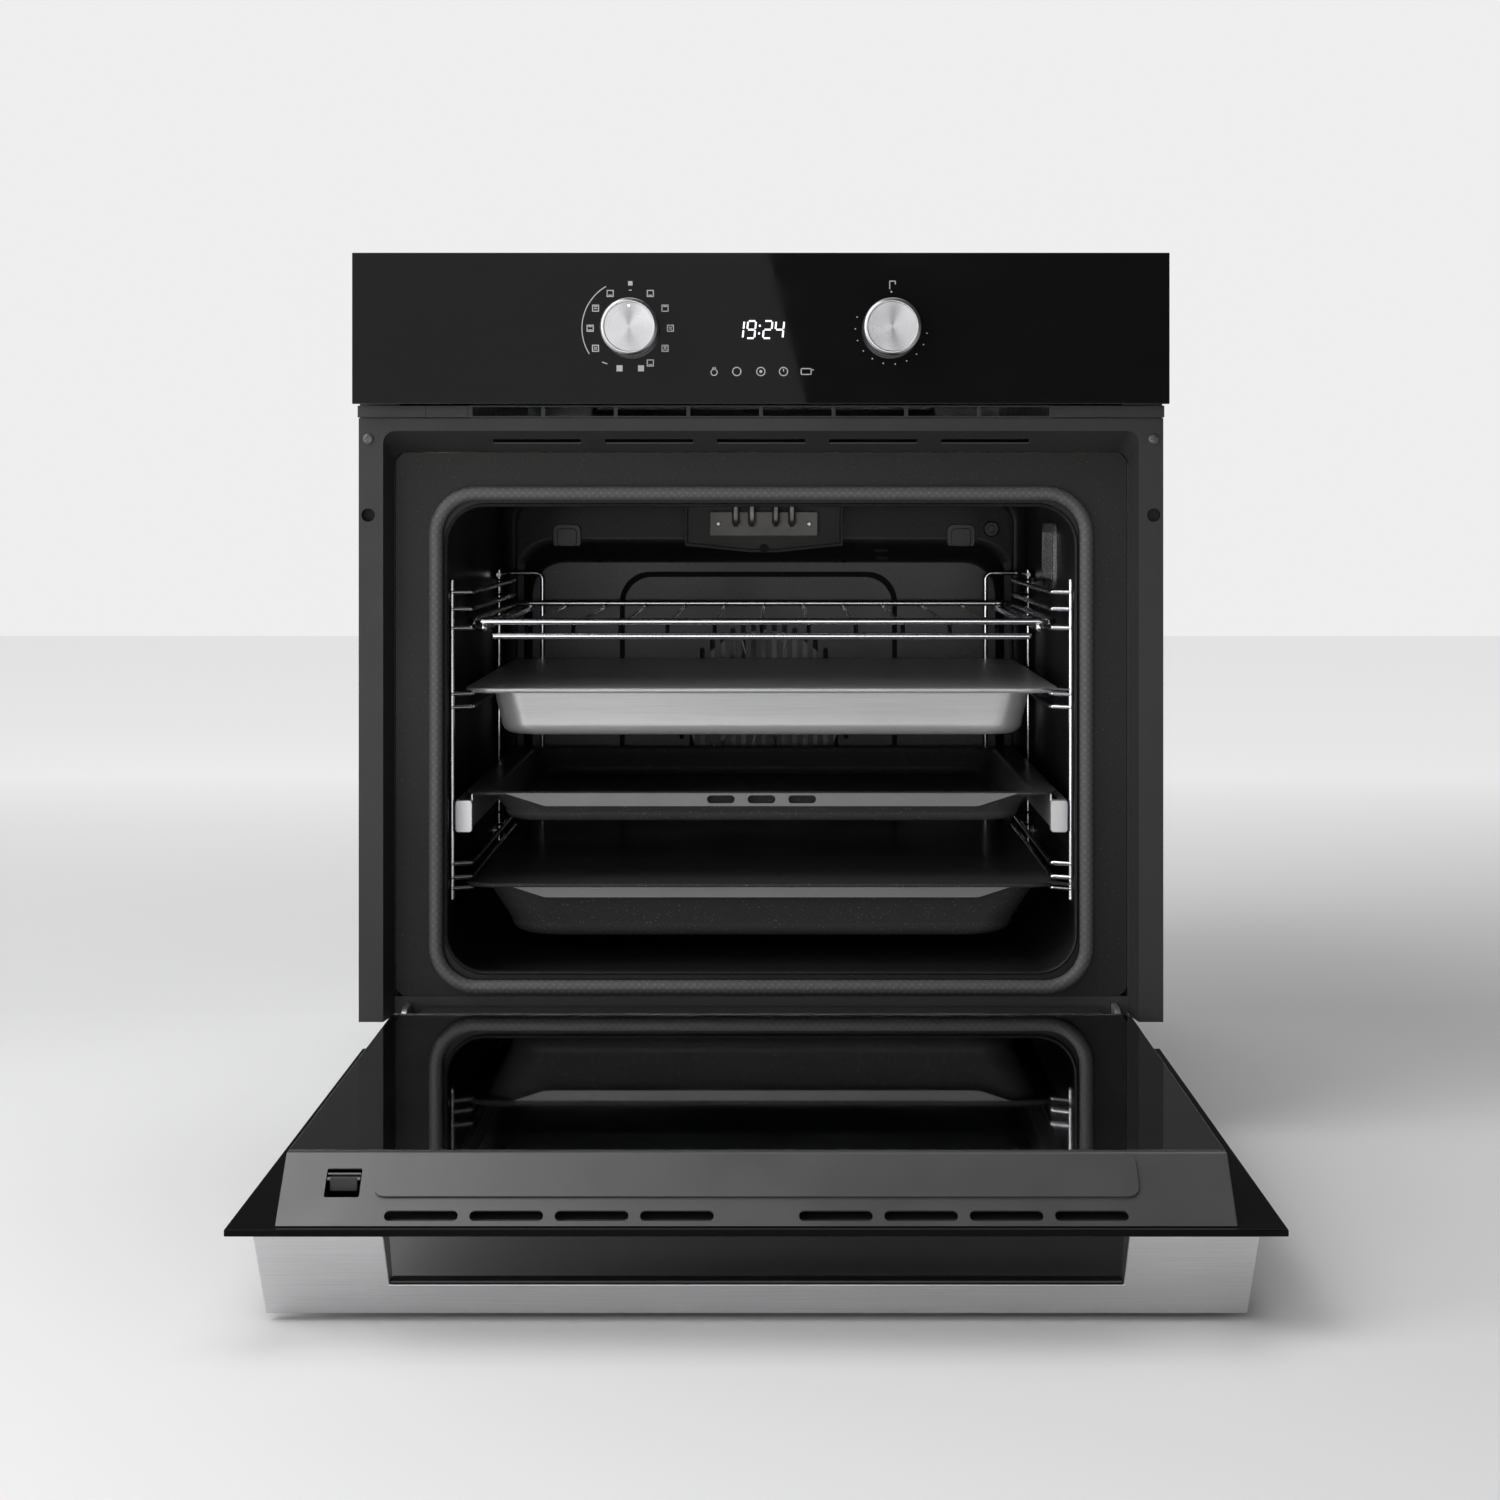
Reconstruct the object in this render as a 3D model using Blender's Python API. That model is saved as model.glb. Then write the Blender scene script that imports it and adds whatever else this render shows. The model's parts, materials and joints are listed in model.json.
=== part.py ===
"""A built-in wall oven with a drop-down door, modelled as an assembly of separate pieces.

Units are metres, +Z is up and -Y is the front. The origin is the middle of the base panel's underside.
"""

import math

import bmesh
import bpy
from mathutils import Matrix, Vector

# ---------------------------------------------------------------- driving dimensions
FRONT_WIDTH = 0.595  # fascia and door glass, side to side
FRONT_HEIGHT = 0.595  # underside of the base to the top of the fascia
OVERALL_DEPTH = 0.560  # front face of the fascia to the back cover
BASE_SETBACK = 0.052  # the door's lower edge swings in front of the base panel
SHEET = 0.0012  # gauge of the steel sheet
FIT = 0.0003  # gap between two pieces that touch
RUNNING = 0.0005  # gap between two pieces that slide or turn

CASING_INSET = 0.0225  # the front overhangs the casing by this on each side
CASING_DROP = 0.012  # top of the fascia to the casing's top
CASING_FOLD = 0.014  # inward folds of the side panels
BACK_SLOTS = 6  # air slots in the back cover
BACK_SLOT_HALF = 0.060
BACK_SLOT_TALL = 0.005
BACK_SLOT_PITCH = 0.018
BACK_SLOT_DROP = 0.183  # casing's top to the lowest slot

FASCIA_HEIGHT = 0.110
FASCIA_GLASS = 0.004
CARRIER_WALL = 0.002
CARRIER_INSET = 0.0075  # the carrier stops this far inside the fascia glass
CARRIER_RISE = 0.003
KNOB_PITCH = 0.190
KNOB_DROP = 0.055  # top of the fascia to the knobs' centres
KNOB_RADIUS = 0.021
KNOB_PROUD = 0.020
KNOB_FLOAT = 0.0015  # between the knob and the glass
KNOB_RIM = 0.0022  # the face's chamfer, drawn in from the knob's side
KNOB_DISH = 0.0008
KNOB_STEPS = 28
SHAFT_RADIUS = 0.003
SWITCH_SIZE = 0.036
SWITCH_LENGTH = 0.030
BOARD_WIDTH = 0.120
BOARD_HEIGHT = 0.070
BOARD_THICKNESS = 0.0016
BOARD_DEPTH = 0.022
DISPLAY_WIDTH = 0.048
DISPLAY_HEIGHT = 0.024

VENT_HEIGHT = 0.0094
VENT_SLOTS = 8
VENT_PITCH = 0.0533
VENT_RIB = 0.003
VENT_MARGIN = 0.0012
VENT_DEPTH = 0.016

COLUMN_INSET = 0.0015  # the frame's columns stop this far inside the fascia's sides
COLUMN_FOOT = 0.031
FRAME_DEPTH = 0.020  # the frame's front face, behind the fascia's
RECESS_SIDE = 0.0017  # casing's side to the recess at its back
RECESS_SPLAY = 0.0047  # how far each side of the recess opens out towards its front
RECESS_RISE = 0.015  # how far the recess's roof rises towards its front
RECESS_DROP = 0.034  # fascia's foot to the recess's roof at its back
RECESS_CORNER = 0.009
RECESS_LAP = 0.0002  # how far the recess reaches past the cavity's face plate
SILL_FOOT = 0.016
LOUVRES = 5
LOUVRE_PITCH = 0.083
LOUVRE_LENGTH = 0.065
LOUVRE_HALF = 0.003
LOUVRE_UNDER = 0.006
LOUVRE_OVER = 0.008
FIXING_SIDE = 0.0085  # fascia's side to the fixing holes
FIXING_DROP = 0.081  # fascia's foot to the fixing holes
FIXING_RADIUS = 0.005

FLANGE_DEPTH = 0.046  # the cavity's face plate, behind the fascia's front face
FLANGE_FOOT = 0.0452
CAVITY_WALL = 0.034  # casing's side to the cavity's inside
CAVITY_LOW = 0.058
CAVITY_DROP = 0.023  # recess's roof to the cavity's ceiling
CAVITY_CORNER = 0.030
CAVITY_TAIL = 0.070  # cavity's back wall to the back cover
FLARE_DEPTH = 0.018
MOUTH_LIP = 0.0075  # how far the mouth is drawn in from the cavity's walls
MOUTH_SILL = 0.006
MOUTH_BROW = 0.018
MOUTH_CORNER = 0.028
BEAD_HEIGHT = 0.003
BEAD_WIDTH = 0.003

SEAL_MARGIN = 0.014  # mouth's edge to the seal's outer edge
SEAL_SILL = 0.0166
SEAL_BROW = 0.0155
SEAL_CORNER = 0.036
SEAL_WIDTH = 0.0105
SEAL_HEIGHT = 0.0083
SEAL_SHOULDER = (0.05, 0.60)  # share of the width drawn in, and of the height, at the lip's shoulder
SEAL_CREST = 0.32  # share of the width drawn in at the lip's crest

INSULATION_SIDE_GAP = 0.005
INSULATION_LOW = 0.022
INSULATION_TOP = 0.027  # thickness over the cavity's ceiling
INSULATION_FRONT = 0.062
INSULATION_BACK = 0.026
INSULATION_CLEAR = 0.002
TAIL_ROOM = (0.030, 0.010)  # half width and half height of the gap for the ring element's tails

COVER_SIDE = 0.019  # cavity's side to the fan cover's foot
COVER_UNDER = 0.027
COVER_OVER = 0.050
COVER_EDGE = 0.008  # flat edge round the foot
COVER_BROW = 0.004
COVER_DRAFT = 0.010
COVER_CORNER = 0.030
COVER_PROUD = 0.020  # front of the fan cover to the cavity's back wall
COVER_SLOPE = 0.019
FAN_RISE = 0.167  # cavity's floor to the fan's axis
FAN_RADIUS = 0.072
FAN_BLADES = 10
FAN_SHAFT = 0.0035
FAN_HUB = 0.012
FAN_DISC = 0.001
FAN_GAP = 0.003  # between the fan and its cover
FAN_BACK = 0.0035  # between the fan and the cavity's wall
FAN_BLADE_SINK = 0.0005
FAN_BLADE_FOOT = 0.020
FAN_BLADE_TIP = 0.002
FAN_BLADE_HALF = 0.0006
FAN_MOTOR_RADIUS = 0.035
FAN_MOTOR_NOSE = 0.020
FAN_MOTOR_LENGTH = 0.032
FAN_MOTOR_BORE = 0.022
MOTOR_SHOULDER = 0.006
SHAFT_REACH = 0.018  # how far a motor's shaft goes into it
GRILLE_RADIUS = 0.080
GRILLE_SLOTS = 17
GRILLE_SLOT = 0.0045
TUBE_RADIUS = 0.00325  # heating elements
RING_RADIUS = 0.088
ELEMENT_TAIL = 0.012
TAIL_LENGTH = 0.010
TAIL_STEP = 0.006
GRILL_DROP = 0.010  # cavity's ceiling to the grill tubes' centres
GRILL_BEND = 0.005
GRILL_MARGIN = 0.041  # cavity's side to the outer grill tube
GRILL_FRONT = 0.049  # face plate to the outer grill tube's front
GRILL_BACK = 0.065  # cavity's back wall to the outer grill tube's rear
GRILL_NEST = (0.050, 0.045, 0.025)  # the inner tube lies inside the outer by this: side, front, back
GRILL_FOLD = 0.050
GRILL_FRAME = 0.085  # from the outer tube's front and rear to the straps
STRAP_OVERHANG = 0.004
STRAP_WIDTH = 0.012
STRAP_GAUGE = 0.0015
STRAP_SEAT = 0.6  # share of a tube's radius at which the straps lie over its centre
STUB_PITCH = 0.0145
BOTTOM_BEND = 0.012
BOTTOM_TAIL = 0.020  # half distance between the bottom element's tails
BOTTOM_MARGIN = 0.071  # cavity's side to the bottom element
BOTTOM_FRONT = 0.064
BOTTOM_BACK = 0.090
BOTTOM_LOOP = 0.060  # half width of the bottom element's inner loop
BOTTOM_INNER = 0.080

BRACKET_HALF = 0.072
BRACKET_DROP = 0.053  # cavity's ceiling to the bracket's two shoulders
BRACKET_POINT = 0.006
BRACKET_POINT_HALF = 0.012
BRACKET_FOLD = 0.014
BRACKET_GAP = 0.034  # cavity's back wall to the bracket
BLOCK_HALF = 0.049
BLOCK_DROP = 0.022
BLOCK_HEIGHT = 0.022
BLOCK_THICKNESS = 0.008

LAMP_SETBACK = 0.217  # face plate to the lamp's middle
LAMP_DROP = 0.058
LAMP_LENGTH = 0.076
LAMP_WIDTH = 0.046
LENS_LAP = 0.004
LENS_CORNER = 0.010
LENS_THICKNESS = 0.0035

WIRE_RADIUS = 0.002
RACK_GAP = 0.0035  # cavity's side to the rack's wires
RACK_STEP = 0.0145  # how far the guides stand in from the uprights
RACK_BEND = 0.004
RACK_SETBACK = 0.037  # face plate to the front upright
RACK_REAR_GAP = 0.085
RACK_DROP = 0.074  # cavity's ceiling to the top wire
RACK_LIFT = 0.054  # cavity's floor to the rack's feet
POST_GAP = 0.0385  # cavity's side to the rear post
POST_BACK = 0.0255
GUIDE_DROPS = (0.0827, 0.0956)  # cavity's ceiling to the two guides that carry nothing
GUIDE_PITCH = 0.0135
DEEP_GUIDES = (0.005, 0.0155)  # spare guides over the deep tray
RAIL_HEIGHT = 0.024
RAIL_SINK = 0.0295  # enamel tray's rim to the rail's foot
RAIL_GAUGE = 0.0012
RAIL_GAP = 0.001  # rack's wires to the fixed rail
RAIL_WIDTH = 0.0125  # fixed rail's back to the runner's face
FIXED_LIP = 0.0058
MIDDLE_LIP = 0.0068
RAIL_FRONT_GAP = 0.033  # face plate to the runner's cap
RAIL_BACK_GAP = 0.051
CAP_THICKNESS = 0.006
CAP_CORNER = 0.002

TRAY_GAP = 0.0065  # mouth's side to the trays' rims
TRAY_SETBACK = 0.039  # face plate to the trays' fronts
TRAY_BACK_GAP = 0.030
TRAY_CORNER = 0.022
TRAY_GAUGE = 0.001
SHALLOW_FLANGE = 0.021  # side flange of the two shallow trays
DEEP_FLANGE = 0.017
TRAY_CURL = 0.012
TRAY_BOWL = 0.010  # height of the curve between a tray's floor and its walls
BOWL_SHARE = 0.6
STEEL_LEVEL = 0.213  # cavity's floor to the steel tray's rim
STEEL_DROP = 0.0365
ENAMEL_LEVEL = 0.1345
ENAMEL_DROP = 0.0245
DEEP_LEVEL = 0.065
DEEP_DROP = 0.0455
STEEL_TAPER = 0.006
ENAMEL_TAPER = 0.012
DEEP_TAPER = 0.025
FRONT_FLANGE = 0.0105
FLANGE_SIDE = 0.062  # tray's side to the foot of its front flange
FLANGE_SLANT = 0.030

SHELF_LEVEL = 0.265  # cavity's floor to the shelf's loop
SHELF_LOOP_RADIUS = 0.0025
SHELF_LOOP_CORNER = 0.012
SHELF_GAP = 0.001
SHELF_SIDE = 0.015  # loop's side to the side rods
SHELF_SIDE_RADIUS = 0.003
SHELF_WIRES = 11
SHELF_WIRE_SIDE = 0.032  # side rods to the outermost thin wires
SHELF_WIRE_RADIUS = 0.0017
SHELF_WIRE_BEND = 0.010
SHELF_LOWER_DROP = 0.0118
SHELF_LOWER_SIDE = 0.008
WELD = 0.8  # crossing wires sink into each other to this share of their radii

PIVOT_DEPTH = 0.029  # the door's hinge line, behind the fascia's front face
PIVOT_HEIGHT = 0.031
DOOR_FOOT = 0.014
DOOR_GAP = 0.004  # between the door glass and the fascia glass
DOOR_GLASS = 0.004
DOOR_SIDE = 0.0033  # recess's side to the door's body
DOOR_BODY_FOOT = 0.024
DOOR_CLEAR = 0.0004  # between the shut door's inner glass and the seal
INNER_GLASS_FOOT = 0.048
INNER_GLASS_DROP = 0.015  # recess's roof to the inner glass's top
CAP_DROP = 0.005  # door's top to the cap's front edge
CAP_RISE = 0.006  # inner glass's top to the cap's rear edge
CAP_LEG = 0.004
MIDDLE_GLASS_SIDE = 0.020  # door body's side to the middle glass
MIDDLE_GLASS_RISE = 0.012
MIDDLE_GLASS_DROP = 0.011
MIDDLE_GLASS_DEPTH = 0.017
PROFILE_WIDTH = 0.014
PROFILE_RISE = 0.002
BOTTOM_PROFILE_SIDE = 0.020
DOOR_VENTS = 4
DOOR_VENT_LENGTH = 0.0415
DOOR_VENT_PITCH = 0.048
DOOR_VENT_START = 0.0447
DOOR_VENT_WIDTH = 0.007
DOOR_VENT_DEPTH = 0.009
STRIP_SIDE = 0.053  # door body's side to the cover strip
STRIP_DEPTH = 0.017
STRIP_END = 0.0012
STRIP_CORNER = 0.006
STRIP_GAUGE = 0.0008
CATCH_SIDE = 0.035  # door body's side to the catch's middle
CATCH_WIDTH = 0.020
CATCH_LENGTH = 0.019
CATCH_DEPTH = 0.024
CATCH_FORWARD = 0.002  # the catch's middle, in front of its opening's
CATCH_EDGE = 0.002
CATCH_HALF = 0.004
CATCH_SINK = (0.016, 0.003)  # foot and head of the catch, under the cap

HANDLE_SIDE = 0.016  # door glass's side to the handle's end
HANDLE_BLOCK = 0.073  # length of each end block
HANDLE_DROP = 0.0014  # door's top to the handle's
HANDLE_PROUD = 0.055
HANDLE_FALL = 0.036
HANDLE_BAR = 0.021
HANDLE_THICKNESS = 0.0205
HANDLE_NOSE = 0.0066
HANDLE_NOSE_BACK = 0.003
HANDLE_STRIP = 0.0015
HANDLE_STRIP_FOOT = 0.011
HANDLE_STRIP_HEAD = 0.0015

HINGE_SIDE = 0.007  # door body's side to the hinge's middle
ARM_THICKNESS = 0.004
ARM_TAIL = 0.031  # hinge line to the arm's hooked end
ARM_RADIUS = 0.009
ARM_STEPS = 8
PIN_RADIUS = 0.003
HOUSING_HALF = 0.0054
HOUSING_FRONT = 0.006
HOUSING_BACK = 0.031
HOUSING_FOOT = 0.026
HOUSING_TOP = 0.210
ROD_DEPTH = 0.020
ROD_FOOT = 0.050
ROD_TOP = 0.190
ROD_RADIUS = 0.0025
ROD_STEPS = 10
SPRING_FOOT = 0.006
SPRING_THICKNESS = 0.0012

BLOWER_HALF = 0.150
BLOWER_RADIUS = 0.030
BLOWER_BLADES = 12
BLOWER_DISC = 0.0015
BLOWER_BLADE_DEPTH = 0.009
BLOWER_BLADE_HALF = 0.0005
BLOWER_GAP = 0.175  # back cover to the blower's axis
BLOWER_RISE = 0.047  # duct's floor to the blower's axis
BLOWER_SHAFT = 0.003
BLOWER_MOTOR_NOSE = 0.014
BLOWER_MOTOR_RADIUS = 0.025
BLOWER_MOTOR_LENGTH = 0.032
BLOWER_MOTOR_BORE = 0.024
BLOWER_REACH = 0.020
DUCT_SIDE = 0.061  # casing's side to the duct
DUCT_FLOOR_GAP = 0.003  # insulation to the duct's floor
DUCT_CEILING_GAP = 0.035  # casing's top to the duct's ceiling
DUCT_BACK = 0.052  # blower's axis to the duct's back wall
DUCT_FRONT = 0.055  # blower's axis to the front of its ceiling
DUCT_RAMP = 0.035
DUCT_STEP = 0.004
DUCT_KNEE = 0.200
DUCT_BROW = 0.250
DUCT_BROW_RISE = 0.015
DUCT_MOUTH = 0.060
DUCT_MOUTH_RISE = 0.002
INTAKE_HALF = 0.120
INTAKE_REACH = 0.025

MAINS_SIDE = 0.085  # casing's side to the mains box's middle
MAINS_DROP = 0.053
MAINS_WIDTH = 0.060
MAINS_TALL = 0.032
MAINS_LAP = 0.006
MAINS_DEPTH = 0.028

CURVE_STEPS = 5  # facets in a rounded corner
ROUND_STEPS = 24  # facets round a turned piece

# ---------------------------------------------------------------- places worked out from them
FRONT_Y = -(OVERALL_DEPTH + BASE_SETBACK) / 2
BACK_Y = FRONT_Y + OVERALL_DEPTH
BASE_FRONT_Y = FRONT_Y + BASE_SETBACK
FRONT_HALF = FRONT_WIDTH / 2
CASING_HALF = FRONT_HALF - CASING_INSET
CASING_HEIGHT = FRONT_HEIGHT - CASING_DROP
FASCIA_FOOT = FRONT_HEIGHT - FASCIA_HEIGHT
KNOB_Z = FRONT_HEIGHT - KNOB_DROP

COLUMN_OUTER = FRONT_HALF - COLUMN_INSET
FRAME_TOP = FASCIA_FOOT - VENT_HEIGHT - FIT
RECESS_BACK = CASING_HALF - RECESS_SIDE
RECESS_FRONT = RECESS_BACK + RECESS_SPLAY
RECESS_TOP_BACK = FASCIA_FOOT - RECESS_DROP
RECESS_TOP_FRONT = RECESS_TOP_BACK + RECESS_RISE
RECESS_BACK_DEPTH = FLANGE_DEPTH + SHEET + RECESS_LAP
FIXING_HEIGHT = FASCIA_FOOT - FIXING_DROP
FIXING_X = FRONT_HALF - FIXING_SIDE

CAVITY_HALF = CASING_HALF - CAVITY_WALL
CAVITY_HIGH = RECESS_TOP_BACK - CAVITY_DROP
CAVITY_BACK = OVERALL_DEPTH - CAVITY_TAIL
MOUTH_HALF = CAVITY_HALF - MOUTH_LIP
MOUTH_LOW = CAVITY_LOW + MOUTH_SILL
MOUTH_HIGH = CAVITY_HIGH - MOUTH_BROW
SEAL_HALF = MOUTH_HALF + SEAL_MARGIN
SEAL_LOW = MOUTH_LOW - SEAL_SILL
SEAL_HIGH = MOUTH_HIGH + SEAL_BROW
INSULATION_SIDE = CASING_HALF - INSULATION_SIDE_GAP
INSULATION_HIGH = CAVITY_HIGH + INSULATION_TOP

FAN_HEIGHT = CAVITY_LOW + FAN_RISE
COVER_HALF = CAVITY_HALF - COVER_SIDE
COVER_LOW = CAVITY_LOW + COVER_UNDER
COVER_HIGH = CAVITY_HIGH - COVER_OVER
COVER_DEPTH = CAVITY_BACK - COVER_PROUD
MOTOR_FRONT = CAVITY_BACK + SHEET + INSULATION_BACK + INSULATION_CLEAR
BRACKET_DEPTH = CAVITY_BACK - BRACKET_GAP
BRACKET_LOW = CAVITY_HIGH - BRACKET_DROP
BLOCK_HIGH = CAVITY_HIGH - BLOCK_DROP
BLOCK_LOW = BLOCK_HIGH - BLOCK_HEIGHT
LAMP_DEPTH = FLANGE_DEPTH + LAMP_SETBACK
LAMP_HEIGHT = CAVITY_HIGH - LAMP_DROP

STEEL_RIM = CAVITY_LOW + STEEL_LEVEL
ENAMEL_RIM = CAVITY_LOW + ENAMEL_LEVEL
DEEP_RIM = CAVITY_LOW + DEEP_LEVEL
SHELF_LOOP_Z = CAVITY_LOW + SHELF_LEVEL
SHELF_LOWER_Z = SHELF_LOOP_Z - SHELF_LOWER_DROP
TRAY_HALF = MOUTH_HALF - TRAY_GAP
TRAY_FRONT = FLANGE_DEPTH + TRAY_SETBACK
TRAY_BACK = CAVITY_BACK - TRAY_BACK_GAP
RACK_X = CAVITY_HALF - RACK_GAP - WIRE_RADIUS
RACK_GUIDE_X = RACK_X - RACK_STEP
RACK_FRONT = FLANGE_DEPTH + RACK_SETBACK
RACK_REAR = CAVITY_BACK - RACK_REAR_GAP
RACK_TOP = CAVITY_HIGH - RACK_DROP
RACK_FOOT = CAVITY_LOW + RACK_LIFT
POST_X = CAVITY_HALF - POST_GAP
POST_DEPTH = CAVITY_BACK - POST_BACK
RAIL_OUTER = RACK_X - WIRE_RADIUS - RAIL_GAP
RAIL_LOW = ENAMEL_RIM - RAIL_SINK
RAIL_FRONT = FLANGE_DEPTH + RAIL_FRONT_GAP
RAIL_BACK = CAVITY_BACK - RAIL_BACK_GAP

DOOR_TOP = FASCIA_FOOT - DOOR_GAP
DOOR_BODY_HALF = RECESS_BACK - DOOR_SIDE
DOOR_INNER = FLANGE_DEPTH - FIT - SEAL_HEIGHT - DOOR_CLEAR  # the inner glass's face
INNER_GLASS_TOP = RECESS_TOP_BACK - INNER_GLASS_DROP
CAP_TOP = DOOR_TOP - CAP_DROP
CAP_SHOULDER = INNER_GLASS_TOP + CAP_RISE
HANDLE_HALF = FRONT_HALF - HANDLE_SIDE
HANDLE_GAP_HALF = HANDLE_HALF - HANDLE_BLOCK
HANDLE_TOP = DOOR_TOP - HANDLE_DROP
HINGE_X = DOOR_BODY_HALF - HINGE_SIDE
CATCH_X = DOOR_BODY_HALF - CATCH_SIDE

BLOWER_DEPTH = OVERALL_DEPTH - BLOWER_GAP
DUCT_HALF = CASING_HALF - DUCT_SIDE
DUCT_FLOOR = INSULATION_HIGH + DUCT_FLOOR_GAP
DUCT_CEILING = CASING_HEIGHT - DUCT_CEILING_GAP
BLOWER_HEIGHT = DUCT_FLOOR + BLOWER_RISE
MAINS_X = -(CASING_HALF - MAINS_SIDE)
MAINS_HEIGHT = CASING_HEIGHT - MAINS_DROP


def deep(depth):
    """World y of a plane that lies this far behind the fascia's front face."""
    return FRONT_Y + depth


PIVOT = Vector((0, deep(PIVOT_DEPTH), PIVOT_HEIGHT))

# ---------------------------------------------------------------- materials
FINISHES = {
    "black_glass": ((0.010, 0.010, 0.011), 0.06, 0.0),
    "clear_glass": ((0.30, 0.32, 0.32), 0.05, 0.0),
    "dark_steel": ((0.085, 0.085, 0.088), 0.42, 0.6),
    "enamel": ((0.018, 0.018, 0.019), 0.25, 0.1),
    "steel": ((0.55, 0.55, 0.56), 0.30, 1.0),
    "chrome": ((0.75, 0.75, 0.76), 0.12, 1.0),
    "galvanised": ((0.45, 0.46, 0.47), 0.45, 0.9),
    "seal": ((0.16, 0.16, 0.165), 0.75, 0.0),
    "wool": ((0.55, 0.52, 0.42), 0.95, 0.0),
    "ceramic": ((0.62, 0.61, 0.58), 0.55, 0.0),
    "black_plastic": ((0.02, 0.02, 0.02), 0.45, 0.0),
    "element": ((0.16, 0.14, 0.13), 0.45, 0.7),
    "aluminium": ((0.70, 0.70, 0.71), 0.28, 1.0),
    "board": ((0.02, 0.10, 0.05), 0.5, 0.0),
}
MATERIALS = {}


def make_materials():
    """One Principled material for each finish."""
    for name, (colour, roughness, metallic) in FINISHES.items():
        material = bpy.data.materials.new(name)
        material.use_nodes = True
        shader = material.node_tree.nodes["Principled BSDF"]
        shader.inputs["Base Color"].default_value = (*colour, 1.0)
        shader.inputs["Roughness"].default_value = roughness
        shader.inputs["Metallic"].default_value = metallic
        material.diffuse_color = (*colour, 1.0)
        MATERIALS[name] = material


# ---------------------------------------------------------------- modelling helpers
def remove_everything():
    """Start from an empty scene."""
    for item in list(bpy.data.objects):
        bpy.data.objects.remove(item, do_unlink=True)


def add(name, mesh, finish, parent=None, origin=(0, 0, 0), smooth=False):
    """Put a mesh made in world coordinates into the scene, with its origin at the given point."""
    mesh.transform(Matrix.Translation(-Vector(origin)))
    mesh.materials.append(MATERIALS[finish])
    if smooth:
        mesh.shade_smooth()
        mesh.set_sharp_from_angle(angle=math.radians(35))
    piece = bpy.data.objects.new(name, mesh)
    piece.location = origin
    bpy.context.collection.objects.link(piece)
    if parent is not None:
        piece.parent = parent
        piece.location = Vector(origin) - Vector(parent.location)
    return piece


def finish_mesh(bm, name="piece"):
    """Turn a bmesh into a mesh with its faces pointing out."""
    bmesh.ops.remove_doubles(bm, verts=bm.verts, dist=0.00002)
    bmesh.ops.recalc_face_normals(bm, faces=bm.faces)
    mesh = bpy.data.meshes.new(name)
    bm.to_mesh(mesh)
    bm.free()
    return mesh


def block(low, high):
    """A box between two corners."""
    bm = bmesh.new()
    low, high = Vector(low), Vector(high)
    bmesh.ops.create_cube(bm, size=1.0)
    bmesh.ops.scale(bm, vec=high - low, verts=bm.verts)
    bmesh.ops.translate(bm, vec=(low + high) / 2, verts=bm.verts)
    return finish_mesh(bm)


def prism(outline, low, high, axis="x"):
    """A flat outline extruded along an axis: (y, z) along x, (x, z) along y or (x, y) along z."""
    place = {
        "x": lambda a, b, t: (t, a, b),
        "y": lambda a, b, t: (a, t, b),
        "z": lambda a, b, t: (a, b, t),
    }[axis]
    bm = bmesh.new()
    face = bm.faces.new([bm.verts.new(place(a, b, low)) for a, b in outline])
    sweep = Vector(place(0, 0, high - low))
    grown = bmesh.ops.extrude_face_region(bm, geom=[face])
    moved = [v for v in grown["geom"] if isinstance(v, bmesh.types.BMVert)]
    bmesh.ops.translate(bm, vec=sweep, verts=moved)
    bmesh.ops.recalc_face_normals(bm, faces=bm.faces)
    return finish_mesh(bm)


def rounded(half_width, low, high, radius, steps=CURVE_STEPS, centre=0.0):
    """A rectangle with rounded corners, as (x, z) points that run anticlockwise."""
    corners = (
        (centre + half_width - radius, low + radius, -90),
        (centre + half_width - radius, high - radius, 0),
        (centre - half_width + radius, high - radius, 90),
        (centre - half_width + radius, low + radius, 180),
    )
    points = []
    for x, z, start in corners:
        for n in range(steps + 1):
            turn = math.radians(start + 90 * n / steps)
            points.append((x + radius * math.cos(turn), z + radius * math.sin(turn)))
    return points


def ring_of_edges(bm, points):
    """A closed loop of edges through the points."""
    verts = [bm.verts.new(p) for p in points]
    return [bm.edges.new((a, b)) for a, b in zip(verts, verts[1:] + verts[:1])], verts


def shell(loops, outward):
    """A sheet bridged from each loop to the next, its last loop filled by a face that looks outward."""
    bm = bmesh.new()
    edges, verts = ring_of_edges(bm, loops[0])
    for points in loops[1:]:
        next_edges, verts = ring_of_edges(bm, points)
        bmesh.ops.bridge_loops(bm, edges=edges + next_edges)
        edges = next_edges
    floor = bm.faces.new(verts)
    bmesh.ops.recalc_face_normals(bm, faces=bm.faces)
    floor.normal_update()
    if floor.normal.dot(Vector(outward)) < 0:
        bmesh.ops.reverse_faces(bm, faces=bm.faces)
    mesh = bpy.data.meshes.new("shell")
    bm.to_mesh(mesh)
    bm.free()
    return mesh


def upright_loop(points, depth):
    """(x, z) points stood up at a depth behind the fascia's front face."""
    return [(x, deep(depth), z) for x, z in points]


def flat_loop(points, height):
    """(x, depth) points laid flat at a height."""
    return [(x, deep(depth), height) for x, depth in points]


def thicken(piece, thickness):
    """Give a sheet its gauge on its outer side."""
    wall = piece.modifiers.new("gauge", "SOLIDIFY")
    wall.thickness = thickness
    wall.offset = 1.0
    wall.use_even_offset = True


def helper(mesh, name):
    """A hidden shape that a Boolean uses."""
    shape = bpy.data.objects.new(name, mesh)
    shape.hide_render = True
    shape.display_type = "WIRE"
    bpy.context.collection.objects.link(shape)
    return shape


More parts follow.
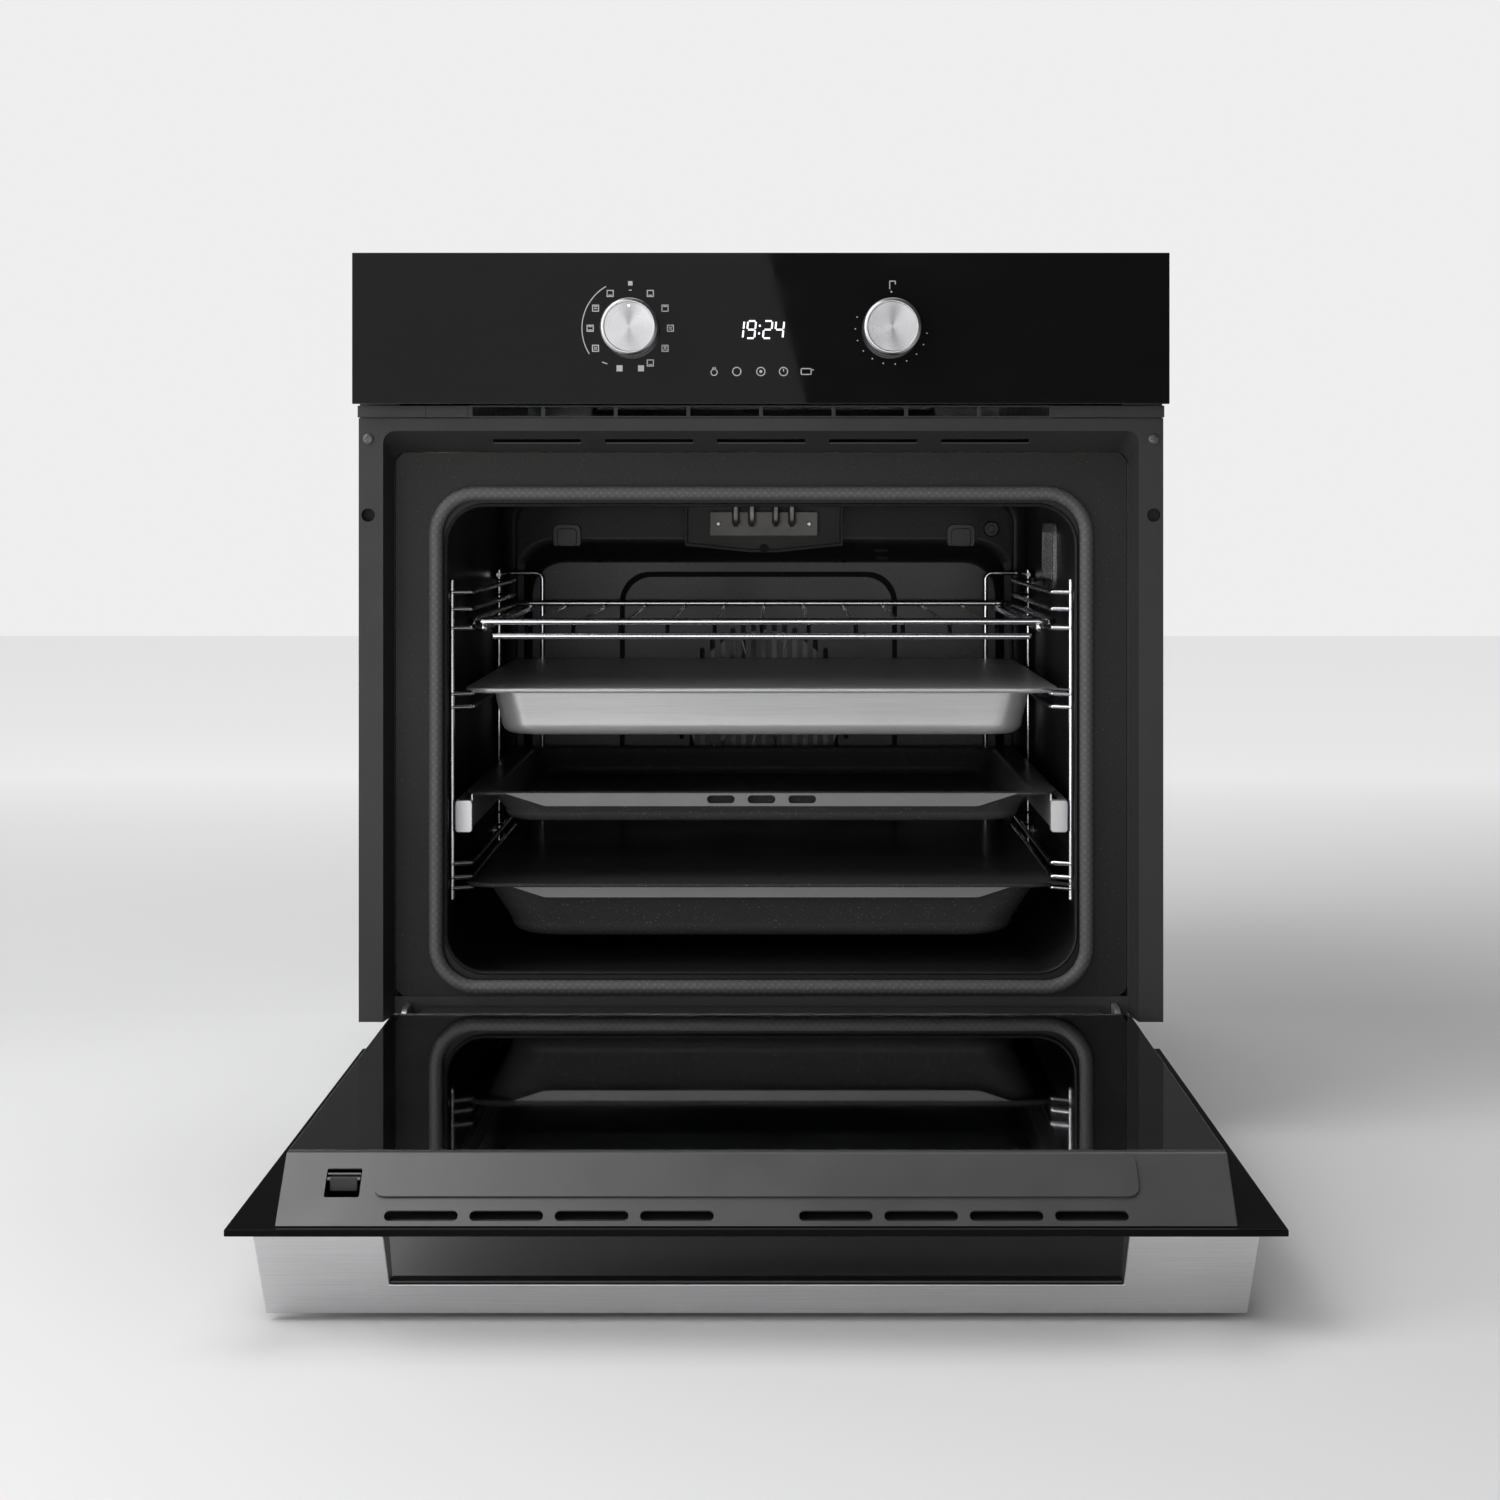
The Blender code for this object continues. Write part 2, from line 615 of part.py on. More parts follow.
def combine(piece, meshes, operation):
    """Cut meshes, in the coordinates that the piece was made in, from it or join them to it."""
    origin = Vector(piece.location)
    if piece.parent is not None:
        origin += piece.parent.location
    for n, mesh in enumerate(meshes):
        mesh.transform(Matrix.Translation(-origin))
        shape = helper(mesh, f"{piece.name}_{operation.lower()}_{n}")
        shape.location = piece.location
        if piece.parent is not None:
            shape.parent = piece.parent
        step = piece.modifiers.new(operation.lower(), "BOOLEAN")
        step.operation = operation
        step.solver = "EXACT"
        step.object = shape


def cut(piece, meshes):
    """Cut each mesh from a piece."""
    combine(piece, meshes, "DIFFERENCE")


def join(piece, meshes):
    """Join each mesh to a piece."""
    combine(piece, meshes, "UNION")


def turned(profile, steps=ROUND_STEPS):
    """A (radius, height) profile, from the axis to the axis, turned about Z."""
    bm = bmesh.new()
    verts = [bm.verts.new((r, 0, z)) for r, z in profile]
    edges = [bm.edges.new(pair) for pair in zip(verts, verts[1:])]
    bmesh.ops.spin(
        bm,
        geom=verts + edges,
        cent=(0, 0, 0),
        axis=(0, 0, 1),
        angle=2 * math.pi,
        steps=steps,
        use_merge=True,
    )
    return finish_mesh(bm)


def aim(mesh, direction, place):
    """Turn a piece made along Z to point along a direction, and put it in its place."""
    turn = Vector((0, 0, 1)).rotation_difference(Vector(direction)).to_matrix().to_4x4()
    mesh.transform(Matrix.Translation(Vector(place)) @ turn)
    return mesh


def rod(start, end, radius, steps=12):
    """A round rod from one point to another."""
    start, end = Vector(start), Vector(end)
    length = (end - start).length
    mesh = turned([(0, 0), (radius, 0), (radius, length), (0, length)], steps)
    return aim(mesh, end - start, start)


def wire(points, radius, sides=1, closed=False):
    """A bent wire: a curve with a round bevel and filled caps, as a mesh."""
    curve = bpy.data.curves.new("wire", "CURVE")
    curve.dimensions = "3D"
    curve.bevel_depth = radius
    curve.bevel_resolution = sides
    curve.use_fill_caps = True
    line = curve.splines.new("POLY")
    line.points.add(len(points) - 1)
    for point, place in zip(line.points, points):
        point.co = (*place, 1.0)
    line.use_cyclic_u = closed
    bent = bpy.data.objects.new("wire", curve)
    bpy.context.collection.objects.link(bent)
    depsgraph = bpy.context.evaluated_depsgraph_get()
    mesh = bpy.data.meshes.new_from_object(bent.evaluated_get(depsgraph))
    bpy.data.objects.remove(bent, do_unlink=True)
    bm = bmesh.new()
    bm.from_mesh(mesh)
    return finish_mesh(bm)


def bends(points, radius, steps=3):
    """A path with each inner corner rounded to an arc."""
    points = [Vector(p) for p in points]
    path = [points[0]]
    for before, corner, after in zip(points, points[1:], points[2:]):
        back, on = (before - corner).normalized(), (after - corner).normalized()
        half = back.angle(on) / 2
        reach = radius / math.tan(half)
        centre = corner + (back + on).normalized() * radius / math.sin(half)
        first = (corner + back * reach - centre).normalized()
        last = (corner + on * reach - centre).normalized()
        for n in range(steps + 1):
            path.append(centre + first.slerp(last, n / steps) * radius)
    path.append(points[-1])
    return path


def sides():
    """The left and the right side, as a name and a sign."""
    return (("left", -1), ("right", 1))


def span(side, near, far):
    """Two distances from the middle plane, as an ordered pair of x values on one side."""
    return tuple(sorted((side * near, side * far)))


# ---------------------------------------------------------------- casing
def make_casing():
    """The galvanised panels that close the oven in."""
    inner = CASING_HALF - SHEET
    top = CASING_HEIGHT - SHEET
    add("base_panel", block((-CASING_HALF, BASE_FRONT_Y, 0), (CASING_HALF, BACK_Y, SHEET)), "galvanised")
    panel_front = deep(RECESS_BACK_DEPTH) + FIT
    panel_back = BACK_Y - SHEET - FIT
    for name, side in sides():
        foot, head = SHEET + FIT, top - FIT
        outline = [
            (side * CASING_HALF, foot),
            (side * (CASING_HALF - CASING_FOLD), foot),
            (side * (CASING_HALF - CASING_FOLD), foot + SHEET),
            (side * inner, foot + SHEET),
            (side * inner, head - SHEET),
            (side * (CASING_HALF - CASING_FOLD), head - SHEET),
            (side * (CASING_HALF - CASING_FOLD), head),
            (side * CASING_HALF, head),
        ]
        add(f"{name}_side_panel", prism(outline, panel_front, panel_back, "y"), "galvanised")
    cover = block((-CASING_HALF, panel_front, top), (CASING_HALF, BACK_Y, CASING_HEIGHT))
    add("top_cover", cover, "galvanised")
    back = add(
        "back_cover",
        block((-CASING_HALF, BACK_Y - SHEET, SHEET + FIT), (CASING_HALF, BACK_Y, top - FIT)),
        "galvanised",
    )
    slots = []
    for n in range(BACK_SLOTS):
        z = CASING_HEIGHT - BACK_SLOT_DROP + BACK_SLOT_PITCH * n
        low = (-BACK_SLOT_HALF, BACK_Y - 2 * SHEET, z)
        slots.append(block(low, (BACK_SLOT_HALF, BACK_Y + SHEET, z + BACK_SLOT_TALL)))
    window = block(
        (MAINS_X - MAINS_WIDTH / 2, BACK_Y - 2 * SHEET, MAINS_HEIGHT - MAINS_TALL / 2),
        (MAINS_X + MAINS_WIDTH / 2, BACK_Y + SHEET, MAINS_HEIGHT + MAINS_TALL / 2),
    )
    cut(back, slots + [window])


def make_front_frame():
    """The stamped frame with its two columns, the sloping door recess and the sill."""
    corner, foot = RECESS_CORNER, COLUMN_FOOT
    front, back = deep(FRAME_DEPTH), deep(RECESS_BACK_DEPTH)

    def arch(half, top, radius):
        points = [(-half, foot)]
        for n in range(CURVE_STEPS + 1):
            turn = math.radians(180 - 90 * n / CURVE_STEPS)
            points.append((-half + radius + radius * math.cos(turn), top - radius + radius * math.sin(turn)))
        return points + [(-x, z) for x, z in reversed(points)]

    inner = arch(RECESS_FRONT, RECESS_TOP_FRONT, corner)
    plate_outline = [(COLUMN_OUTER, foot), (COLUMN_OUTER, FRAME_TOP), (-COLUMN_OUTER, FRAME_TOP)]
    plate_outline += [(-COLUMN_OUTER, foot)] + inner
    frame = add("front_frame", prism(plate_outline, front, front + SHEET, "y"), "dark_steel")

    bm = bmesh.new()
    loops = []
    for half, top, y in ((RECESS_FRONT, RECESS_TOP_FRONT, front), (RECESS_BACK, RECESS_TOP_BACK, back)):
        inside = arch(half, top, corner)
        outside = arch(half + SHEET, top + SHEET, corner + SHEET)
        loops.append([(x, y, z) for x, z in inside + outside[::-1]])
    rings = []
    for points in loops:
        edges, verts = ring_of_edges(bm, points)
        bm.faces.new(verts)
        rings.append(verts)
    for a, b in zip(zip(rings[0], rings[0][1:] + rings[0][:1]), zip(rings[1], rings[1][1:] + rings[1][:1])):
        bm.faces.new((a[0], a[1], b[1], b[0]))
    recess = finish_mesh(bm)
    sill_top = FLANGE_FOOT - FIT
    sill = block(
        (-RECESS_BACK - SHEET, back - SHEET, SILL_FOOT), (RECESS_BACK + SHEET, back, sill_top)
    )
    join(frame, [recess, sill])

    holes = []
    for _, side in sides():
        x = side * FIXING_X
        hole = rod((x, front - SHEET, FIXING_HEIGHT), (x, front + 2 * SHEET, FIXING_HEIGHT), FIXING_RADIUS)
        slot_half = ARM_THICKNESS / 2 + RUNNING
        slot = block(
            (side * HINGE_X - slot_half, back - 2 * SHEET, PIVOT_HEIGHT - ARM_RADIUS - RUNNING),
            (side * HINGE_X + slot_half, back + SHEET, PIVOT_HEIGHT + ARM_RADIUS + RUNNING),
        )
        holes += [hole, slot]
    middle_z = (RECESS_TOP_FRONT + RECESS_TOP_BACK) / 2
    for n in range(LOUVRES):
        x = (n - (LOUVRES - 1) / 2) * LOUVRE_PITCH
        y = (front + back) / 2
        holes.append(
            block(
                (x - LOUVRE_LENGTH / 2, y - LOUVRE_HALF, middle_z - LOUVRE_UNDER),
                (x + LOUVRE_LENGTH / 2, y + LOUVRE_HALF, middle_z + LOUVRE_OVER),
            )
        )
    cut(frame, holes)


def make_vent_grille():
    """The slotted strip that the cooling air leaves by, between the frame and the fascia."""
    low = FRAME_TOP + FIT
    high = low + VENT_HEIGHT - FIT * 2
    front = deep(VENT_DEPTH)
    grille = add(
        "vent_grille",
        block((-COLUMN_OUTER, front, low), (COLUMN_OUTER, front + SHEET, high)),
        "dark_steel",
    )
    holes = []
    for n in range(VENT_SLOTS):
        x = (n - (VENT_SLOTS - 1) / 2) * VENT_PITCH
        half = (VENT_PITCH - VENT_RIB) / 2
        holes.append(
            block(
                (x - half, front - SHEET, low + VENT_MARGIN),
                (x + half, front + 2 * SHEET, high - VENT_MARGIN),
            )
        )
    cut(grille, holes)


# ---------------------------------------------------------------- cavity
def make_cavity():
    """The enamelled box with its face plate, and the bead round its mouth."""

    def mouth(grow):
        return rounded(MOUTH_HALF + grow, MOUTH_LOW - grow, MOUTH_HIGH + grow, MOUTH_CORNER + grow)

    flange = rounded(RECESS_BACK - 2 * FIT, FLANGE_FOOT, RECESS_TOP_BACK - 2 * FIT, RECESS_CORNER)
    walls = rounded(CAVITY_HALF, CAVITY_LOW, CAVITY_HIGH, CAVITY_CORNER)
    loops = [
        upright_loop(flange, FLANGE_DEPTH),
        upright_loop(mouth(BEAD_WIDTH), FLANGE_DEPTH),
        upright_loop(mouth(BEAD_WIDTH / 2), FLANGE_DEPTH - BEAD_HEIGHT),
        upright_loop(mouth(0), FLANGE_DEPTH),
        upright_loop(walls, FLANGE_DEPTH + FLARE_DEPTH),
        upright_loop(walls, CAVITY_BACK),
    ]
    cavity = add("cavity", shell(loops, (0, 1, 0)), "enamel", smooth=True)
    thicken(cavity, SHEET)
    through = deep(CAVITY_BACK - SHEET), deep(CAVITY_BACK + 3 * SHEET)
    holes = [rod((0, through[0], FAN_HEIGHT), (0, through[1], FAN_HEIGHT), FAN_SHAFT + RUNNING)]
    for _, side in sides():
        x, z = side * ELEMENT_TAIL, ring_end_height()
        holes.append(rod((x, through[0], z), (x, through[1], z), TUBE_RADIUS + RUNNING))
    holes.append(
        block(
            (CAVITY_HALF - SHEET, deep(LAMP_DEPTH) - LAMP_LENGTH / 2, LAMP_HEIGHT - LAMP_WIDTH / 2),
            (CAVITY_HALF + 3 * SHEET, deep(LAMP_DEPTH) + LAMP_LENGTH / 2, LAMP_HEIGHT + LAMP_WIDTH / 2),
        )
    )
    cut(cavity, holes)


def ring_end_height():
    """Height at which the ring element's two ends turn back through the cavity wall."""
    return FAN_HEIGHT + math.sqrt(RING_RADIUS**2 - ELEMENT_TAIL**2)


def make_seal():
    """The door seal: a hollow-looking lip swept round the mouth."""

    def line(grow):
        return rounded(SEAL_HALF - grow, SEAL_LOW + grow, SEAL_HIGH - grow, SEAL_CORNER - grow)

    face, back = FLANGE_DEPTH - FIT - SEAL_HEIGHT, FLANGE_DEPTH - FIT
    drawn, shoulder = SEAL_WIDTH * SEAL_SHOULDER[0], back - SEAL_HEIGHT * SEAL_SHOULDER[1]
    crest = SEAL_WIDTH * SEAL_CREST
    loops = [
        upright_loop(line(0), back),
        upright_loop(line(drawn), shoulder),
        upright_loop(line(crest), face),
        upright_loop(line(SEAL_WIDTH - crest), face),
        upright_loop(line(SEAL_WIDTH - drawn), shoulder),
        upright_loop(line(SEAL_WIDTH), back),
    ]
    bm = bmesh.new()
    rings = [ring_of_edges(bm, points)[0] for points in loops]
    for a, b in zip(rings, rings[1:] + rings[:1]):
        bmesh.ops.bridge_loops(bm, edges=a + b)
    add("door_seal", finish_mesh(bm), "seal", smooth=True)


def make_insulation():
    """The mineral-wool jacket that wraps the cavity, open at the front."""
    back = deep(CAVITY_BACK + SHEET + INSULATION_BACK)
    jacket = add(
        "insulation",
        block(
            (-INSULATION_SIDE, deep(INSULATION_FRONT), INSULATION_LOW),
            (INSULATION_SIDE, back, INSULATION_HIGH),
        ),
        "wool",
    )
    clear = SHEET + INSULATION_CLEAR
    element_room = 4 * TUBE_RADIUS
    hollow = block(
        (-CAVITY_HALF - clear, deep(INSULATION_FRONT) - SHEET, CAVITY_LOW - clear - element_room),
        (CAVITY_HALF + clear, deep(CAVITY_BACK) + clear, CAVITY_HIGH + clear),
    )
    fan_hole = rod((0, back - INSULATION_BACK * 2, FAN_HEIGHT), (0, back + SHEET, FAN_HEIGHT), 2 * FAN_SHAFT)
    tails = block(
        (-TAIL_ROOM[0], back - INSULATION_BACK * 2, ring_end_height() - TAIL_ROOM[1]),
        (TAIL_ROOM[0], back + SHEET, ring_end_height() + TAIL_ROOM[1]),
    )
    lamp = block(
        (CAVITY_HALF, deep(LAMP_DEPTH) - LAMP_LENGTH, LAMP_HEIGHT - LAMP_WIDTH * 0.8),
        (CASING_HALF, deep(LAMP_DEPTH) + LAMP_LENGTH, LAMP_HEIGHT + LAMP_WIDTH * 0.8),
    )
    cut(jacket, [hollow, fan_hole, tails, lamp])


def make_fan_cover():
    """The pressed rear panel in front of the fan, with a sloping shoulder and a slotted intake."""
    base = rounded(COVER_HALF, COVER_LOW, COVER_HIGH, COVER_CORNER)
    edge = rounded(COVER_HALF + COVER_EDGE, COVER_LOW - COVER_EDGE, COVER_HIGH + COVER_BROW, COVER_CORNER)
    face = rounded(COVER_HALF - COVER_DRAFT, COVER_LOW + COVER_DRAFT, COVER_HIGH - COVER_SLOPE, COVER_CORNER)
    foot = CAVITY_BACK - FIT - SHEET
    loops = [upright_loop(edge, foot), upright_loop(base, foot), upright_loop(face, COVER_DEPTH)]
    cover = add("fan_cover", shell(loops, (0, 1, 0)), "enamel", smooth=True)
    thicken(cover, SHEET)
    slots = []
    pitch = 2 * GRILLE_RADIUS / GRILLE_SLOTS
    for n in range(GRILLE_SLOTS):
        x = (n - (GRILLE_SLOTS - 1) / 2) * pitch
        reach = math.sqrt(GRILLE_RADIUS**2 - x**2)
        slots.append(
            block(
                (x - GRILLE_SLOT / 2, deep(COVER_DEPTH) - SHEET * 2, FAN_HEIGHT - reach),
                (x + GRILLE_SLOT / 2, deep(COVER_DEPTH) + SHEET * 2, FAN_HEIGHT + reach),
            )
        )
    cut(cover, slots)


# ---------------------------------------------------------------- heating and light
def make_elements():
    """The ring element round the fan, the twin grill element and the bottom element."""
    middle = (COVER_DEPTH + SHEET + CAVITY_BACK) / 2
    open_half = math.asin(ELEMENT_TAIL / RING_RADIUS)
    tail, step = deep(CAVITY_BACK + SHEET + TAIL_LENGTH), deep(middle) + TAIL_STEP
    points = [(ELEMENT_TAIL, tail, ring_end_height()), (ELEMENT_TAIL, step, ring_end_height())]
    for n in range(ROUND_STEPS + 1):
        turn = math.pi / 2 - open_half - (2 * math.pi - 2 * open_half) * n / ROUND_STEPS
        points.append((RING_RADIUS * math.cos(turn), deep(middle), FAN_HEIGHT + RING_RADIUS * math.sin(turn)))
    points += [(-ELEMENT_TAIL, step, ring_end_height()), (-ELEMENT_TAIL, tail, ring_end_height())]
    add("ring_element", wire(points, TUBE_RADIUS), "element", smooth=True)

    high = CAVITY_HIGH - GRILL_DROP
    drop_y = deep(BRACKET_DEPTH - BLOCK_THICKNESS) - 2 * TUBE_RADIUS
    stub_z = (BLOCK_LOW + BLOCK_HIGH) / 2
    block_face = deep(BRACKET_DEPTH - BLOCK_THICKNESS) - FIT
    outer = (CAVITY_HALF - GRILL_MARGIN, FLANGE_DEPTH + GRILL_FRONT, CAVITY_BACK - GRILL_BACK)
    inner = (outer[0] - GRILL_NEST[0], outer[1] + GRILL_NEST[1], outer[2] - GRILL_NEST[2])
    circuits = ((STUB_PITCH * 1.75, *outer, False), (STUB_PITCH * 0.75, *inner, True))
    tubes = []
    for stub, half, near, far, folded in circuits:
        path = [(stub, block_face, stub_z), (stub, drop_y, stub_z), (stub, drop_y, high)]
        path += [(stub, deep(far), high), (half, deep(far), high), (half, deep(near), high)]
        if folded:
            path += [(half / 3, deep(near), high), (half / 3, deep(far - GRILL_FOLD), high)]
        path += [(-x, y, z) for x, y, z in reversed(path)]
        tubes.append(wire(bends(path, GRILL_BEND, 2), TUBE_RADIUS))
    strap_z, strap_half = high + TUBE_RADIUS * STRAP_SEAT, outer[0] + STRAP_OVERHANG
    straps = [
        block((-strap_half, deep(d), strap_z), (strap_half, deep(d + STRAP_WIDTH), strap_z + STRAP_GAUGE))
        for d in (outer[1] + GRILL_FRAME, outer[2] - GRILL_FRAME)
    ]
    grill = add("grill_element", tubes[0], "element", smooth=True)
    join(grill, [straps[0], tubes[1], straps[1]])

    z = CAVITY_LOW - SHEET - 2 * TUBE_RADIUS
    wide, back = CAVITY_HALF - BOTTOM_MARGIN, deep(CAVITY_BACK - BOTTOM_BACK)
    front = deep(FLANGE_DEPTH + BOTTOM_FRONT)
    path = [(BOTTOM_TAIL, deep(CAVITY_BACK), z), (BOTTOM_TAIL, back, z), (wide, back, z), (wide, front, z)]
    path += [(BOTTOM_LOOP, front, z), (BOTTOM_LOOP, back - BOTTOM_INNER, z)]
    path += [(-x, y, level) for x, y, level in reversed(path)]
    add("bottom_element", wire(bends(path, BOTTOM_BEND, 2), TUBE_RADIUS), "element", smooth=True)


def make_terminal_bracket():
    """The bracket with a shallow V foot that carries the grill element's ceramic block."""
    y = deep(BRACKET_DEPTH)
    top = CAVITY_HIGH - FIT
    point = BRACKET_LOW - BRACKET_POINT
    outline = [(-BRACKET_HALF, top), (-BRACKET_HALF, BRACKET_LOW), (-BRACKET_POINT_HALF, point)]
    outline += [(BRACKET_POINT_HALF, point), (BRACKET_HALF, BRACKET_LOW), (BRACKET_HALF, top)]
    bracket = add("terminal_bracket", prism(outline, y, y + SHEET, "y"), "dark_steel")
    fold = block((-BRACKET_HALF, y, top - SHEET), (BRACKET_HALF, y + BRACKET_FOLD, top))
    join(bracket, [fold])
    add(
        "terminal_block",
        block((-BLOCK_HALF, y - BLOCK_THICKNESS, BLOCK_LOW), (BLOCK_HALF, y - FIT, BLOCK_HIGH)),
        "ceramic",
    )


def make_lamp():
    """The side lamp: a housing outside the cavity wall and a glass cover inside it."""
    wall, y = CAVITY_HALF + SHEET, deep(LAMP_DEPTH)
    half, low, high = LAMP_LENGTH / 2, LAMP_HEIGHT - LAMP_WIDTH / 2, LAMP_HEIGHT + LAMP_WIDTH / 2
    lap = LENS_LAP
    housing = add(
        "lamp_housing",
        block((wall + FIT, y - half - lap, low - lap), (INSULATION_SIDE, y + half + lap, high + lap)),
        "steel",
    )
    cut(housing, [block((wall - SHEET, y - half, low), (INSULATION_SIDE - lap, y + half, high))])
    inner = CAVITY_HALF - FIT
    outline = rounded(half + lap, low - lap, high + lap, LENS_CORNER, centre=y)
    add("lamp_cover", prism(outline, inner - LENS_THICKNESS, inner, "x"), "clear_glass")


# ---------------------------------------------------------------- racks and rails
def guide_heights():
    """The wires that carry the shelf and trays, each just under the rim that rides on it."""
    loop_foot = SHELF_LOOP_Z - SHELF_LOOP_RADIUS
    steel_foot = STEEL_RIM - TRAY_GAUGE
    deep_foot = DEEP_RIM - TRAY_GAUGE
    under = [foot - FIT - WIRE_RADIUS for foot in (loop_foot, steel_foot, deep_foot)]
    spare = [STEEL_RIM - GUIDE_PITCH] + [DEEP_RIM + rise for rise in DEEP_GUIDES]
    return [CAVITY_HIGH - drop for drop in GUIDE_DROPS] + under + spare


def make_racks():
    """The two chrome wire racks that hang on the cavity's side walls."""
    for name, side in sides():
        x, guide_x, post_x = side * RACK_X, side * RACK_GUIDE_X, side * POST_X
        front, rear, post = deep(RACK_FRONT), deep(RACK_REAR), deep(POST_DEPTH)
        bend = RACK_BEND
        stem = wire([(x, front, RACK_FOOT), (x, front, RACK_TOP)], WIRE_RADIUS)
        rack = add(f"{name}_rack", stem, "chrome", smooth=True)
        upright = wire([(x, rear, RACK_FOOT), (x, rear, RACK_TOP)], WIRE_RADIUS)
        top = [(x, rear - bend, RACK_TOP - bend), (x, post, RACK_TOP - bend)]
        top += [(post_x, post, RACK_TOP - bend), (post_x, post, RACK_FOOT)]
        pieces = [upright, wire(top, WIRE_RADIUS)]
        for z in guide_heights():
            path = [(x, front, z), (guide_x, front + bend, z), (guide_x, rear - bend, z), (x, rear, z)]
            pieces.append(wire(path, WIRE_RADIUS))
        join(rack, pieces)


def channel(side, outer, depth_x, low, high, gauge):
    """The (x, z) outline of a C-shaped rail whose back is at outer and whose lips point to the middle."""
    near = outer - depth_x
    points = [(outer, low), (outer, high), (near, high), (near, high - gauge), (outer - gauge, high - gauge)]
    points += [(outer - gauge, low + gauge), (near, low + gauge), (near, low)]
    return [(side * x, z) for x, z in points]


def make_rails():
    """A telescopic rail on each side: fixed rail, middle rail and runner."""
    step = RAIL_GAUGE + RUNNING
    front, back = deep(RAIL_FRONT + CAP_THICKNESS + RUNNING), deep(RAIL_BACK)
    low, high = RAIL_LOW, RAIL_LOW + RAIL_HEIGHT
    for name, side in sides():
        fixed = channel(side, RAIL_OUTER, FIXED_LIP, low, high, RAIL_GAUGE)
        add(f"{name}_fixed_rail", prism(fixed, front, back, "y"), "steel")
        middle = channel(side, RAIL_OUTER - step, MIDDLE_LIP, low + step, high - step, RAIL_GAUGE)
        add(f"{name}_middle_rail", prism(middle, front, back, "y"), "steel")
        head = high - 2 * step
        foot = low + 2 * step
        inner = RAIL_OUTER - 2 * step
        face = RAIL_OUTER - RAIL_WIDTH
        support = ENAMEL_RIM - TRAY_GAUGE - FIT
        runner_outline = [
            (inner, foot),
            (inner, head),
            (face + RAIL_GAUGE, head),
            (face + RAIL_GAUGE, support),
            (face, support),
            (face, foot),
        ]
        outline = [(side * x, z) for x, z in runner_outline]
        runner = add(f"{name}_runner", prism(outline, front, back, "y"), "steel")
        neck_x = span(side, face, inner)
        neck = block((neck_x[0], front - 2 * SHEET, foot), (neck_x[1], front + SHEET, head))
        cap = prism(
            rounded(RAIL_WIDTH / 2, low, high, CAP_CORNER, 2, centre=side * (RAIL_OUTER + face) / 2),
            deep(RAIL_FRONT),
            front - RUNNING,
            "y",
        )
        join(runner, [neck, cap])


def tray_loop(grow, y_grow):
    """A tray's rounded outline, as (x, depth) points, drawn in from its rim."""
    return rounded(TRAY_HALF - grow, TRAY_FRONT + y_grow, TRAY_BACK - y_grow, TRAY_CORNER)


def make_trays():
    """The steel tray, the enamel tray and the deep enamel tray."""
    trays = (
        ("steel_tray", STEEL_RIM, SHALLOW_FLANGE, STEEL_DROP, STEEL_TAPER, "steel"),
        ("enamel_tray", ENAMEL_RIM, SHALLOW_FLANGE, ENAMEL_DROP, ENAMEL_TAPER, "enamel"),
        ("deep_tray", DEEP_RIM, DEEP_FLANGE, DEEP_DROP, DEEP_TAPER, "enamel"),
    )
    for name, rim, inset, drop, taper, finish in trays:
        bowl, floor = taper * BOWL_SHARE, rim - drop + TRAY_GAUGE
        loops = [
            flat_loop(tray_loop(0, 0), rim),
            flat_loop(tray_loop(inset, TRAY_CURL), rim),
            flat_loop(tray_loop(inset + bowl, TRAY_CURL + bowl), floor + TRAY_BOWL),
            flat_loop(tray_loop(inset + taper, TRAY_CURL + taper), floor),
        ]
        tray = add(name, shell(loops, (0, 0, -1)), finish, smooth=True)
        thicken(tray, TRAY_GAUGE)
        if finish == "enamel":
            top, foot = rim - TRAY_GAUGE / 2, rim - FRONT_FLANGE
            half = TRAY_HALF - FLANGE_SIDE
            outline = [(-half - FLANGE_SLANT, top), (-half, foot)]
            outline += [(-x, z) for x, z in reversed(outline)]
            join(tray, [prism(outline, deep(TRAY_FRONT), deep(TRAY_FRONT) + TRAY_GAUGE, "y")])


def make_wire_shelf():
    """The chrome shelf: a loop of thick wire over two side rods, thin wires and a lower front rod."""
    half = TRAY_HALF - SHELF_GAP - SHELF_LOOP_RADIUS
    side_x = TRAY_HALF - SHELF_SIDE
    wire_half = side_x - SHELF_WIRE_SIDE
    front, back = TRAY_FRONT + SHELF_LOOP_RADIUS, TRAY_BACK - SHELF_LOOP_RADIUS
    loop = flat_loop(rounded(half, front, back, SHELF_LOOP_CORNER, 2), SHELF_LOOP_Z)
    shelf = add("wire_shelf", wire(loop, SHELF_LOOP_RADIUS, closed=True), "chrome", smooth=True)
    side_z = SHELF_LOOP_Z - WELD * (SHELF_LOOP_RADIUS + SHELF_SIDE_RADIUS)
    wire_z = SHELF_LOOP_Z - WELD * (SHELF_LOOP_RADIUS + SHELF_WIRE_RADIUS)
    pieces = []
    for _, side in sides():
        x = side * side_x
        pieces.append(wire([(x, deep(front), side_z), (x, deep(back), side_z)], SHELF_SIDE_RADIUS))
    for n in range(SHELF_WIRES):
        x = wire_half * (2 * n / (SHELF_WIRES - 1) - 1)
        path = [(x, deep(back), wire_z), (x, deep(front) + SHELF_WIRE_BEND, wire_z)]
        path.append((x, deep(front), SHELF_LOWER_Z))
        pieces.append(wire(path, SHELF_WIRE_RADIUS))
    lower_half = side_x - SHELF_LOWER_SIDE
    lower = [(-lower_half, deep(front), SHELF_LOWER_Z), (lower_half, deep(front), SHELF_LOWER_Z)]
    pieces.append(wire(lower, SHELF_LOOP_RADIUS))
    join(shelf, pieces)


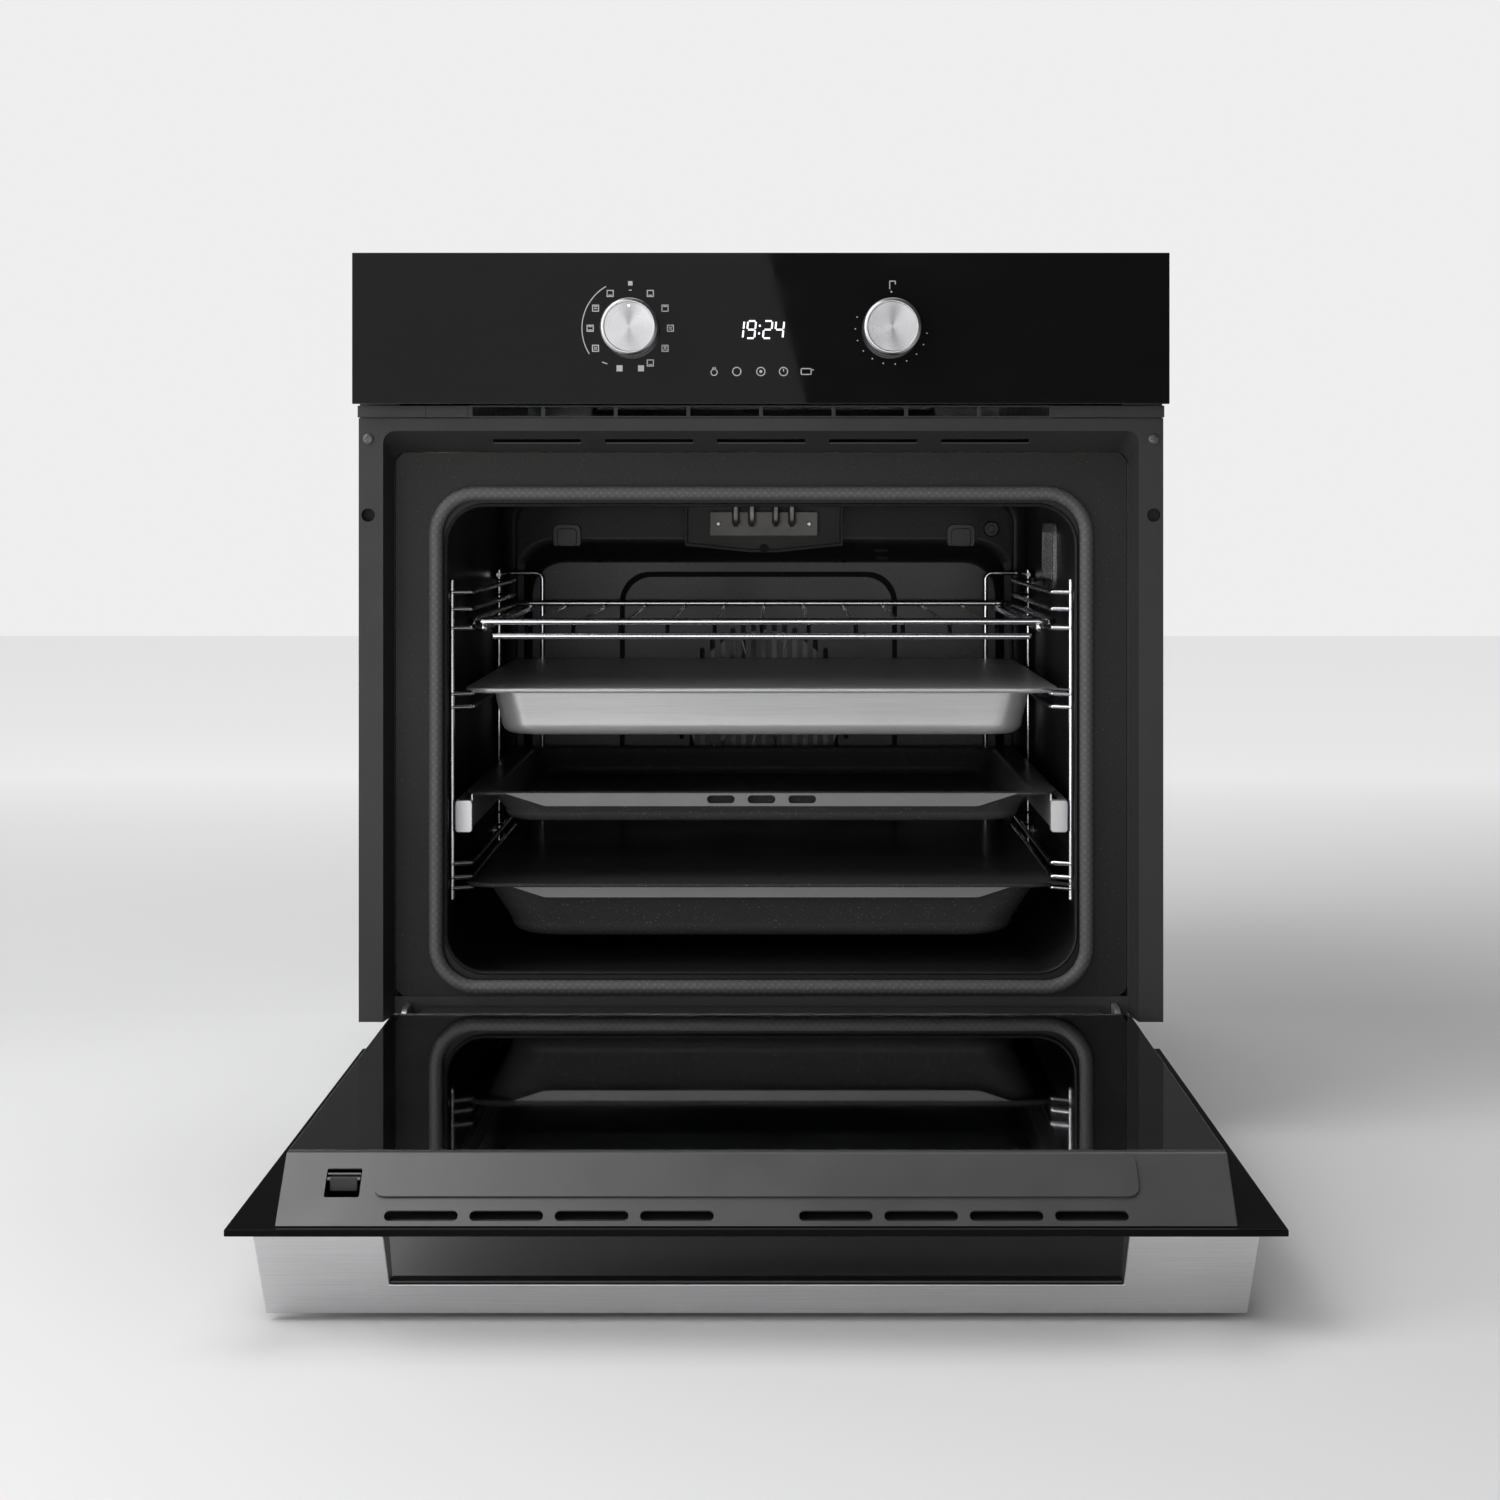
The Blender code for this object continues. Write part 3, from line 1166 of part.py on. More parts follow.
# ---------------------------------------------------------------- fans and motors
def make_convection_fan():
    """The fan behind its cover, with its shaft, and the motor behind the insulation."""
    wheel_back = CAVITY_BACK - FAN_BACK
    wheel_front = COVER_DEPTH + SHEET + FAN_GAP
    shaft_end = MOTOR_FRONT + SHAFT_REACH
    axis = (0, deep(wheel_front), FAN_HEIGHT)
    depth = wheel_back - wheel_front
    disc = depth - FAN_DISC
    profile = [(0, 0), (FAN_HUB, 0), (FAN_HUB, disc), (FAN_RADIUS, disc), (FAN_RADIUS, depth)]
    profile += [(FAN_SHAFT, depth), (FAN_SHAFT, shaft_end - wheel_front), (0, shaft_end - wheel_front)]
    fan = add("convection_fan", aim(turned(profile), (0, 1, 0), axis), "steel", origin=axis, smooth=True)
    blades = []
    for n in range(FAN_BLADES):
        tip = (FAN_RADIUS - FAN_BLADE_TIP, FAN_BLADE_HALF, depth - FAN_BLADE_SINK)
        blade = block((FAN_BLADE_FOOT, -FAN_BLADE_HALF, 0), tip)
        blade.transform(Matrix.Rotation(2 * math.pi * n / FAN_BLADES, 4, "Z"))
        blades.append(aim(blade, (0, 1, 0), axis))
    join(fan, blades)
    motor_axis = (0, deep(MOTOR_FRONT), FAN_HEIGHT)
    bore, length = FAN_SHAFT + RUNNING, FAN_MOTOR_LENGTH
    profile = [(bore, 0), (FAN_MOTOR_NOSE, 0), (FAN_MOTOR_RADIUS, MOTOR_SHOULDER)]
    profile += [(FAN_MOTOR_RADIUS, length), (0, length)]
    profile += [(0, FAN_MOTOR_BORE), (bore, FAN_MOTOR_BORE), (bore, 0)]
    add("fan_motor", aim(turned(profile), (0, 1, 0), motor_axis), "dark_steel", smooth=True)


def make_blower():
    """The cross-flow blower above the cavity, its duct to the grille, and its motor."""
    lip = FRAME_TOP + FIT
    back = BLOWER_DEPTH + DUCT_BACK
    floor, ceiling = DUCT_FLOOR, DUCT_CEILING
    ramp = FRAME_DEPTH + SHEET + DUCT_RAMP
    profile = [
        (VENT_DEPTH + SHEET + FIT, lip),
        (FRAME_DEPTH + SHEET + FIT, lip),
        (ramp, floor + DUCT_STEP),
        (DUCT_KNEE, floor),
        (back, floor),
        (back, ceiling),
        (BLOWER_DEPTH - DUCT_FRONT, ceiling),
        (DUCT_BROW, FASCIA_FOOT + DUCT_BROW_RISE),
        (DUCT_MOUTH, FASCIA_FOOT + DUCT_MOUTH_RISE),
        (VENT_DEPTH + SHEET + FIT, lip + VENT_HEIGHT - 2 * FIT),
    ]
    outline = [(deep(d), z) for d, z in profile]
    duct = add("blower_housing", prism(outline, -DUCT_HALF, DUCT_HALF), "galvanised")
    wall = SHEET
    hollow = [
        (VENT_DEPTH, lip + wall),
        (FRAME_DEPTH + SHEET + FIT, lip + wall),
        (ramp + SHEET, floor + DUCT_STEP + wall),
        (DUCT_KNEE, floor + wall),
        (back - wall, floor + wall),
        (back - wall, ceiling - wall),
        (BLOWER_DEPTH - DUCT_FRONT, ceiling - wall),
        (DUCT_BROW, FASCIA_FOOT + DUCT_BROW_RISE - wall),
        (DUCT_MOUTH, FASCIA_FOOT + DUCT_MOUTH_RISE - wall),
        (VENT_DEPTH, lip + VENT_HEIGHT - 2 * FIT - wall),
    ]
    inside = prism([(deep(d), z) for d, z in hollow], -DUCT_HALF + wall, DUCT_HALF - wall)
    y, z = deep(BLOWER_DEPTH), BLOWER_HEIGHT
    bore = rod((DUCT_HALF - 2 * wall, y, z), (DUCT_HALF + wall, y, z), BLOWER_SHAFT + RUNNING)
    intake_low = (-INTAKE_HALF, y - INTAKE_REACH, ceiling - 2 * wall)
    intake = block(intake_low, (INTAKE_HALF, y + INTAKE_REACH, ceiling + wall))
    cut(duct, [inside, bore, intake])

    start = (-BLOWER_HALF, y, z)
    disc, end = BLOWER_DISC, 2 * BLOWER_HALF
    shaft_end = DUCT_HALF + BLOWER_HALF + BLOWER_REACH
    profile = [(0, 0), (BLOWER_RADIUS, 0), (BLOWER_RADIUS, disc), (BLOWER_SHAFT, disc)]
    profile += [(BLOWER_SHAFT, end - disc), (BLOWER_RADIUS, end - disc), (BLOWER_RADIUS, end)]
    profile += [(BLOWER_SHAFT, end), (BLOWER_SHAFT, shaft_end), (0, shaft_end)]
    spindle = aim(turned(profile), (1, 0, 0), start)
    rotor = add("blower_rotor", spindle, "galvanised", origin=start, smooth=True)
    blades = []
    for n in range(BLOWER_BLADES):
        low = (BLOWER_RADIUS - BLOWER_DISC / 2 - BLOWER_BLADE_DEPTH, -BLOWER_BLADE_HALF, disc / 2)
        blade = block(low, (BLOWER_RADIUS - BLOWER_DISC / 2, BLOWER_BLADE_HALF, end - disc / 2))
        blade.transform(Matrix.Rotation(2 * math.pi * n / BLOWER_BLADES, 4, "Z"))
        blades.append(aim(blade, (1, 0, 0), start))
    join(rotor, blades)
    bore, length = BLOWER_SHAFT + RUNNING, BLOWER_MOTOR_LENGTH
    profile = [(bore, 0), (BLOWER_MOTOR_NOSE, 0), (BLOWER_MOTOR_RADIUS, MOTOR_SHOULDER)]
    profile += [(BLOWER_MOTOR_RADIUS, length), (0, length)]
    profile += [(0, BLOWER_MOTOR_BORE), (bore, BLOWER_MOTOR_BORE), (bore, 0)]
    motor_place = (DUCT_HALF + FIT, y, z)
    add("blower_motor", aim(turned(profile), (1, 0, 0), motor_place), "dark_steel", smooth=True)


# ---------------------------------------------------------------- controls
def make_fascia():
    """The glass fascia on its carrier, with the knobs, switches, display board and mains box."""
    half = FRONT_HALF
    glass = add(
        "fascia_glass",
        block((-half, FRONT_Y, FASCIA_FOOT), (half, deep(FASCIA_GLASS), FRONT_HEIGHT)),
        "black_glass",
    )
    front, back = deep(FASCIA_GLASS) + FIT, deep(RECESS_BACK_DEPTH)
    inset = CARRIER_INSET
    low, high = FASCIA_FOOT + CARRIER_RISE, FRONT_HEIGHT - inset
    wide, wall = half - inset, CARRIER_WALL
    carrier = add("fascia_carrier", block((-wide, front, low), (wide, back, high)), "galvanised")
    hollow = block((-wide + wall, front + wall, low + wall), (wide - wall, back + wall, high - wall))
    window = block(
        (-DISPLAY_WIDTH / 2 - FIT, front - wall, KNOB_Z - DISPLAY_HEIGHT / 2 - FIT),
        (DISPLAY_WIDTH / 2 + FIT, front + 2 * wall, KNOB_Z + DISPLAY_HEIGHT / 2 + FIT),
    )
    bore = SHAFT_RADIUS + RUNNING
    carrier_holes, glass_holes = [hollow, window], []
    for name, side in (("function", -1), ("temperature", 1)):
        x = side * KNOB_PITCH / 2
        centre = (x, FRONT_Y, KNOB_Z)
        glass_holes.append(rod((x, FRONT_Y - wall, KNOB_Z), (x, front, KNOB_Z), bore))
        carrier_holes.append(rod((x, front - wall, KNOB_Z), (x, front + 2 * wall, KNOB_Z), bore))
        switch_front = front + wall + FIT
        switch = add(
            f"{name}_switch",
            block(
                (x - SWITCH_SIZE / 2, switch_front, KNOB_Z - SWITCH_SIZE / 2),
                (x + SWITCH_SIZE / 2, switch_front + SWITCH_LENGTH, KNOB_Z + SWITCH_SIZE / 2),
            ),
            "black_plastic",
        )
        socket_end = switch_front + SWITCH_LENGTH / 2
        cut(switch, [rod((x, switch_front - wall, KNOB_Z), (x, socket_end, KNOB_Z), bore)])
        shaft_end = socket_end - RUNNING - FRONT_Y
        profile = [
            (0, -KNOB_PROUD + KNOB_DISH),
            (KNOB_RADIUS - KNOB_RIM, -KNOB_PROUD),
            (KNOB_RADIUS - KNOB_RIM / 4, -KNOB_PROUD + KNOB_RIM / 2),
            (KNOB_RADIUS, -KNOB_PROUD + 2 * KNOB_RIM),
            (KNOB_RADIUS, -KNOB_FLOAT),
            (SHAFT_RADIUS, -KNOB_FLOAT),
            (SHAFT_RADIUS, shaft_end),
            (0, shaft_end),
        ]
        add(
            f"{name}_knob",
            aim(turned(profile, KNOB_STEPS), (0, 1, 0), centre),
            "aluminium",
            origin=centre,
            smooth=True,
        )
    cut(glass, glass_holes)
    cut(carrier, carrier_holes)
    board_y = deep(BOARD_DEPTH)
    board = add(
        "display_board",
        block(
            (-BOARD_WIDTH / 2, board_y, KNOB_Z - BOARD_HEIGHT / 2),
            (BOARD_WIDTH / 2, board_y + BOARD_THICKNESS, KNOB_Z + BOARD_HEIGHT / 2),
        ),
        "board",
    )
    display = block(
        (-DISPLAY_WIDTH / 2, front + FIT, KNOB_Z - DISPLAY_HEIGHT / 2),
        (DISPLAY_WIDTH / 2, board_y + BOARD_THICKNESS / 2, KNOB_Z + DISPLAY_HEIGHT / 2),
    )
    join(board, [display])
    mains_back = BACK_Y - SHEET - FIT
    half, tall = MAINS_WIDTH / 2 + MAINS_LAP, MAINS_TALL / 2 + MAINS_LAP
    mains = block(
        (MAINS_X - half, mains_back - MAINS_DEPTH, MAINS_HEIGHT - tall),
        (MAINS_X + half, mains_back, MAINS_HEIGHT + tall),
    )
    add("mains_terminal", mains, "black_plastic")


# ---------------------------------------------------------------- door
def door_piece(door, name, mesh, finish, smooth=False):
    """A piece of the door, made in the shut door's place and parented to the hinge line."""
    return add(name, mesh, finish, parent=door, origin=PIVOT, smooth=smooth)


def make_door():
    """The glass door, its profiles, handle and hinge housings, let down to its stop."""
    door = bpy.data.objects.new("door_hinge_line", None)
    bpy.context.collection.objects.link(door)
    door.location = PIVOT
    door.rotation_euler = (math.radians(90), 0, 0)

    half = FRONT_HALF
    outer = block((-half, FRONT_Y, DOOR_FOOT), (half, deep(DOOR_GLASS), DOOR_TOP))
    door_piece(door, "outer_glass", outer, "black_glass")
    middle_half = DOOR_BODY_HALF - MIDDLE_GLASS_SIDE
    middle = block(
        (-middle_half, deep(MIDDLE_GLASS_DEPTH), INNER_GLASS_FOOT + MIDDLE_GLASS_RISE),
        (middle_half, deep(MIDDLE_GLASS_DEPTH + DOOR_GLASS), INNER_GLASS_TOP - MIDDLE_GLASS_DROP),
    )
    door_piece(door, "middle_glass", middle, "clear_glass")
    inner = block(
        (-DOOR_BODY_HALF, deep(DOOR_INNER - DOOR_GLASS), INNER_GLASS_FOOT),
        (DOOR_BODY_HALF, deep(DOOR_INNER), INNER_GLASS_TOP),
    )
    door_piece(door, "inner_glass", inner, "black_glass")
    make_door_profiles(door)
    make_handle(door)
    make_hinges(door)
    return door


def make_door_profiles(door):
    """The slotted top cap with its cover strip and catch, the side profiles and the bottom profile."""
    first = DOOR_GLASS + FIT
    back = DOOR_INNER
    fall = (CAP_TOP - CAP_SHOULDER) / (back - first)
    drop = SHEET * math.hypot(1, fall)
    foot = INNER_GLASS_TOP + FIT

    def slope(depth):
        return CAP_TOP - fall * (depth - first)

    profile = [
        (first, foot + CAP_LEG),
        (first, CAP_TOP),
        (back, CAP_SHOULDER),
        (back, foot),
        (back - SHEET, foot),
        (back - SHEET, slope(back - SHEET) - drop),
        (first + SHEET, slope(first + SHEET) - drop),
        (first + SHEET, foot + CAP_LEG),
    ]
    outline = [(deep(d), z) for d, z in profile]
    cap = door_piece(door, "door_top_profile", prism(outline, -DOOR_BODY_HALF, DOOR_BODY_HALF), "dark_steel")
    holes = []
    for _, side in sides():
        for n in range(DOOR_VENTS):
            x = side * (DOOR_VENT_START + n * DOOR_VENT_PITCH)
            holes.append(slope_block(x, DOOR_VENT_LENGTH, DOOR_VENT_DEPTH, DOOR_VENT_WIDTH, slope, drop))
    holes.append(slope_block(-CATCH_X, CATCH_WIDTH, CATCH_DEPTH, CATCH_LENGTH, slope, drop))
    cut(cap, holes)

    lean = math.atan(fall)
    normal = Vector((0, math.sin(lean), math.cos(lean)))
    along = Vector((0, math.cos(lean), -math.sin(lean)))
    length = (back - STRIP_DEPTH - STRIP_END) / math.cos(lean)
    outline = rounded(DOOR_BODY_HALF - STRIP_SIDE, 0, length, STRIP_CORNER, 3)
    strip = prism(outline, FIT * 2, FIT * 2 + STRIP_GAUGE, "z")
    frame = Matrix.Identity(4)
    for row in range(3):
        frame[row][0] = (1, 0, 0)[row]
        frame[row][1] = along[row]
        frame[row][2] = normal[row]
        frame[row][3] = (0, deep(STRIP_DEPTH), slope(STRIP_DEPTH))[row]
    strip.transform(frame)
    door_piece(door, "door_cover_strip", strip, "dark_steel")

    catch_y = CATCH_DEPTH - CATCH_FORWARD
    catch_z, catch_half = slope(catch_y), CATCH_WIDTH / 2 - CATCH_EDGE
    catch = block(
        (-CATCH_X - catch_half, deep(catch_y) - CATCH_HALF, catch_z - CATCH_SINK[0]),
        (-CATCH_X + catch_half, deep(catch_y) + CATCH_HALF, catch_z - CATCH_SINK[1]),
    )
    door_piece(door, "door_catch", catch, "black_plastic")

    profile_back = DOOR_INNER - DOOR_GLASS - FIT
    for name, side in sides():
        near, far, gauge = DOOR_BODY_HALF - PROFILE_WIDTH, DOOR_BODY_HALF, SHEET
        low, high = INNER_GLASS_FOOT - PROFILE_RISE, INNER_GLASS_TOP - FIT
        a, b = deep(first), deep(profile_back)
        points = [(near, a), (far, a), (far, b), (near, b), (near, b - gauge)]
        points += [(far - gauge, b - gauge), (far - gauge, a + gauge), (near, a + gauge)]
        outline = [(side * x, y) for x, y in points]
        door_piece(door, f"{name}_door_profile", prism(outline, low, high, "z"), "dark_steel")
    low, rear = DOOR_BODY_FOOT, DOOR_INNER - FIT
    high = INNER_GLASS_FOOT - FIT
    points = [(first, high), (first, low), (rear, low), (rear, high), (rear - SHEET, high)]
    points += [(rear - SHEET, low + SHEET), (first + SHEET, low + SHEET), (first + SHEET, high)]
    outline = [(deep(d), z) for d, z in points]
    half = DOOR_BODY_HALF - BOTTOM_PROFILE_SIDE
    door_piece(door, "door_bottom_profile", prism(outline, -half, half), "dark_steel")


def slope_block(x, length, depth, width, slope, drop):
    """A cutter through the door's sloping cap, centred at a depth."""
    return block(
        (x - length / 2, deep(depth - width / 2), slope(depth + width / 2) - 2 * drop),
        (x + length / 2, deep(depth + width / 2), slope(depth - width / 2) + drop),
    )


def make_handle(door):
    """The full-width bar handle, with a finger gap between its two end blocks."""
    nose = HANDLE_TOP - HANDLE_FALL
    points = [
        (-FIT, HANDLE_TOP),
        (-HANDLE_PROUD, nose),
        (-HANDLE_PROUD + HANDLE_NOSE_BACK, nose - HANDLE_NOSE),
        (-FIT, HANDLE_TOP - HANDLE_THICKNESS),
    ]
    outline = [(deep(d), z) for d, z in points]
    handle = door_piece(door, "handle", prism(outline, -HANDLE_HALF, HANDLE_HALF), "steel")
    bar_back = HANDLE_BAR - HANDLE_PROUD
    gap = block(
        (-HANDLE_GAP_HALF, deep(bar_back), nose - HANDLE_THICKNESS),
        (HANDLE_GAP_HALF, deep(FASCIA_GLASS), HANDLE_TOP + SHEET),
    )
    cut(handle, [gap])
    top = HANDLE_TOP - HANDLE_FALL * -bar_back / HANDLE_PROUD
    strip = block(
        (-HANDLE_GAP_HALF + FIT, deep(bar_back) + FIT, top - HANDLE_STRIP_FOOT),
        (HANDLE_GAP_HALF - FIT, deep(bar_back) + FIT + HANDLE_STRIP, top - HANDLE_STRIP_HEAD),
    )
    door_piece(door, "handle_strip", strip, "black_plastic")


def make_hinges(door):
    """On each side: the arm hooked into the frame, the housing and pin in the door, the spring rod."""
    for name, side in sides():
        x = side * HINGE_X
        half = ARM_THICKNESS / 2
        points = []
        for n in range(ARM_STEPS + 1):
            turn = math.radians(90 + 180 * n / ARM_STEPS)
            reach, rise = ARM_RADIUS * math.cos(turn), ARM_RADIUS * math.sin(turn)
            points.append((PIVOT_DEPTH + reach, PIVOT_HEIGHT + rise))
        tail = PIVOT_DEPTH + ARM_TAIL
        points += [(tail, PIVOT_HEIGHT - ARM_RADIUS), (tail, PIVOT_HEIGHT + ARM_RADIUS)]
        outline = [(deep(d), z) for d, z in points]
        arm = add(f"{name}_hinge_arm", prism(outline, x - half, x + half), "steel")
        eye = rod((x - 2 * half, PIVOT.y, PIVOT.z), (x + 2 * half, PIVOT.y, PIVOT.z), PIN_RADIUS + FIT)
        cut(arm, [eye])
        wide = HOUSING_HALF
        housing = door_piece(
            door,
            f"{name}_hinge_housing",
            block((x - wide, deep(HOUSING_FRONT), HOUSING_FOOT), (x + wide, deep(HOUSING_BACK), HOUSING_TOP)),
            "galvanised",
        )
        hollow = block(
            (x - wide + SHEET, deep(HOUSING_FRONT) + SHEET, HOUSING_FOOT - SHEET),
            (x + wide - SHEET, deep(HOUSING_BACK) + SHEET, HOUSING_TOP - SHEET),
        )
        cut(housing, [hollow])
        pin_half = wide - SHEET / 2
        pin = rod((x - pin_half, PIVOT.y, PIVOT.z), (x + pin_half, PIVOT.y, PIVOT.z), PIN_RADIUS)
        join(housing, [pin])
        spring = turned(
            [
                (0, 0),
                (ROD_RADIUS, 0),
                (ROD_RADIUS, SPRING_FOOT),
                (ROD_RADIUS + SPRING_THICKNESS, SPRING_FOOT),
                (ROD_RADIUS + SPRING_THICKNESS, ROD_TOP - ROD_FOOT),
                (0, ROD_TOP - ROD_FOOT),
            ],
            ROD_STEPS,
        )
        aim(spring, (0, 0, 1), (x, deep(ROD_DEPTH), ROD_FOOT))
        door_piece(door, f"{name}_spring_rod", spring, "steel", smooth=True)


# ---------------------------------------------------------------- assembly
def main():
    """Build the whole oven."""
    remove_everything()
    make_materials()
    make_casing()
    make_front_frame()
    make_vent_grille()
    make_cavity()
    make_seal()
    make_insulation()
    make_fan_cover()
    make_elements()
    make_terminal_bracket()
    make_lamp()
    make_racks()
    make_rails()
    make_trays()
    make_wire_shelf()
    make_convection_fan()
    make_blower()
    make_fascia()
    make_door()


main()
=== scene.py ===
"""Looks of a built-in wall oven with a drop-down glass door.

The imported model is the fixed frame: every piece takes its place from a node of it, in metres, with +Z up
and the oven's front towards -Y. Door pieces are shaped as they lie on the open door.
"""

import json
import logging
import math
from dataclasses import dataclass
from enum import Enum

import bmesh
import bpy
from mathutils import Matrix, Vector

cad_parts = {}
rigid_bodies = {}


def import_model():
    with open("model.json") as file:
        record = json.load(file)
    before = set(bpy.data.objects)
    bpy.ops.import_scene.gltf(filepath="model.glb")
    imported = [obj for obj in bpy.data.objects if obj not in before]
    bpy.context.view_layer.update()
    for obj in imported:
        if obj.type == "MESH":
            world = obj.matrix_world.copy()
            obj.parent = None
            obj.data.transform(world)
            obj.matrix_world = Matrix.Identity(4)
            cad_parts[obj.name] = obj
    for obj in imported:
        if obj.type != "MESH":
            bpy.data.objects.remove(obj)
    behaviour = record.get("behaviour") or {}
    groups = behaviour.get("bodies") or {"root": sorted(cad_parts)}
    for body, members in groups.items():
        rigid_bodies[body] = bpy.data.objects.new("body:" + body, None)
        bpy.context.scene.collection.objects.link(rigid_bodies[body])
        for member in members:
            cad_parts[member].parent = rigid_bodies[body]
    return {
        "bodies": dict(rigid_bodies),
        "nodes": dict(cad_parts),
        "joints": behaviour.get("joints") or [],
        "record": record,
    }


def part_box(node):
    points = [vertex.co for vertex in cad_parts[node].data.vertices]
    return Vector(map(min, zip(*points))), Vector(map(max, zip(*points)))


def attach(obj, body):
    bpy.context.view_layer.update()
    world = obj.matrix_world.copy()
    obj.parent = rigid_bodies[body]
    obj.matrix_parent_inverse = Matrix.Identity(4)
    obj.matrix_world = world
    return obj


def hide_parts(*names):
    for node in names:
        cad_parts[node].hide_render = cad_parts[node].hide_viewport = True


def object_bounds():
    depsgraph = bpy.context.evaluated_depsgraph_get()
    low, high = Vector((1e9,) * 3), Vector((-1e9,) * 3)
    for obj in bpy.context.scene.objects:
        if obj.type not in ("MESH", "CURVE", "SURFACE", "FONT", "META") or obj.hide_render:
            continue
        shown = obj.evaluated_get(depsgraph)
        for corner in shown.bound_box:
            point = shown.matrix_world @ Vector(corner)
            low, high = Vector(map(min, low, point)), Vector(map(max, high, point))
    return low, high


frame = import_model()
CAD_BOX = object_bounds()
LOG = logging.getLogger("wall_oven")


# ---------------------------------------------------------------- names
class Body(Enum):
    """The rigid bodies of the oven."""

    OVEN = "oven"
    DOOR = "door"
    LEFT_SPRING = "left_spring"
    RIGHT_SPRING = "right_spring"
    FUNCTION_KNOB = "function_knob"
    TEMPERATURE_KNOB = "temperature_knob"
    FAN = "convection_fan"
    BLOWER = "blower_rotor"
    SHELF = "wire_shelf"
    STEEL_TRAY = "steel_tray"
    MIDDLE_RAILS = "middle_rails"
    RUNNERS = "runners"
    DEEP_TRAY = "deep_tray"


class Slot(Enum):
    """The record's material slots."""

    GALVANISED = "galvanised_steel"
    PAINTED = "dark_painted_steel"
    ENAMEL = "black_enamel"
    BLACK_GLASS = "black_glass"
    CLEAR_GLASS = "clear_glass"
    SEAL = "seal_rubber"
    WOOL = "mineral_wool"
    ELEMENT = "element_steel"
    CERAMIC = "ceramic"
    CHROME = "chrome_wire"
    RAIL = "rail_steel"
    STEEL = "brushed_steel"
    KNOB = "knob_aluminium"
    PLASTIC = "black_plastic"
    BOARD = "circuit_board"


class Axis(Enum):
    """A direction of the frame."""

    X = (1.0, 0.0, 0.0)
    Y = (0.0, 1.0, 0.0)
    Z = (0.0, 0.0, 1.0)


# ---------------------------------------------------------------- places
@dataclass(frozen=True)
class Room:
    """The box that one node of the frame takes up.

    Args:
        low: its lowest corner.
        high: its highest corner.
    """

    low: Vector
    high: Vector

    @classmethod
    def of(cls, node: str) -> "Room":
        """Return the room of the named node."""
        return cls(*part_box(node))

    @property
    def centre(self) -> Vector:
        """The middle of the box."""
        return (self.low + self.high) / 2

    @property
    def size(self) -> Vector:
        """The box's three lengths."""
        return self.high - self.low


FRONT_Y = Room.of("fascia_glass").low.y
HINGE = next(Vector(joint["pos_m"]) for joint in frame["joints"] if joint["name"] == "door_hinge")


def deep(depth: float) -> float:
    """Return the world y of a plane this far behind the fascia's front face."""
    return FRONT_Y + depth


def laid(x: float, depth: float, height: float) -> Vector:
    """Return where a point of the shut door lies when the door is open.

    Args:
        x: distance from the middle plane.
        depth: distance behind the fascia's front face, with the door shut.
        height: height above the base, with the door shut.

    Returns:
        The point on the open door.
    """
    return Vector((x, HINGE.y - (height - HINGE.z), HINGE.z + (deep(depth) - HINGE.y)))


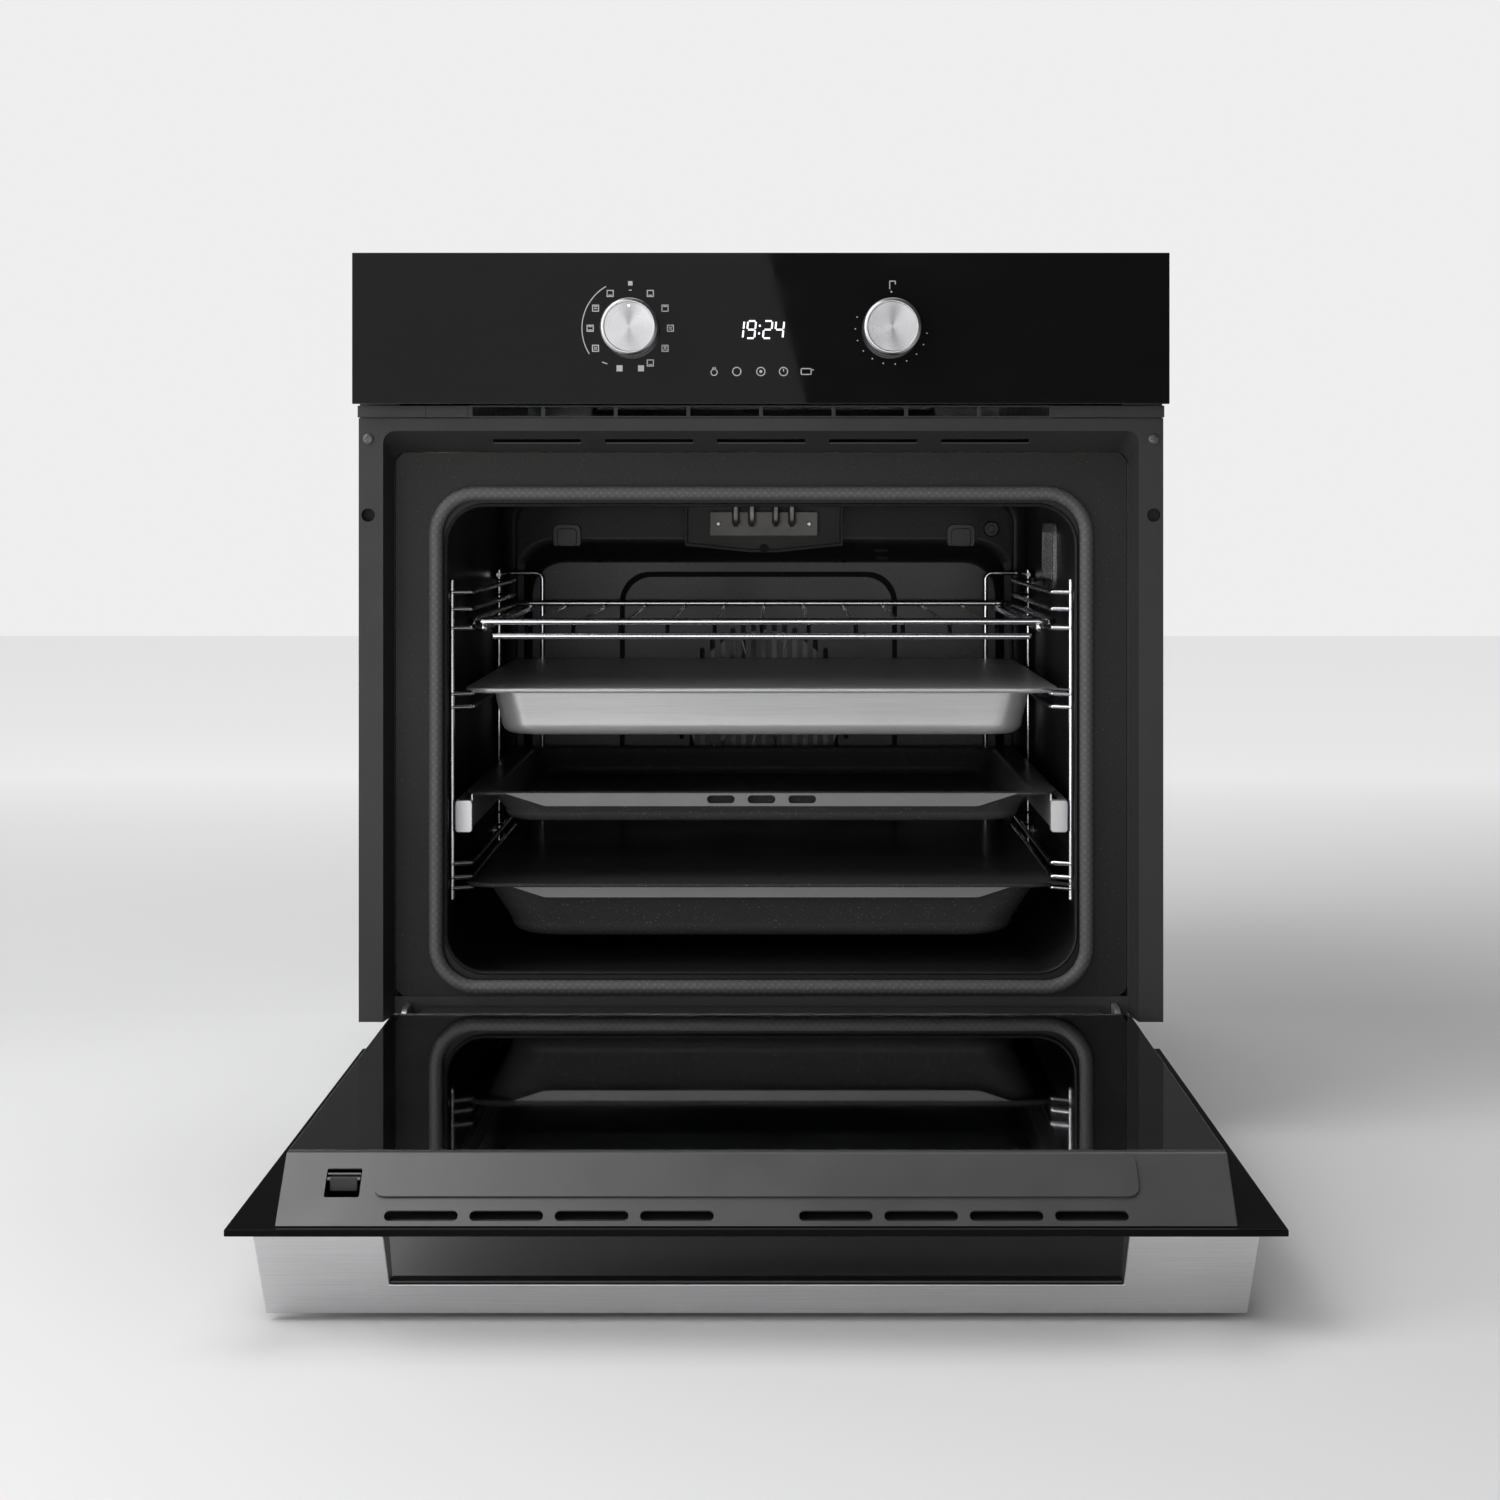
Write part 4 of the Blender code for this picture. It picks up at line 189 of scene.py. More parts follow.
# ---------------------------------------------------------------- node graphs
class Graph:
    """The node tree of one material, with short calls for the nodes used here."""

    def __init__(self, name: str) -> None:
        """Start a material.

        Args:
            name: the material's name.
        """
        self.material = bpy.data.materials.new(name)
        self.material.use_nodes = True
        self.tree = self.material.node_tree
        self.shader = self.tree.nodes["Principled BSDF"]
        self.coordinates = self.node("ShaderNodeTexCoord")

    def node(self, kind: str, **settings: object) -> bpy.types.Node:
        """Add a node.

        Args:
            kind: Blender's name of the node type.
            **settings: properties to set on it.

        Returns:
            The node.
        """
        made = self.tree.nodes.new(kind)
        for key, value in settings.items():
            setattr(made, key, value)
        return made

    def link(self, source: bpy.types.NodeSocket, target: bpy.types.NodeSocket) -> None:
        """Join an output to an input."""
        self.tree.links.new(source, target)

    def mapped(self, stretch: tuple, shift: tuple = (0.0, 0.0, 0.0)) -> bpy.types.NodeSocket:
        """Return object coordinates, moved and stretched.

        Args:
            stretch: factor along each axis.
            shift: what is added after stretching.
        """
        mapping = self.node("ShaderNodeMapping")
        mapping.inputs["Scale"].default_value = stretch
        mapping.inputs["Location"].default_value = shift
        self.link(self.coordinates.outputs["Object"], mapping.inputs["Vector"])
        return mapping.outputs["Vector"]

    def noise(
        self, scale: float, detail: float = 3.0, stretch: tuple = (1.0, 1.0, 1.0)
    ) -> bpy.types.NodeSocket:
        """Return a noise value.

        Args:
            scale: how many features fit in a metre.
            detail: number of finer layers.
            stretch: factor along each axis.
        """
        texture = self.node("ShaderNodeTexNoise")
        texture.inputs["Scale"].default_value = scale
        texture.inputs["Detail"].default_value = detail
        self.link(self.mapped(stretch), texture.inputs["Vector"])
        return texture.outputs["Fac"]

    def spread(
        self, value: bpy.types.NodeSocket, low: float, high: float, start: float = 0.3, end: float = 0.7
    ) -> bpy.types.NodeSocket:
        """Return a value mapped from start..end to low..high."""
        node = self.node("ShaderNodeMapRange")
        node.inputs["From Min"].default_value = start
        node.inputs["From Max"].default_value = end
        node.inputs["To Min"].default_value = low
        node.inputs["To Max"].default_value = high
        self.link(value, node.inputs["Value"])
        return node.outputs["Result"]

    def blend(self, share: bpy.types.NodeSocket, first: tuple, second: tuple) -> bpy.types.NodeSocket:
        """Return a colour between two, by a share."""
        mix = self.node("ShaderNodeMix", data_type="RGBA")
        colours = [socket for socket in mix.inputs if socket.type == "RGBA"]
        colours[0].default_value = (*first, 1.0)
        colours[1].default_value = (*second, 1.0)
        self.link(share, mix.inputs["Factor"])
        return next(socket for socket in mix.outputs if socket.type == "RGBA")

    def bump(self, height: bpy.types.NodeSocket, depth: float, strength: float = 1.0) -> None:
        """Raise the surface by a height value.

        Args:
            height: value from 0 to 1.
            depth: how high 1 is, in metres.
            strength: how far the shading follows it.
        """
        node = self.node("ShaderNodeBump")
        node.inputs["Distance"].default_value = depth
        node.inputs["Strength"].default_value = strength
        self.link(height, node.inputs["Height"])
        previous = self.shader.inputs["Normal"].links
        if previous:
            self.link(previous[0].from_socket, node.inputs["Normal"])
        self.link(node.outputs["Normal"], self.shader.inputs["Normal"])

    def set(self, **values: float) -> None:
        """Set the shader's plain sockets, named with underscores for spaces."""
        for key, value in values.items():
            self.shader.inputs[key.replace("_", " ")].default_value = value


def shade(colour: tuple, factor: float) -> tuple:
    """Return a colour made lighter or darker by a factor."""
    return tuple(min(1.0, channel * factor) for channel in colour)


# ---------------------------------------------------------------- finishes
@dataclass(frozen=True)
class Finish:
    """A surface finish, which makes its material once.

    Args:
        name: the material's name.
        slot: the record's slot that it belongs to; not used.
        colour: mean colour.
        rough: lowest and highest roughness.
        metal: metallic share.
        mottle: how far the colour varies either way, as a share.
        patch: features of the colour variation in a metre.
        grain: features of the fine relief in a metre.
        relief: height of the fine relief, in metres.
        sheen: level of the mirror-like reflection.
    """

    name: str
    slot: Slot
    colour: tuple
    rough: tuple = (0.3, 0.4)
    metal: float = 0.0
    mottle: float = 0.06
    patch: float = 9.0
    grain: float = 900.0
    relief: float = 0.00002
    sheen: float = 0.5

    def material(self) -> bpy.types.Material:
        """Return the finish's material, made on first use."""
        known = bpy.data.materials.get(self.name)
        if known:
            return known
        graph = Graph(self.name)
        graph.set(Metallic=self.metal, Specular_IOR_Level=self.sheen)
        graph.material.diffuse_color = (*self.colour, 1.0)
        self.dress(graph)
        return graph.material

    def dress(self, graph: Graph) -> None:
        """Add the colour, roughness and relief nodes.

        Args:
            graph: the material's node tree.
        """
        broad = graph.noise(self.patch, 4.0)
        dark, light = shade(self.colour, 1 - self.mottle), shade(self.colour, 1 + self.mottle)
        graph.link(graph.blend(graph.spread(broad, 0.0, 1.0), dark, light), graph.shader.inputs["Base Color"])
        fine = graph.noise(self.grain, 2.0)
        smear = graph.noise(self.patch * 3, 3.0)
        graph.link(graph.spread(smear, *self.rough), graph.shader.inputs["Roughness"])
        graph.bump(fine, self.relief)


@dataclass(frozen=True)
class Brushed(Finish):
    """Metal brushed along one axis.

    Args:
        along: direction of the brush lines.
        streak: brush lines in a metre.
    """

    along: Axis = Axis.X
    streak: float = 1500.0

    def dress(self, graph: Graph) -> None:
        """Add long streaks to the colour, roughness and relief."""
        stretch = tuple(0.012 if part else 1.0 for part in self.along.value)
        lines = graph.noise(self.streak, 2.0, stretch)
        broad = graph.noise(self.patch, 2.0)
        dark, light = shade(self.colour, 1 - self.mottle), shade(self.colour, 1 + self.mottle)
        graph.link(graph.blend(graph.spread(lines, 0.0, 1.0), dark, light), graph.shader.inputs["Base Color"])
        graph.link(graph.spread(broad, *self.rough), graph.shader.inputs["Roughness"])
        graph.bump(lines, self.relief)


@dataclass(frozen=True)
class Turned(Finish):
    """Metal turned on a lathe, with fine rings round a y axis.

    Args:
        centre: x and z of the axis.
        rings: rings in a metre.
    """

    centre: tuple = (0.0, 0.0)
    rings: float = 1600.0

    def dress(self, graph: Graph) -> None:
        """Add rings to the relief, and a finish that stretches highlights across them."""
        shift = (-self.centre[0], 0.0, -self.centre[1])
        place = graph.mapped((1.0, 0.0, 1.0), shift)
        length = graph.node("ShaderNodeVectorMath", operation="LENGTH")
        graph.link(place, length.inputs[0])
        rings = graph.node("ShaderNodeTexNoise", noise_dimensions="1D")
        rings.inputs["Scale"].default_value = self.rings
        rings.inputs["Detail"].default_value = 1.0
        graph.link(length.outputs["Value"], rings.inputs["W"])
        dark, light = shade(self.colour, 1 - self.mottle), shade(self.colour, 1 + self.mottle)
        graph.link(
            graph.blend(graph.spread(rings.outputs["Fac"], 0.0, 1.0), dark, light),
            graph.shader.inputs["Base Color"]
        )
        graph.link(graph.spread(graph.noise(self.patch, 2.0), *self.rough), graph.shader.inputs["Roughness"])
        graph.set(Anisotropic=0.8)
        round_axis = graph.node("ShaderNodeVectorMath", operation="CROSS_PRODUCT")
        graph.link(place, round_axis.inputs[0])
        round_axis.inputs[1].default_value = Axis.Y.value
        graph.link(round_axis.outputs["Vector"], graph.shader.inputs["Tangent"])
        graph.bump(rings.outputs["Fac"], self.relief * 0.15)


@dataclass(frozen=True)
class Galvanised(Finish):
    """Zinc-coated sheet with crystal spangle.

    Args:
        spangle: crystals in a metre.
    """

    spangle: float = 90.0

    def dress(self, graph: Graph) -> None:
        """Add a crystal pattern to the colour and roughness."""
        crystals = graph.node("ShaderNodeTexVoronoi", feature="F1")
        crystals.inputs["Scale"].default_value = self.spangle
        graph.link(graph.mapped((1.0, 1.0, 1.0)), crystals.inputs["Vector"])
        tone = graph.node("ShaderNodeSeparateColor")
        graph.link(crystals.outputs["Color"], tone.inputs["Color"])
        dark, light = shade(self.colour, 1 - self.mottle), shade(self.colour, 1 + self.mottle)
        graph.link(graph.blend(tone.outputs["Red"], dark, light), graph.shader.inputs["Base Color"])
        graph.link(
            graph.spread(tone.outputs["Green"], *self.rough, 0.0, 1.0), graph.shader.inputs["Roughness"]
        )
        graph.bump(graph.noise(self.grain, 2.0), self.relief)


@dataclass(frozen=True)
class Enamel(Finish):
    """Fired enamel: a smooth gloss with a slight ripple and sparse pale specks.

    Args:
        specks: specks in a metre.
    """

    specks: float = 700.0

    def dress(self, graph: Graph) -> None:
        """Add specks to the colour and a ripple to the relief."""
        speck = graph.spread(graph.noise(self.specks, 1.0), 0.0, 1.0, 0.66, 0.74)
        pale = shade(self.colour, 3.2)
        graph.link(graph.blend(speck, self.colour, pale), graph.shader.inputs["Base Color"])
        graph.link(graph.spread(graph.noise(self.patch, 4.0), *self.rough), graph.shader.inputs["Roughness"])
        graph.bump(graph.noise(self.grain, 2.0), self.relief)
        graph.set(Coat_Weight=0.06, Coat_Roughness=0.12)


@dataclass(frozen=True)
class Glass(Finish):
    """Float glass, clear or printed black behind.

    Args:
        clear: share of light that goes through.
        coat: weight of the polished top surface.
    """

    clear: float = 0.0
    coat: float = 0.0

    def dress(self, graph: Graph) -> None:
        """Add faint wipe marks to a polished surface."""
        marks = graph.noise(14.0, 5.0, (1.0, 1.0, 3.0))
        graph.link(graph.spread(marks, *self.rough), graph.shader.inputs["Roughness"])
        dark, light = shade(self.colour, 1 - self.mottle), shade(self.colour, 1 + self.mottle)
        graph.link(graph.blend(graph.spread(marks, 0.0, 1.0), dark, light), graph.shader.inputs["Base Color"])
        graph.set(IOR=1.5, Transmission_Weight=self.clear, Coat_Weight=self.coat, Coat_Roughness=0.02)
        graph.bump(graph.noise(3.0, 1.0), self.relief)


@dataclass(frozen=True)
class Braid(Finish):
    """A woven heat-proof sleeve.

    Args:
        strands: strands in a metre.
    """

    strands: float = 650.0

    def dress(self, graph: Graph) -> None:
        """Add crossing strands to the colour and relief."""
        heights = []
        for lean in ((1.0, 0.4, 1.0), (1.0, 0.4, -1.0)):
            wave = graph.node("ShaderNodeTexWave", wave_type="BANDS", bands_direction="DIAGONAL")
            wave.inputs["Scale"].default_value = self.strands / 6
            wave.inputs["Distortion"].default_value = 0.4
            graph.link(graph.mapped(lean), wave.inputs["Vector"])
            heights.append(wave.outputs["Fac"])
        crossing = graph.node("ShaderNodeMath", operation="MULTIPLY")
        graph.link(heights[0], crossing.inputs[0])
        graph.link(heights[1], crossing.inputs[1])
        dark, light = shade(self.colour, 1 - self.mottle), shade(self.colour, 1 + self.mottle)
        graph.link(graph.blend(crossing.outputs["Value"], dark, light), graph.shader.inputs["Base Color"])
        graph.link(graph.spread(graph.noise(self.patch, 3.0), *self.rough), graph.shader.inputs["Roughness"])
        graph.bump(crossing.outputs["Value"], self.relief)


@dataclass(frozen=True)
class Glow(Finish):
    """Printed marks, which get a weak painted glow as print is no lamp, and lit segments.

    Args:
        light: strength of the light it gives off.
    """

    light: float = 0.0

    def dress(self, graph: Graph) -> None:
        """Add a slightly uneven print or glow."""
        super().dress(graph)
        if self.light:
            graph.set(Emission_Strength=self.light)
            graph.shader.inputs["Emission Color"].default_value = (*self.colour, 1.0)


COLUMN_PAINT = Finish(
    "column_paint", Slot.PAINTED, (0.036, 0.036, 0.037), (0.40, 0.50), 0.0, grain=2200.0, sheen=0.25
)
DARK_PAINT = Finish(
    "dark_paint", Slot.PAINTED, (0.030, 0.030, 0.031), (0.38, 0.5), 0.0, grain=1600.0, sheen=0.25
)
PROFILE_PAINT = Finish(
    "profile_paint", Slot.PAINTED, (0.12, 0.12, 0.122), (0.34, 0.42), 0.6, 0.04, grain=2500.0
)
ZINC = Galvanised("zinc_sheet", Slot.GALVANISED, (0.50, 0.51, 0.52), (0.32, 0.5), 0.9, 0.14)
CAVITY_ENAMEL = Enamel(
    "cavity_enamel", Slot.ENAMEL, (0.022, 0.022, 0.0225), (0.26, 0.38), 0.0, grain=260.0, relief=0.00006,
    sheen=0.3
)
FACE_ENAMEL = Enamel(
    "face_enamel", Slot.ENAMEL, (0.020, 0.020, 0.0205), (0.36, 0.48), 0.0, grain=420.0, relief=0.00005,
    sheen=0.12
)
TRAY_ENAMEL = Enamel(
    "tray_enamel", Slot.ENAMEL, (0.060, 0.060, 0.061), (0.32, 0.44), 0.0, grain=300.0, relief=0.00005,
    sheen=0.35
)
FASCIA_BLACK = Glass("fascia_black", Slot.BLACK_GLASS, (0.004, 0.004, 0.0045), (0.02, 0.05), relief=0.00001)
DOOR_BLACK = Glass(
    "door_black", Slot.BLACK_GLASS, (0.003, 0.003, 0.0033), (0.03, 0.07), relief=0.00001, sheen=0.06
)
INNER_CLEAR = Glass(
    "inner_clear", Slot.BLACK_GLASS, (0.52, 0.53, 0.54), (0.01, 0.04), clear=1.0, coat=0.6, relief=0.00001
)
MIDDLE_CLEAR = Glass(
    "middle_clear", Slot.CLEAR_GLASS, (0.75, 0.78, 0.78), (0.01, 0.03), clear=1.0, relief=0.00001
)
LAMP_CLEAR = Glass("lamp_clear", Slot.CLEAR_GLASS, (0.85, 0.86, 0.86), (0.05, 0.12), clear=0.9, relief=0.0003)
# A lighter copy of the trays' black enamel for their front flanges: painted light where the flange catches
# light.
FLANGE_ENAMEL_PAINTED_LIGHT = Finish(
    "flange_enamel_painted_light", Slot.ENAMEL, (0.17, 0.17, 0.172), (0.30, 0.40), 0.2, 0.04, grain=300.0
)
PRINT_BLACK = Finish("black_print", Slot.BLACK_GLASS, (0.004, 0.004, 0.004), (0.3, 0.4))
SEAL_BRAID = Braid("seal_braid", Slot.SEAL, (0.105, 0.105, 0.107), (0.5, 0.65), 0.2, 0.18, relief=0.00015)
WOOL = Finish("rock_wool", Slot.WOOL, (0.50, 0.45, 0.30), (0.9, 1.0), 0.0, 0.3, 40.0, 500.0, 0.0012)
TUBE_STEEL = Finish("tube_steel", Slot.ELEMENT, (0.20, 0.19, 0.18), (0.35, 0.5), 0.8, 0.18, 30.0)
CERAMIC = Finish(
    "fired_ceramic", Slot.CERAMIC, (0.30, 0.295, 0.28), (0.5, 0.65), 0.0, 0.08, 60.0, 1500.0, 0.00005
)
CHROME = Finish(
    "bright_chrome", Slot.CHROME, (0.72, 0.72, 0.74), (0.10, 0.2), 1.0, 0.05, 20.0, 300.0, 0.00001
)
RAIL_STEEL = Brushed("rail_steel", Slot.RAIL, (0.60, 0.60, 0.61), (0.22, 0.32), 1.0, 0.1, along=Axis.Y)
WHEEL_STEEL = Brushed("wheel_steel", Slot.RAIL, (0.16, 0.16, 0.163), (0.35, 0.45), 0.8, 0.1, along=Axis.Z)
TRAY_STEEL = Brushed("tray_steel", Slot.STEEL, (0.80, 0.80, 0.81), (0.32, 0.40), 0.6, 0.05, along=Axis.X)
HANDLE_STEEL = Brushed("handle_steel", Slot.STEEL, (0.66, 0.66, 0.67), (0.28, 0.36), 1.0, 0.06, along=Axis.X)
PLASTIC = Finish(
    "moulded_black", Slot.PLASTIC, (0.018, 0.018, 0.018), (0.4, 0.55), 0.0, 0.1, 30.0, 1500.0, 0.00004
)
BOARD = Finish("solder_mask", Slot.BOARD, (0.01, 0.09, 0.04), (0.3, 0.45), 0.0, 0.3, 180.0, 800.0, 0.00005)
# Grey print with a weak painted glow: the marks give off light though they are no lamp.
GREY_PRINT_PAINTED_GLOW = Glow("grey_print_painted_glow", Slot.BLACK_GLASS, (0.42, 0.42, 0.43), (0.4, 0.5), light=0.12)
DIGIT_LIGHT = Glow("digit_light", Slot.BLACK_GLASS, (0.92, 0.92, 0.95), (0.4, 0.5), light=1.0)
# Near-black for the band's seams, which are real dark joints, and painted shade for the dark insides of
# slots, holes and sockets.
SEAM_BLACK_AND_PAINTED_SHADE = Finish("seam_black_and_painted_shade", Slot.PAINTED, (0.008, 0.008, 0.008), (0.6, 0.8), 0.0, 0.2)


# ---------------------------------------------------------------- forms
CORNER_STEPS = 12  # facets in a rounded corner
MERGE = 0.00001  # points closer than this are one
SHARP = math.radians(35)  # edges that turn more than this stay sharp


def rounded(
    half: float, low: float, high: float, radius: float, centre: float = 0.0, steps: int = CORNER_STEPS
) -> list:
    """Return a rectangle with rounded corners as points that run anticlockwise.

    Args:
        half: half its width.
        low: its lower edge.
        high: its upper edge.
        radius: radius of its corners.
        centre: middle of its width.
        steps: facets in a corner.
    """
    right, left = centre + half - radius, centre - half + radius
    corners = (
        (right, low + radius, -90), (right, high - radius, 0), (left, high - radius, 90),
        (left, low + radius, 180)
    )
    points = []
    for x, z, start in corners:
        for n in range(steps + 1):
            turn = math.radians(start + 90 * n / steps)
            points.append((x + radius * math.cos(turn), z + radius * math.sin(turn)))
    return points


def eased(share: float) -> float:
    """Return a share from 0 to 1 with a soft start and a soft end.

    Args:
        share: share of the way, 0 to 1.

    Returns:
        The eased share.
    """
    return share * share * (3 - 2 * share)


def upright(points: list, depth: float) -> list:
    """Return (x, z) points stood up at a depth behind the fascia's front face."""
    return [Vector((x, deep(depth), z)) for x, z in points]


def flat(points: list, height: float) -> list:
    """Return (x, depth) points laid flat at a height."""
    return [Vector((x, deep(depth), height)) for x, depth in points]


def bends(points: list, radius: float, steps: int = 6) -> list:
    """Return a path with each inner corner rounded to an arc."""
    points = [Vector(p) for p in points]
    path = [points[0]]
    for before, corner, after in zip(points, points[1:], points[2:]):
        back, on = (before - corner).normalized(), (after - corner).normalized()
        half = back.angle(on) / 2
        reach = radius / math.tan(half)
        centre = corner + (back + on).normalized() * radius / math.sin(half)
        first = (corner + back * reach - centre).normalized()
        last = (corner + on * reach - centre).normalized()
        for n in range(steps + 1):
            path.append(centre + first.slerp(last, n / steps) * radius)
    path.append(points[-1])
    return path


class Form:
    """A shape being made: a bmesh with the operators that the oven's pieces use."""

    def __init__(self) -> None:
        """Start an empty form."""
        self.bm = bmesh.new()

    @classmethod
    def of_node(cls, node: str) -> "Form":
        """Return a merged copy of a node's shape, with its flat faces made whole."""
        form = cls()
        form.bm.from_mesh(frame["nodes"][node].data)
        bmesh.ops.remove_doubles(form.bm, verts=form.bm.verts, dist=MERGE)
        bmesh.ops.dissolve_limit(
            form.bm, angle_limit=math.radians(0.5), verts=form.bm.verts, edges=form.bm.edges
        )
        return form

    def ring(self, points: list) -> list:
        """Add a closed loop of edges through the points and return the edges."""
        verts = [self.bm.verts.new(p) for p in points]
        return [self.bm.edges.new(pair) for pair in zip(verts, verts[1:] + verts[:1])]

    def block(self, low: tuple, high: tuple) -> "Form":
        """Add a box between two corners."""
        low, high = Vector(low), Vector(high)
        made = bmesh.ops.create_cube(self.bm, size=1.0)
        bmesh.ops.scale(self.bm, vec=high - low, verts=made["verts"])
        bmesh.ops.translate(self.bm, vec=(low + high) / 2, verts=made["verts"])
        return self

    def prism(self, points: list, sweep: tuple) -> "Form":
        """Add a flat outline extruded along a vector."""
        face = self.bm.faces.new([self.bm.verts.new(p) for p in points])
        grown = bmesh.ops.extrude_face_region(self.bm, geom=[face])
        moved = [v for v in grown["geom"] if isinstance(v, bmesh.types.BMVert)]
        bmesh.ops.translate(self.bm, vec=Vector(sweep), verts=moved)
        return self

    def loft(self, loops: list, closed: bool = False, capped: bool = True) -> "Form":
        """Bridge loops of points to one another.

        Args:
            loops: the loops, in order.
            closed: whether the last loop joins the first.
            capped: whether the last loop is filled in.
        """
        rings = [self.ring(points) for points in loops]
        following = rings[1:] + rings[:1] if closed else rings[1:]
        for one, other in zip(rings, following):
            bmesh.ops.bridge_loops(self.bm, edges=one + other)
        if capped and not closed:
            self.bm.faces.new([edge.verts[0] for edge in rings[-1]])
        return self

    def turn(self, profile: list, place: tuple, direction: tuple, steps: int = 64) -> "Form":
        """Add a (radius, height) profile turned about an axis.

        Args:
            profile: points from the axis to the axis.
            place: where height 0 lies.
            direction: way that the height runs.
            steps: facets round the axis.
        """
        verts = [self.bm.verts.new((radius, 0, height)) for radius, height in profile]
        edges = [self.bm.edges.new(pair) for pair in zip(verts, verts[1:])]
        made = bmesh.ops.spin(
            self.bm, geom=verts + edges, cent=(
                0, 0, 0
            ), axis=(0, 0, 1), angle=2 * math.pi, steps=steps, use_merge=True
        )
        known = set(verts)
        known.update(v for v in made["geom_last"] if isinstance(v, bmesh.types.BMVert))
        queue = list(known)
        while queue:
            for edge in queue.pop().link_edges:
                for vert in edge.verts:
                    if vert not in known:
                        known.add(vert)
                        queue.append(vert)
        aim = Vector((0, 0, 1)).rotation_difference(Vector(direction)).to_matrix().to_4x4()
        bmesh.ops.transform(self.bm, matrix=Matrix.Translation(Vector(place)) @ aim, verts=list(known))
        return self

    def tube(self, path: list, radius: float, sides: int = 12, closed: bool = False) -> "Form":
        """Add a round wire along a path.

        Args:
            path: points along the wire's middle.
            radius: the wire's radius.
            sides: facets round the wire.
            closed: whether the wire's end joins its start.
        """
        path = [Vector(p) for p in path]
        count = len(path)
        rings, side = [], None
        for n, point in enumerate(path):
            before = path[n - 1] if n or closed else point
            after = path[(n + 1) % count] if n + 1 < count or closed else point
            along = (after - before).normalized()
            if side is None:
                side = along.orthogonal().normalized()
            side = (side - along * side.dot(along)).normalized()
            other = along.cross(side)
            angles = [2 * math.pi * k / sides for k in range(sides)]
            rings.append([point + (side * math.cos(a) + other * math.sin(a)) * radius for a in angles])
        loops = [[self.bm.verts.new(p) for p in ring] for ring in rings]
        pairs = list(zip(loops, loops[1:])) + ([(loops[-1], loops[0])] if closed else [])
        for one, two in pairs:
            offset = 0
            if one is loops[-1] and closed:
                offset = min(range(sides), key=lambda k: (one[0].co - two[k].co).length)
            for k in range(sides):
                a, b = one[k], one[(k + 1) % sides]
                c, d = two[(k + 1 + offset) % sides], two[(k + offset) % sides]
                self.bm.faces.new((a, b, c, d))
        if not closed:
            self.bm.faces.new(loops[0][::-1])
            self.bm.faces.new(loops[-1])
        return self

    def ball(self, place: tuple, radius: float) -> "Form":
        """Add a small ball."""
        spot = Matrix.Translation(Vector(place))
        bmesh.ops.create_uvsphere(self.bm, u_segments=20, v_segments=12, radius=radius, matrix=spot)
        return self

    def ease(self, width: float, segments: int = 2, angle: float = 35.0) -> "Form":
        """Round the edges that turn more than an angle, in degrees."""
        limit = math.radians(angle)
        edges = [e for e in self.bm.edges if len(e.link_faces) == 2 and e.calc_face_angle(0.0) > limit]
        bmesh.ops.bevel(
            self.bm,
            geom=edges,
            offset=width,
            offset_type="OFFSET",
            affect="EDGES",
            segments=segments,
            profile=0.5,
            material=-1,
            clamp_overlap=True,
        )
        return self

    def outward(self) -> "Form":
        """Merge the form's doubles and point its faces out."""
        bmesh.ops.remove_doubles(self.bm, verts=self.bm.verts, dist=MERGE)
        bmesh.ops.recalc_face_normals(self.bm, faces=self.bm.faces)
        return self

    def filled(self) -> "Form":
        """Close the openings that are left, and point the faces out."""
        rims = [edge for edge in self.bm.edges if edge.is_boundary]
        bmesh.ops.contextual_create(self.bm, geom=rims)
        return self.outward()

    def walled(self, gauge: float, outward: tuple) -> "Form":
        """Give an open sheet its gauge.

        Args:
            gauge: thickness of the sheet, on the side that its faces look to.
            outward: way that its last face looks.
        """
        bmesh.ops.remove_doubles(self.bm, verts=self.bm.verts, dist=MERGE)
        bmesh.ops.recalc_face_normals(self.bm, faces=self.bm.faces)
        self.bm.faces.ensure_lookup_table()
        if self.bm.faces[-1].normal.dot(Vector(outward)) < 0:
            bmesh.ops.reverse_faces(self.bm, faces=self.bm.faces)
        bmesh.ops.solidify(self.bm, geom=self.bm.faces[:], thickness=-gauge)
        return self

    def mesh(self, name: str) -> bpy.types.Mesh:
        """Return the form as a mesh and end it."""
        mesh = bpy.data.meshes.new(name)
        self.bm.to_mesh(mesh)
        self.bm.free()
        return mesh

    def carved(self, *cutters: "Form") -> "Form":
        """Cut closed forms away from this one.

        Args:
            *cutters: the forms to cut away, which end here.

        Returns:
            The form that is left.
        """
        body = bpy.data.objects.new("carved", self.outward().mesh("carved"))
        bpy.context.collection.objects.link(body)
        tools = []
        for cutter in cutters:
            tool = bpy.data.objects.new("cutter", cutter.outward().mesh("cutter"))
            bpy.context.collection.objects.link(tool)
            step = body.modifiers.new("cut", "BOOLEAN")
            step.operation = "DIFFERENCE"
            step.solver = "EXACT"
            step.object = tool
            tools.append(tool)
        depsgraph = bpy.context.evaluated_depsgraph_get()
        left = Form()
        left.bm.from_mesh(bpy.data.meshes.new_from_object(body.evaluated_get(depsgraph)))
        for item in tools + [body]:
            bpy.data.objects.remove(item, do_unlink=True)
        return left

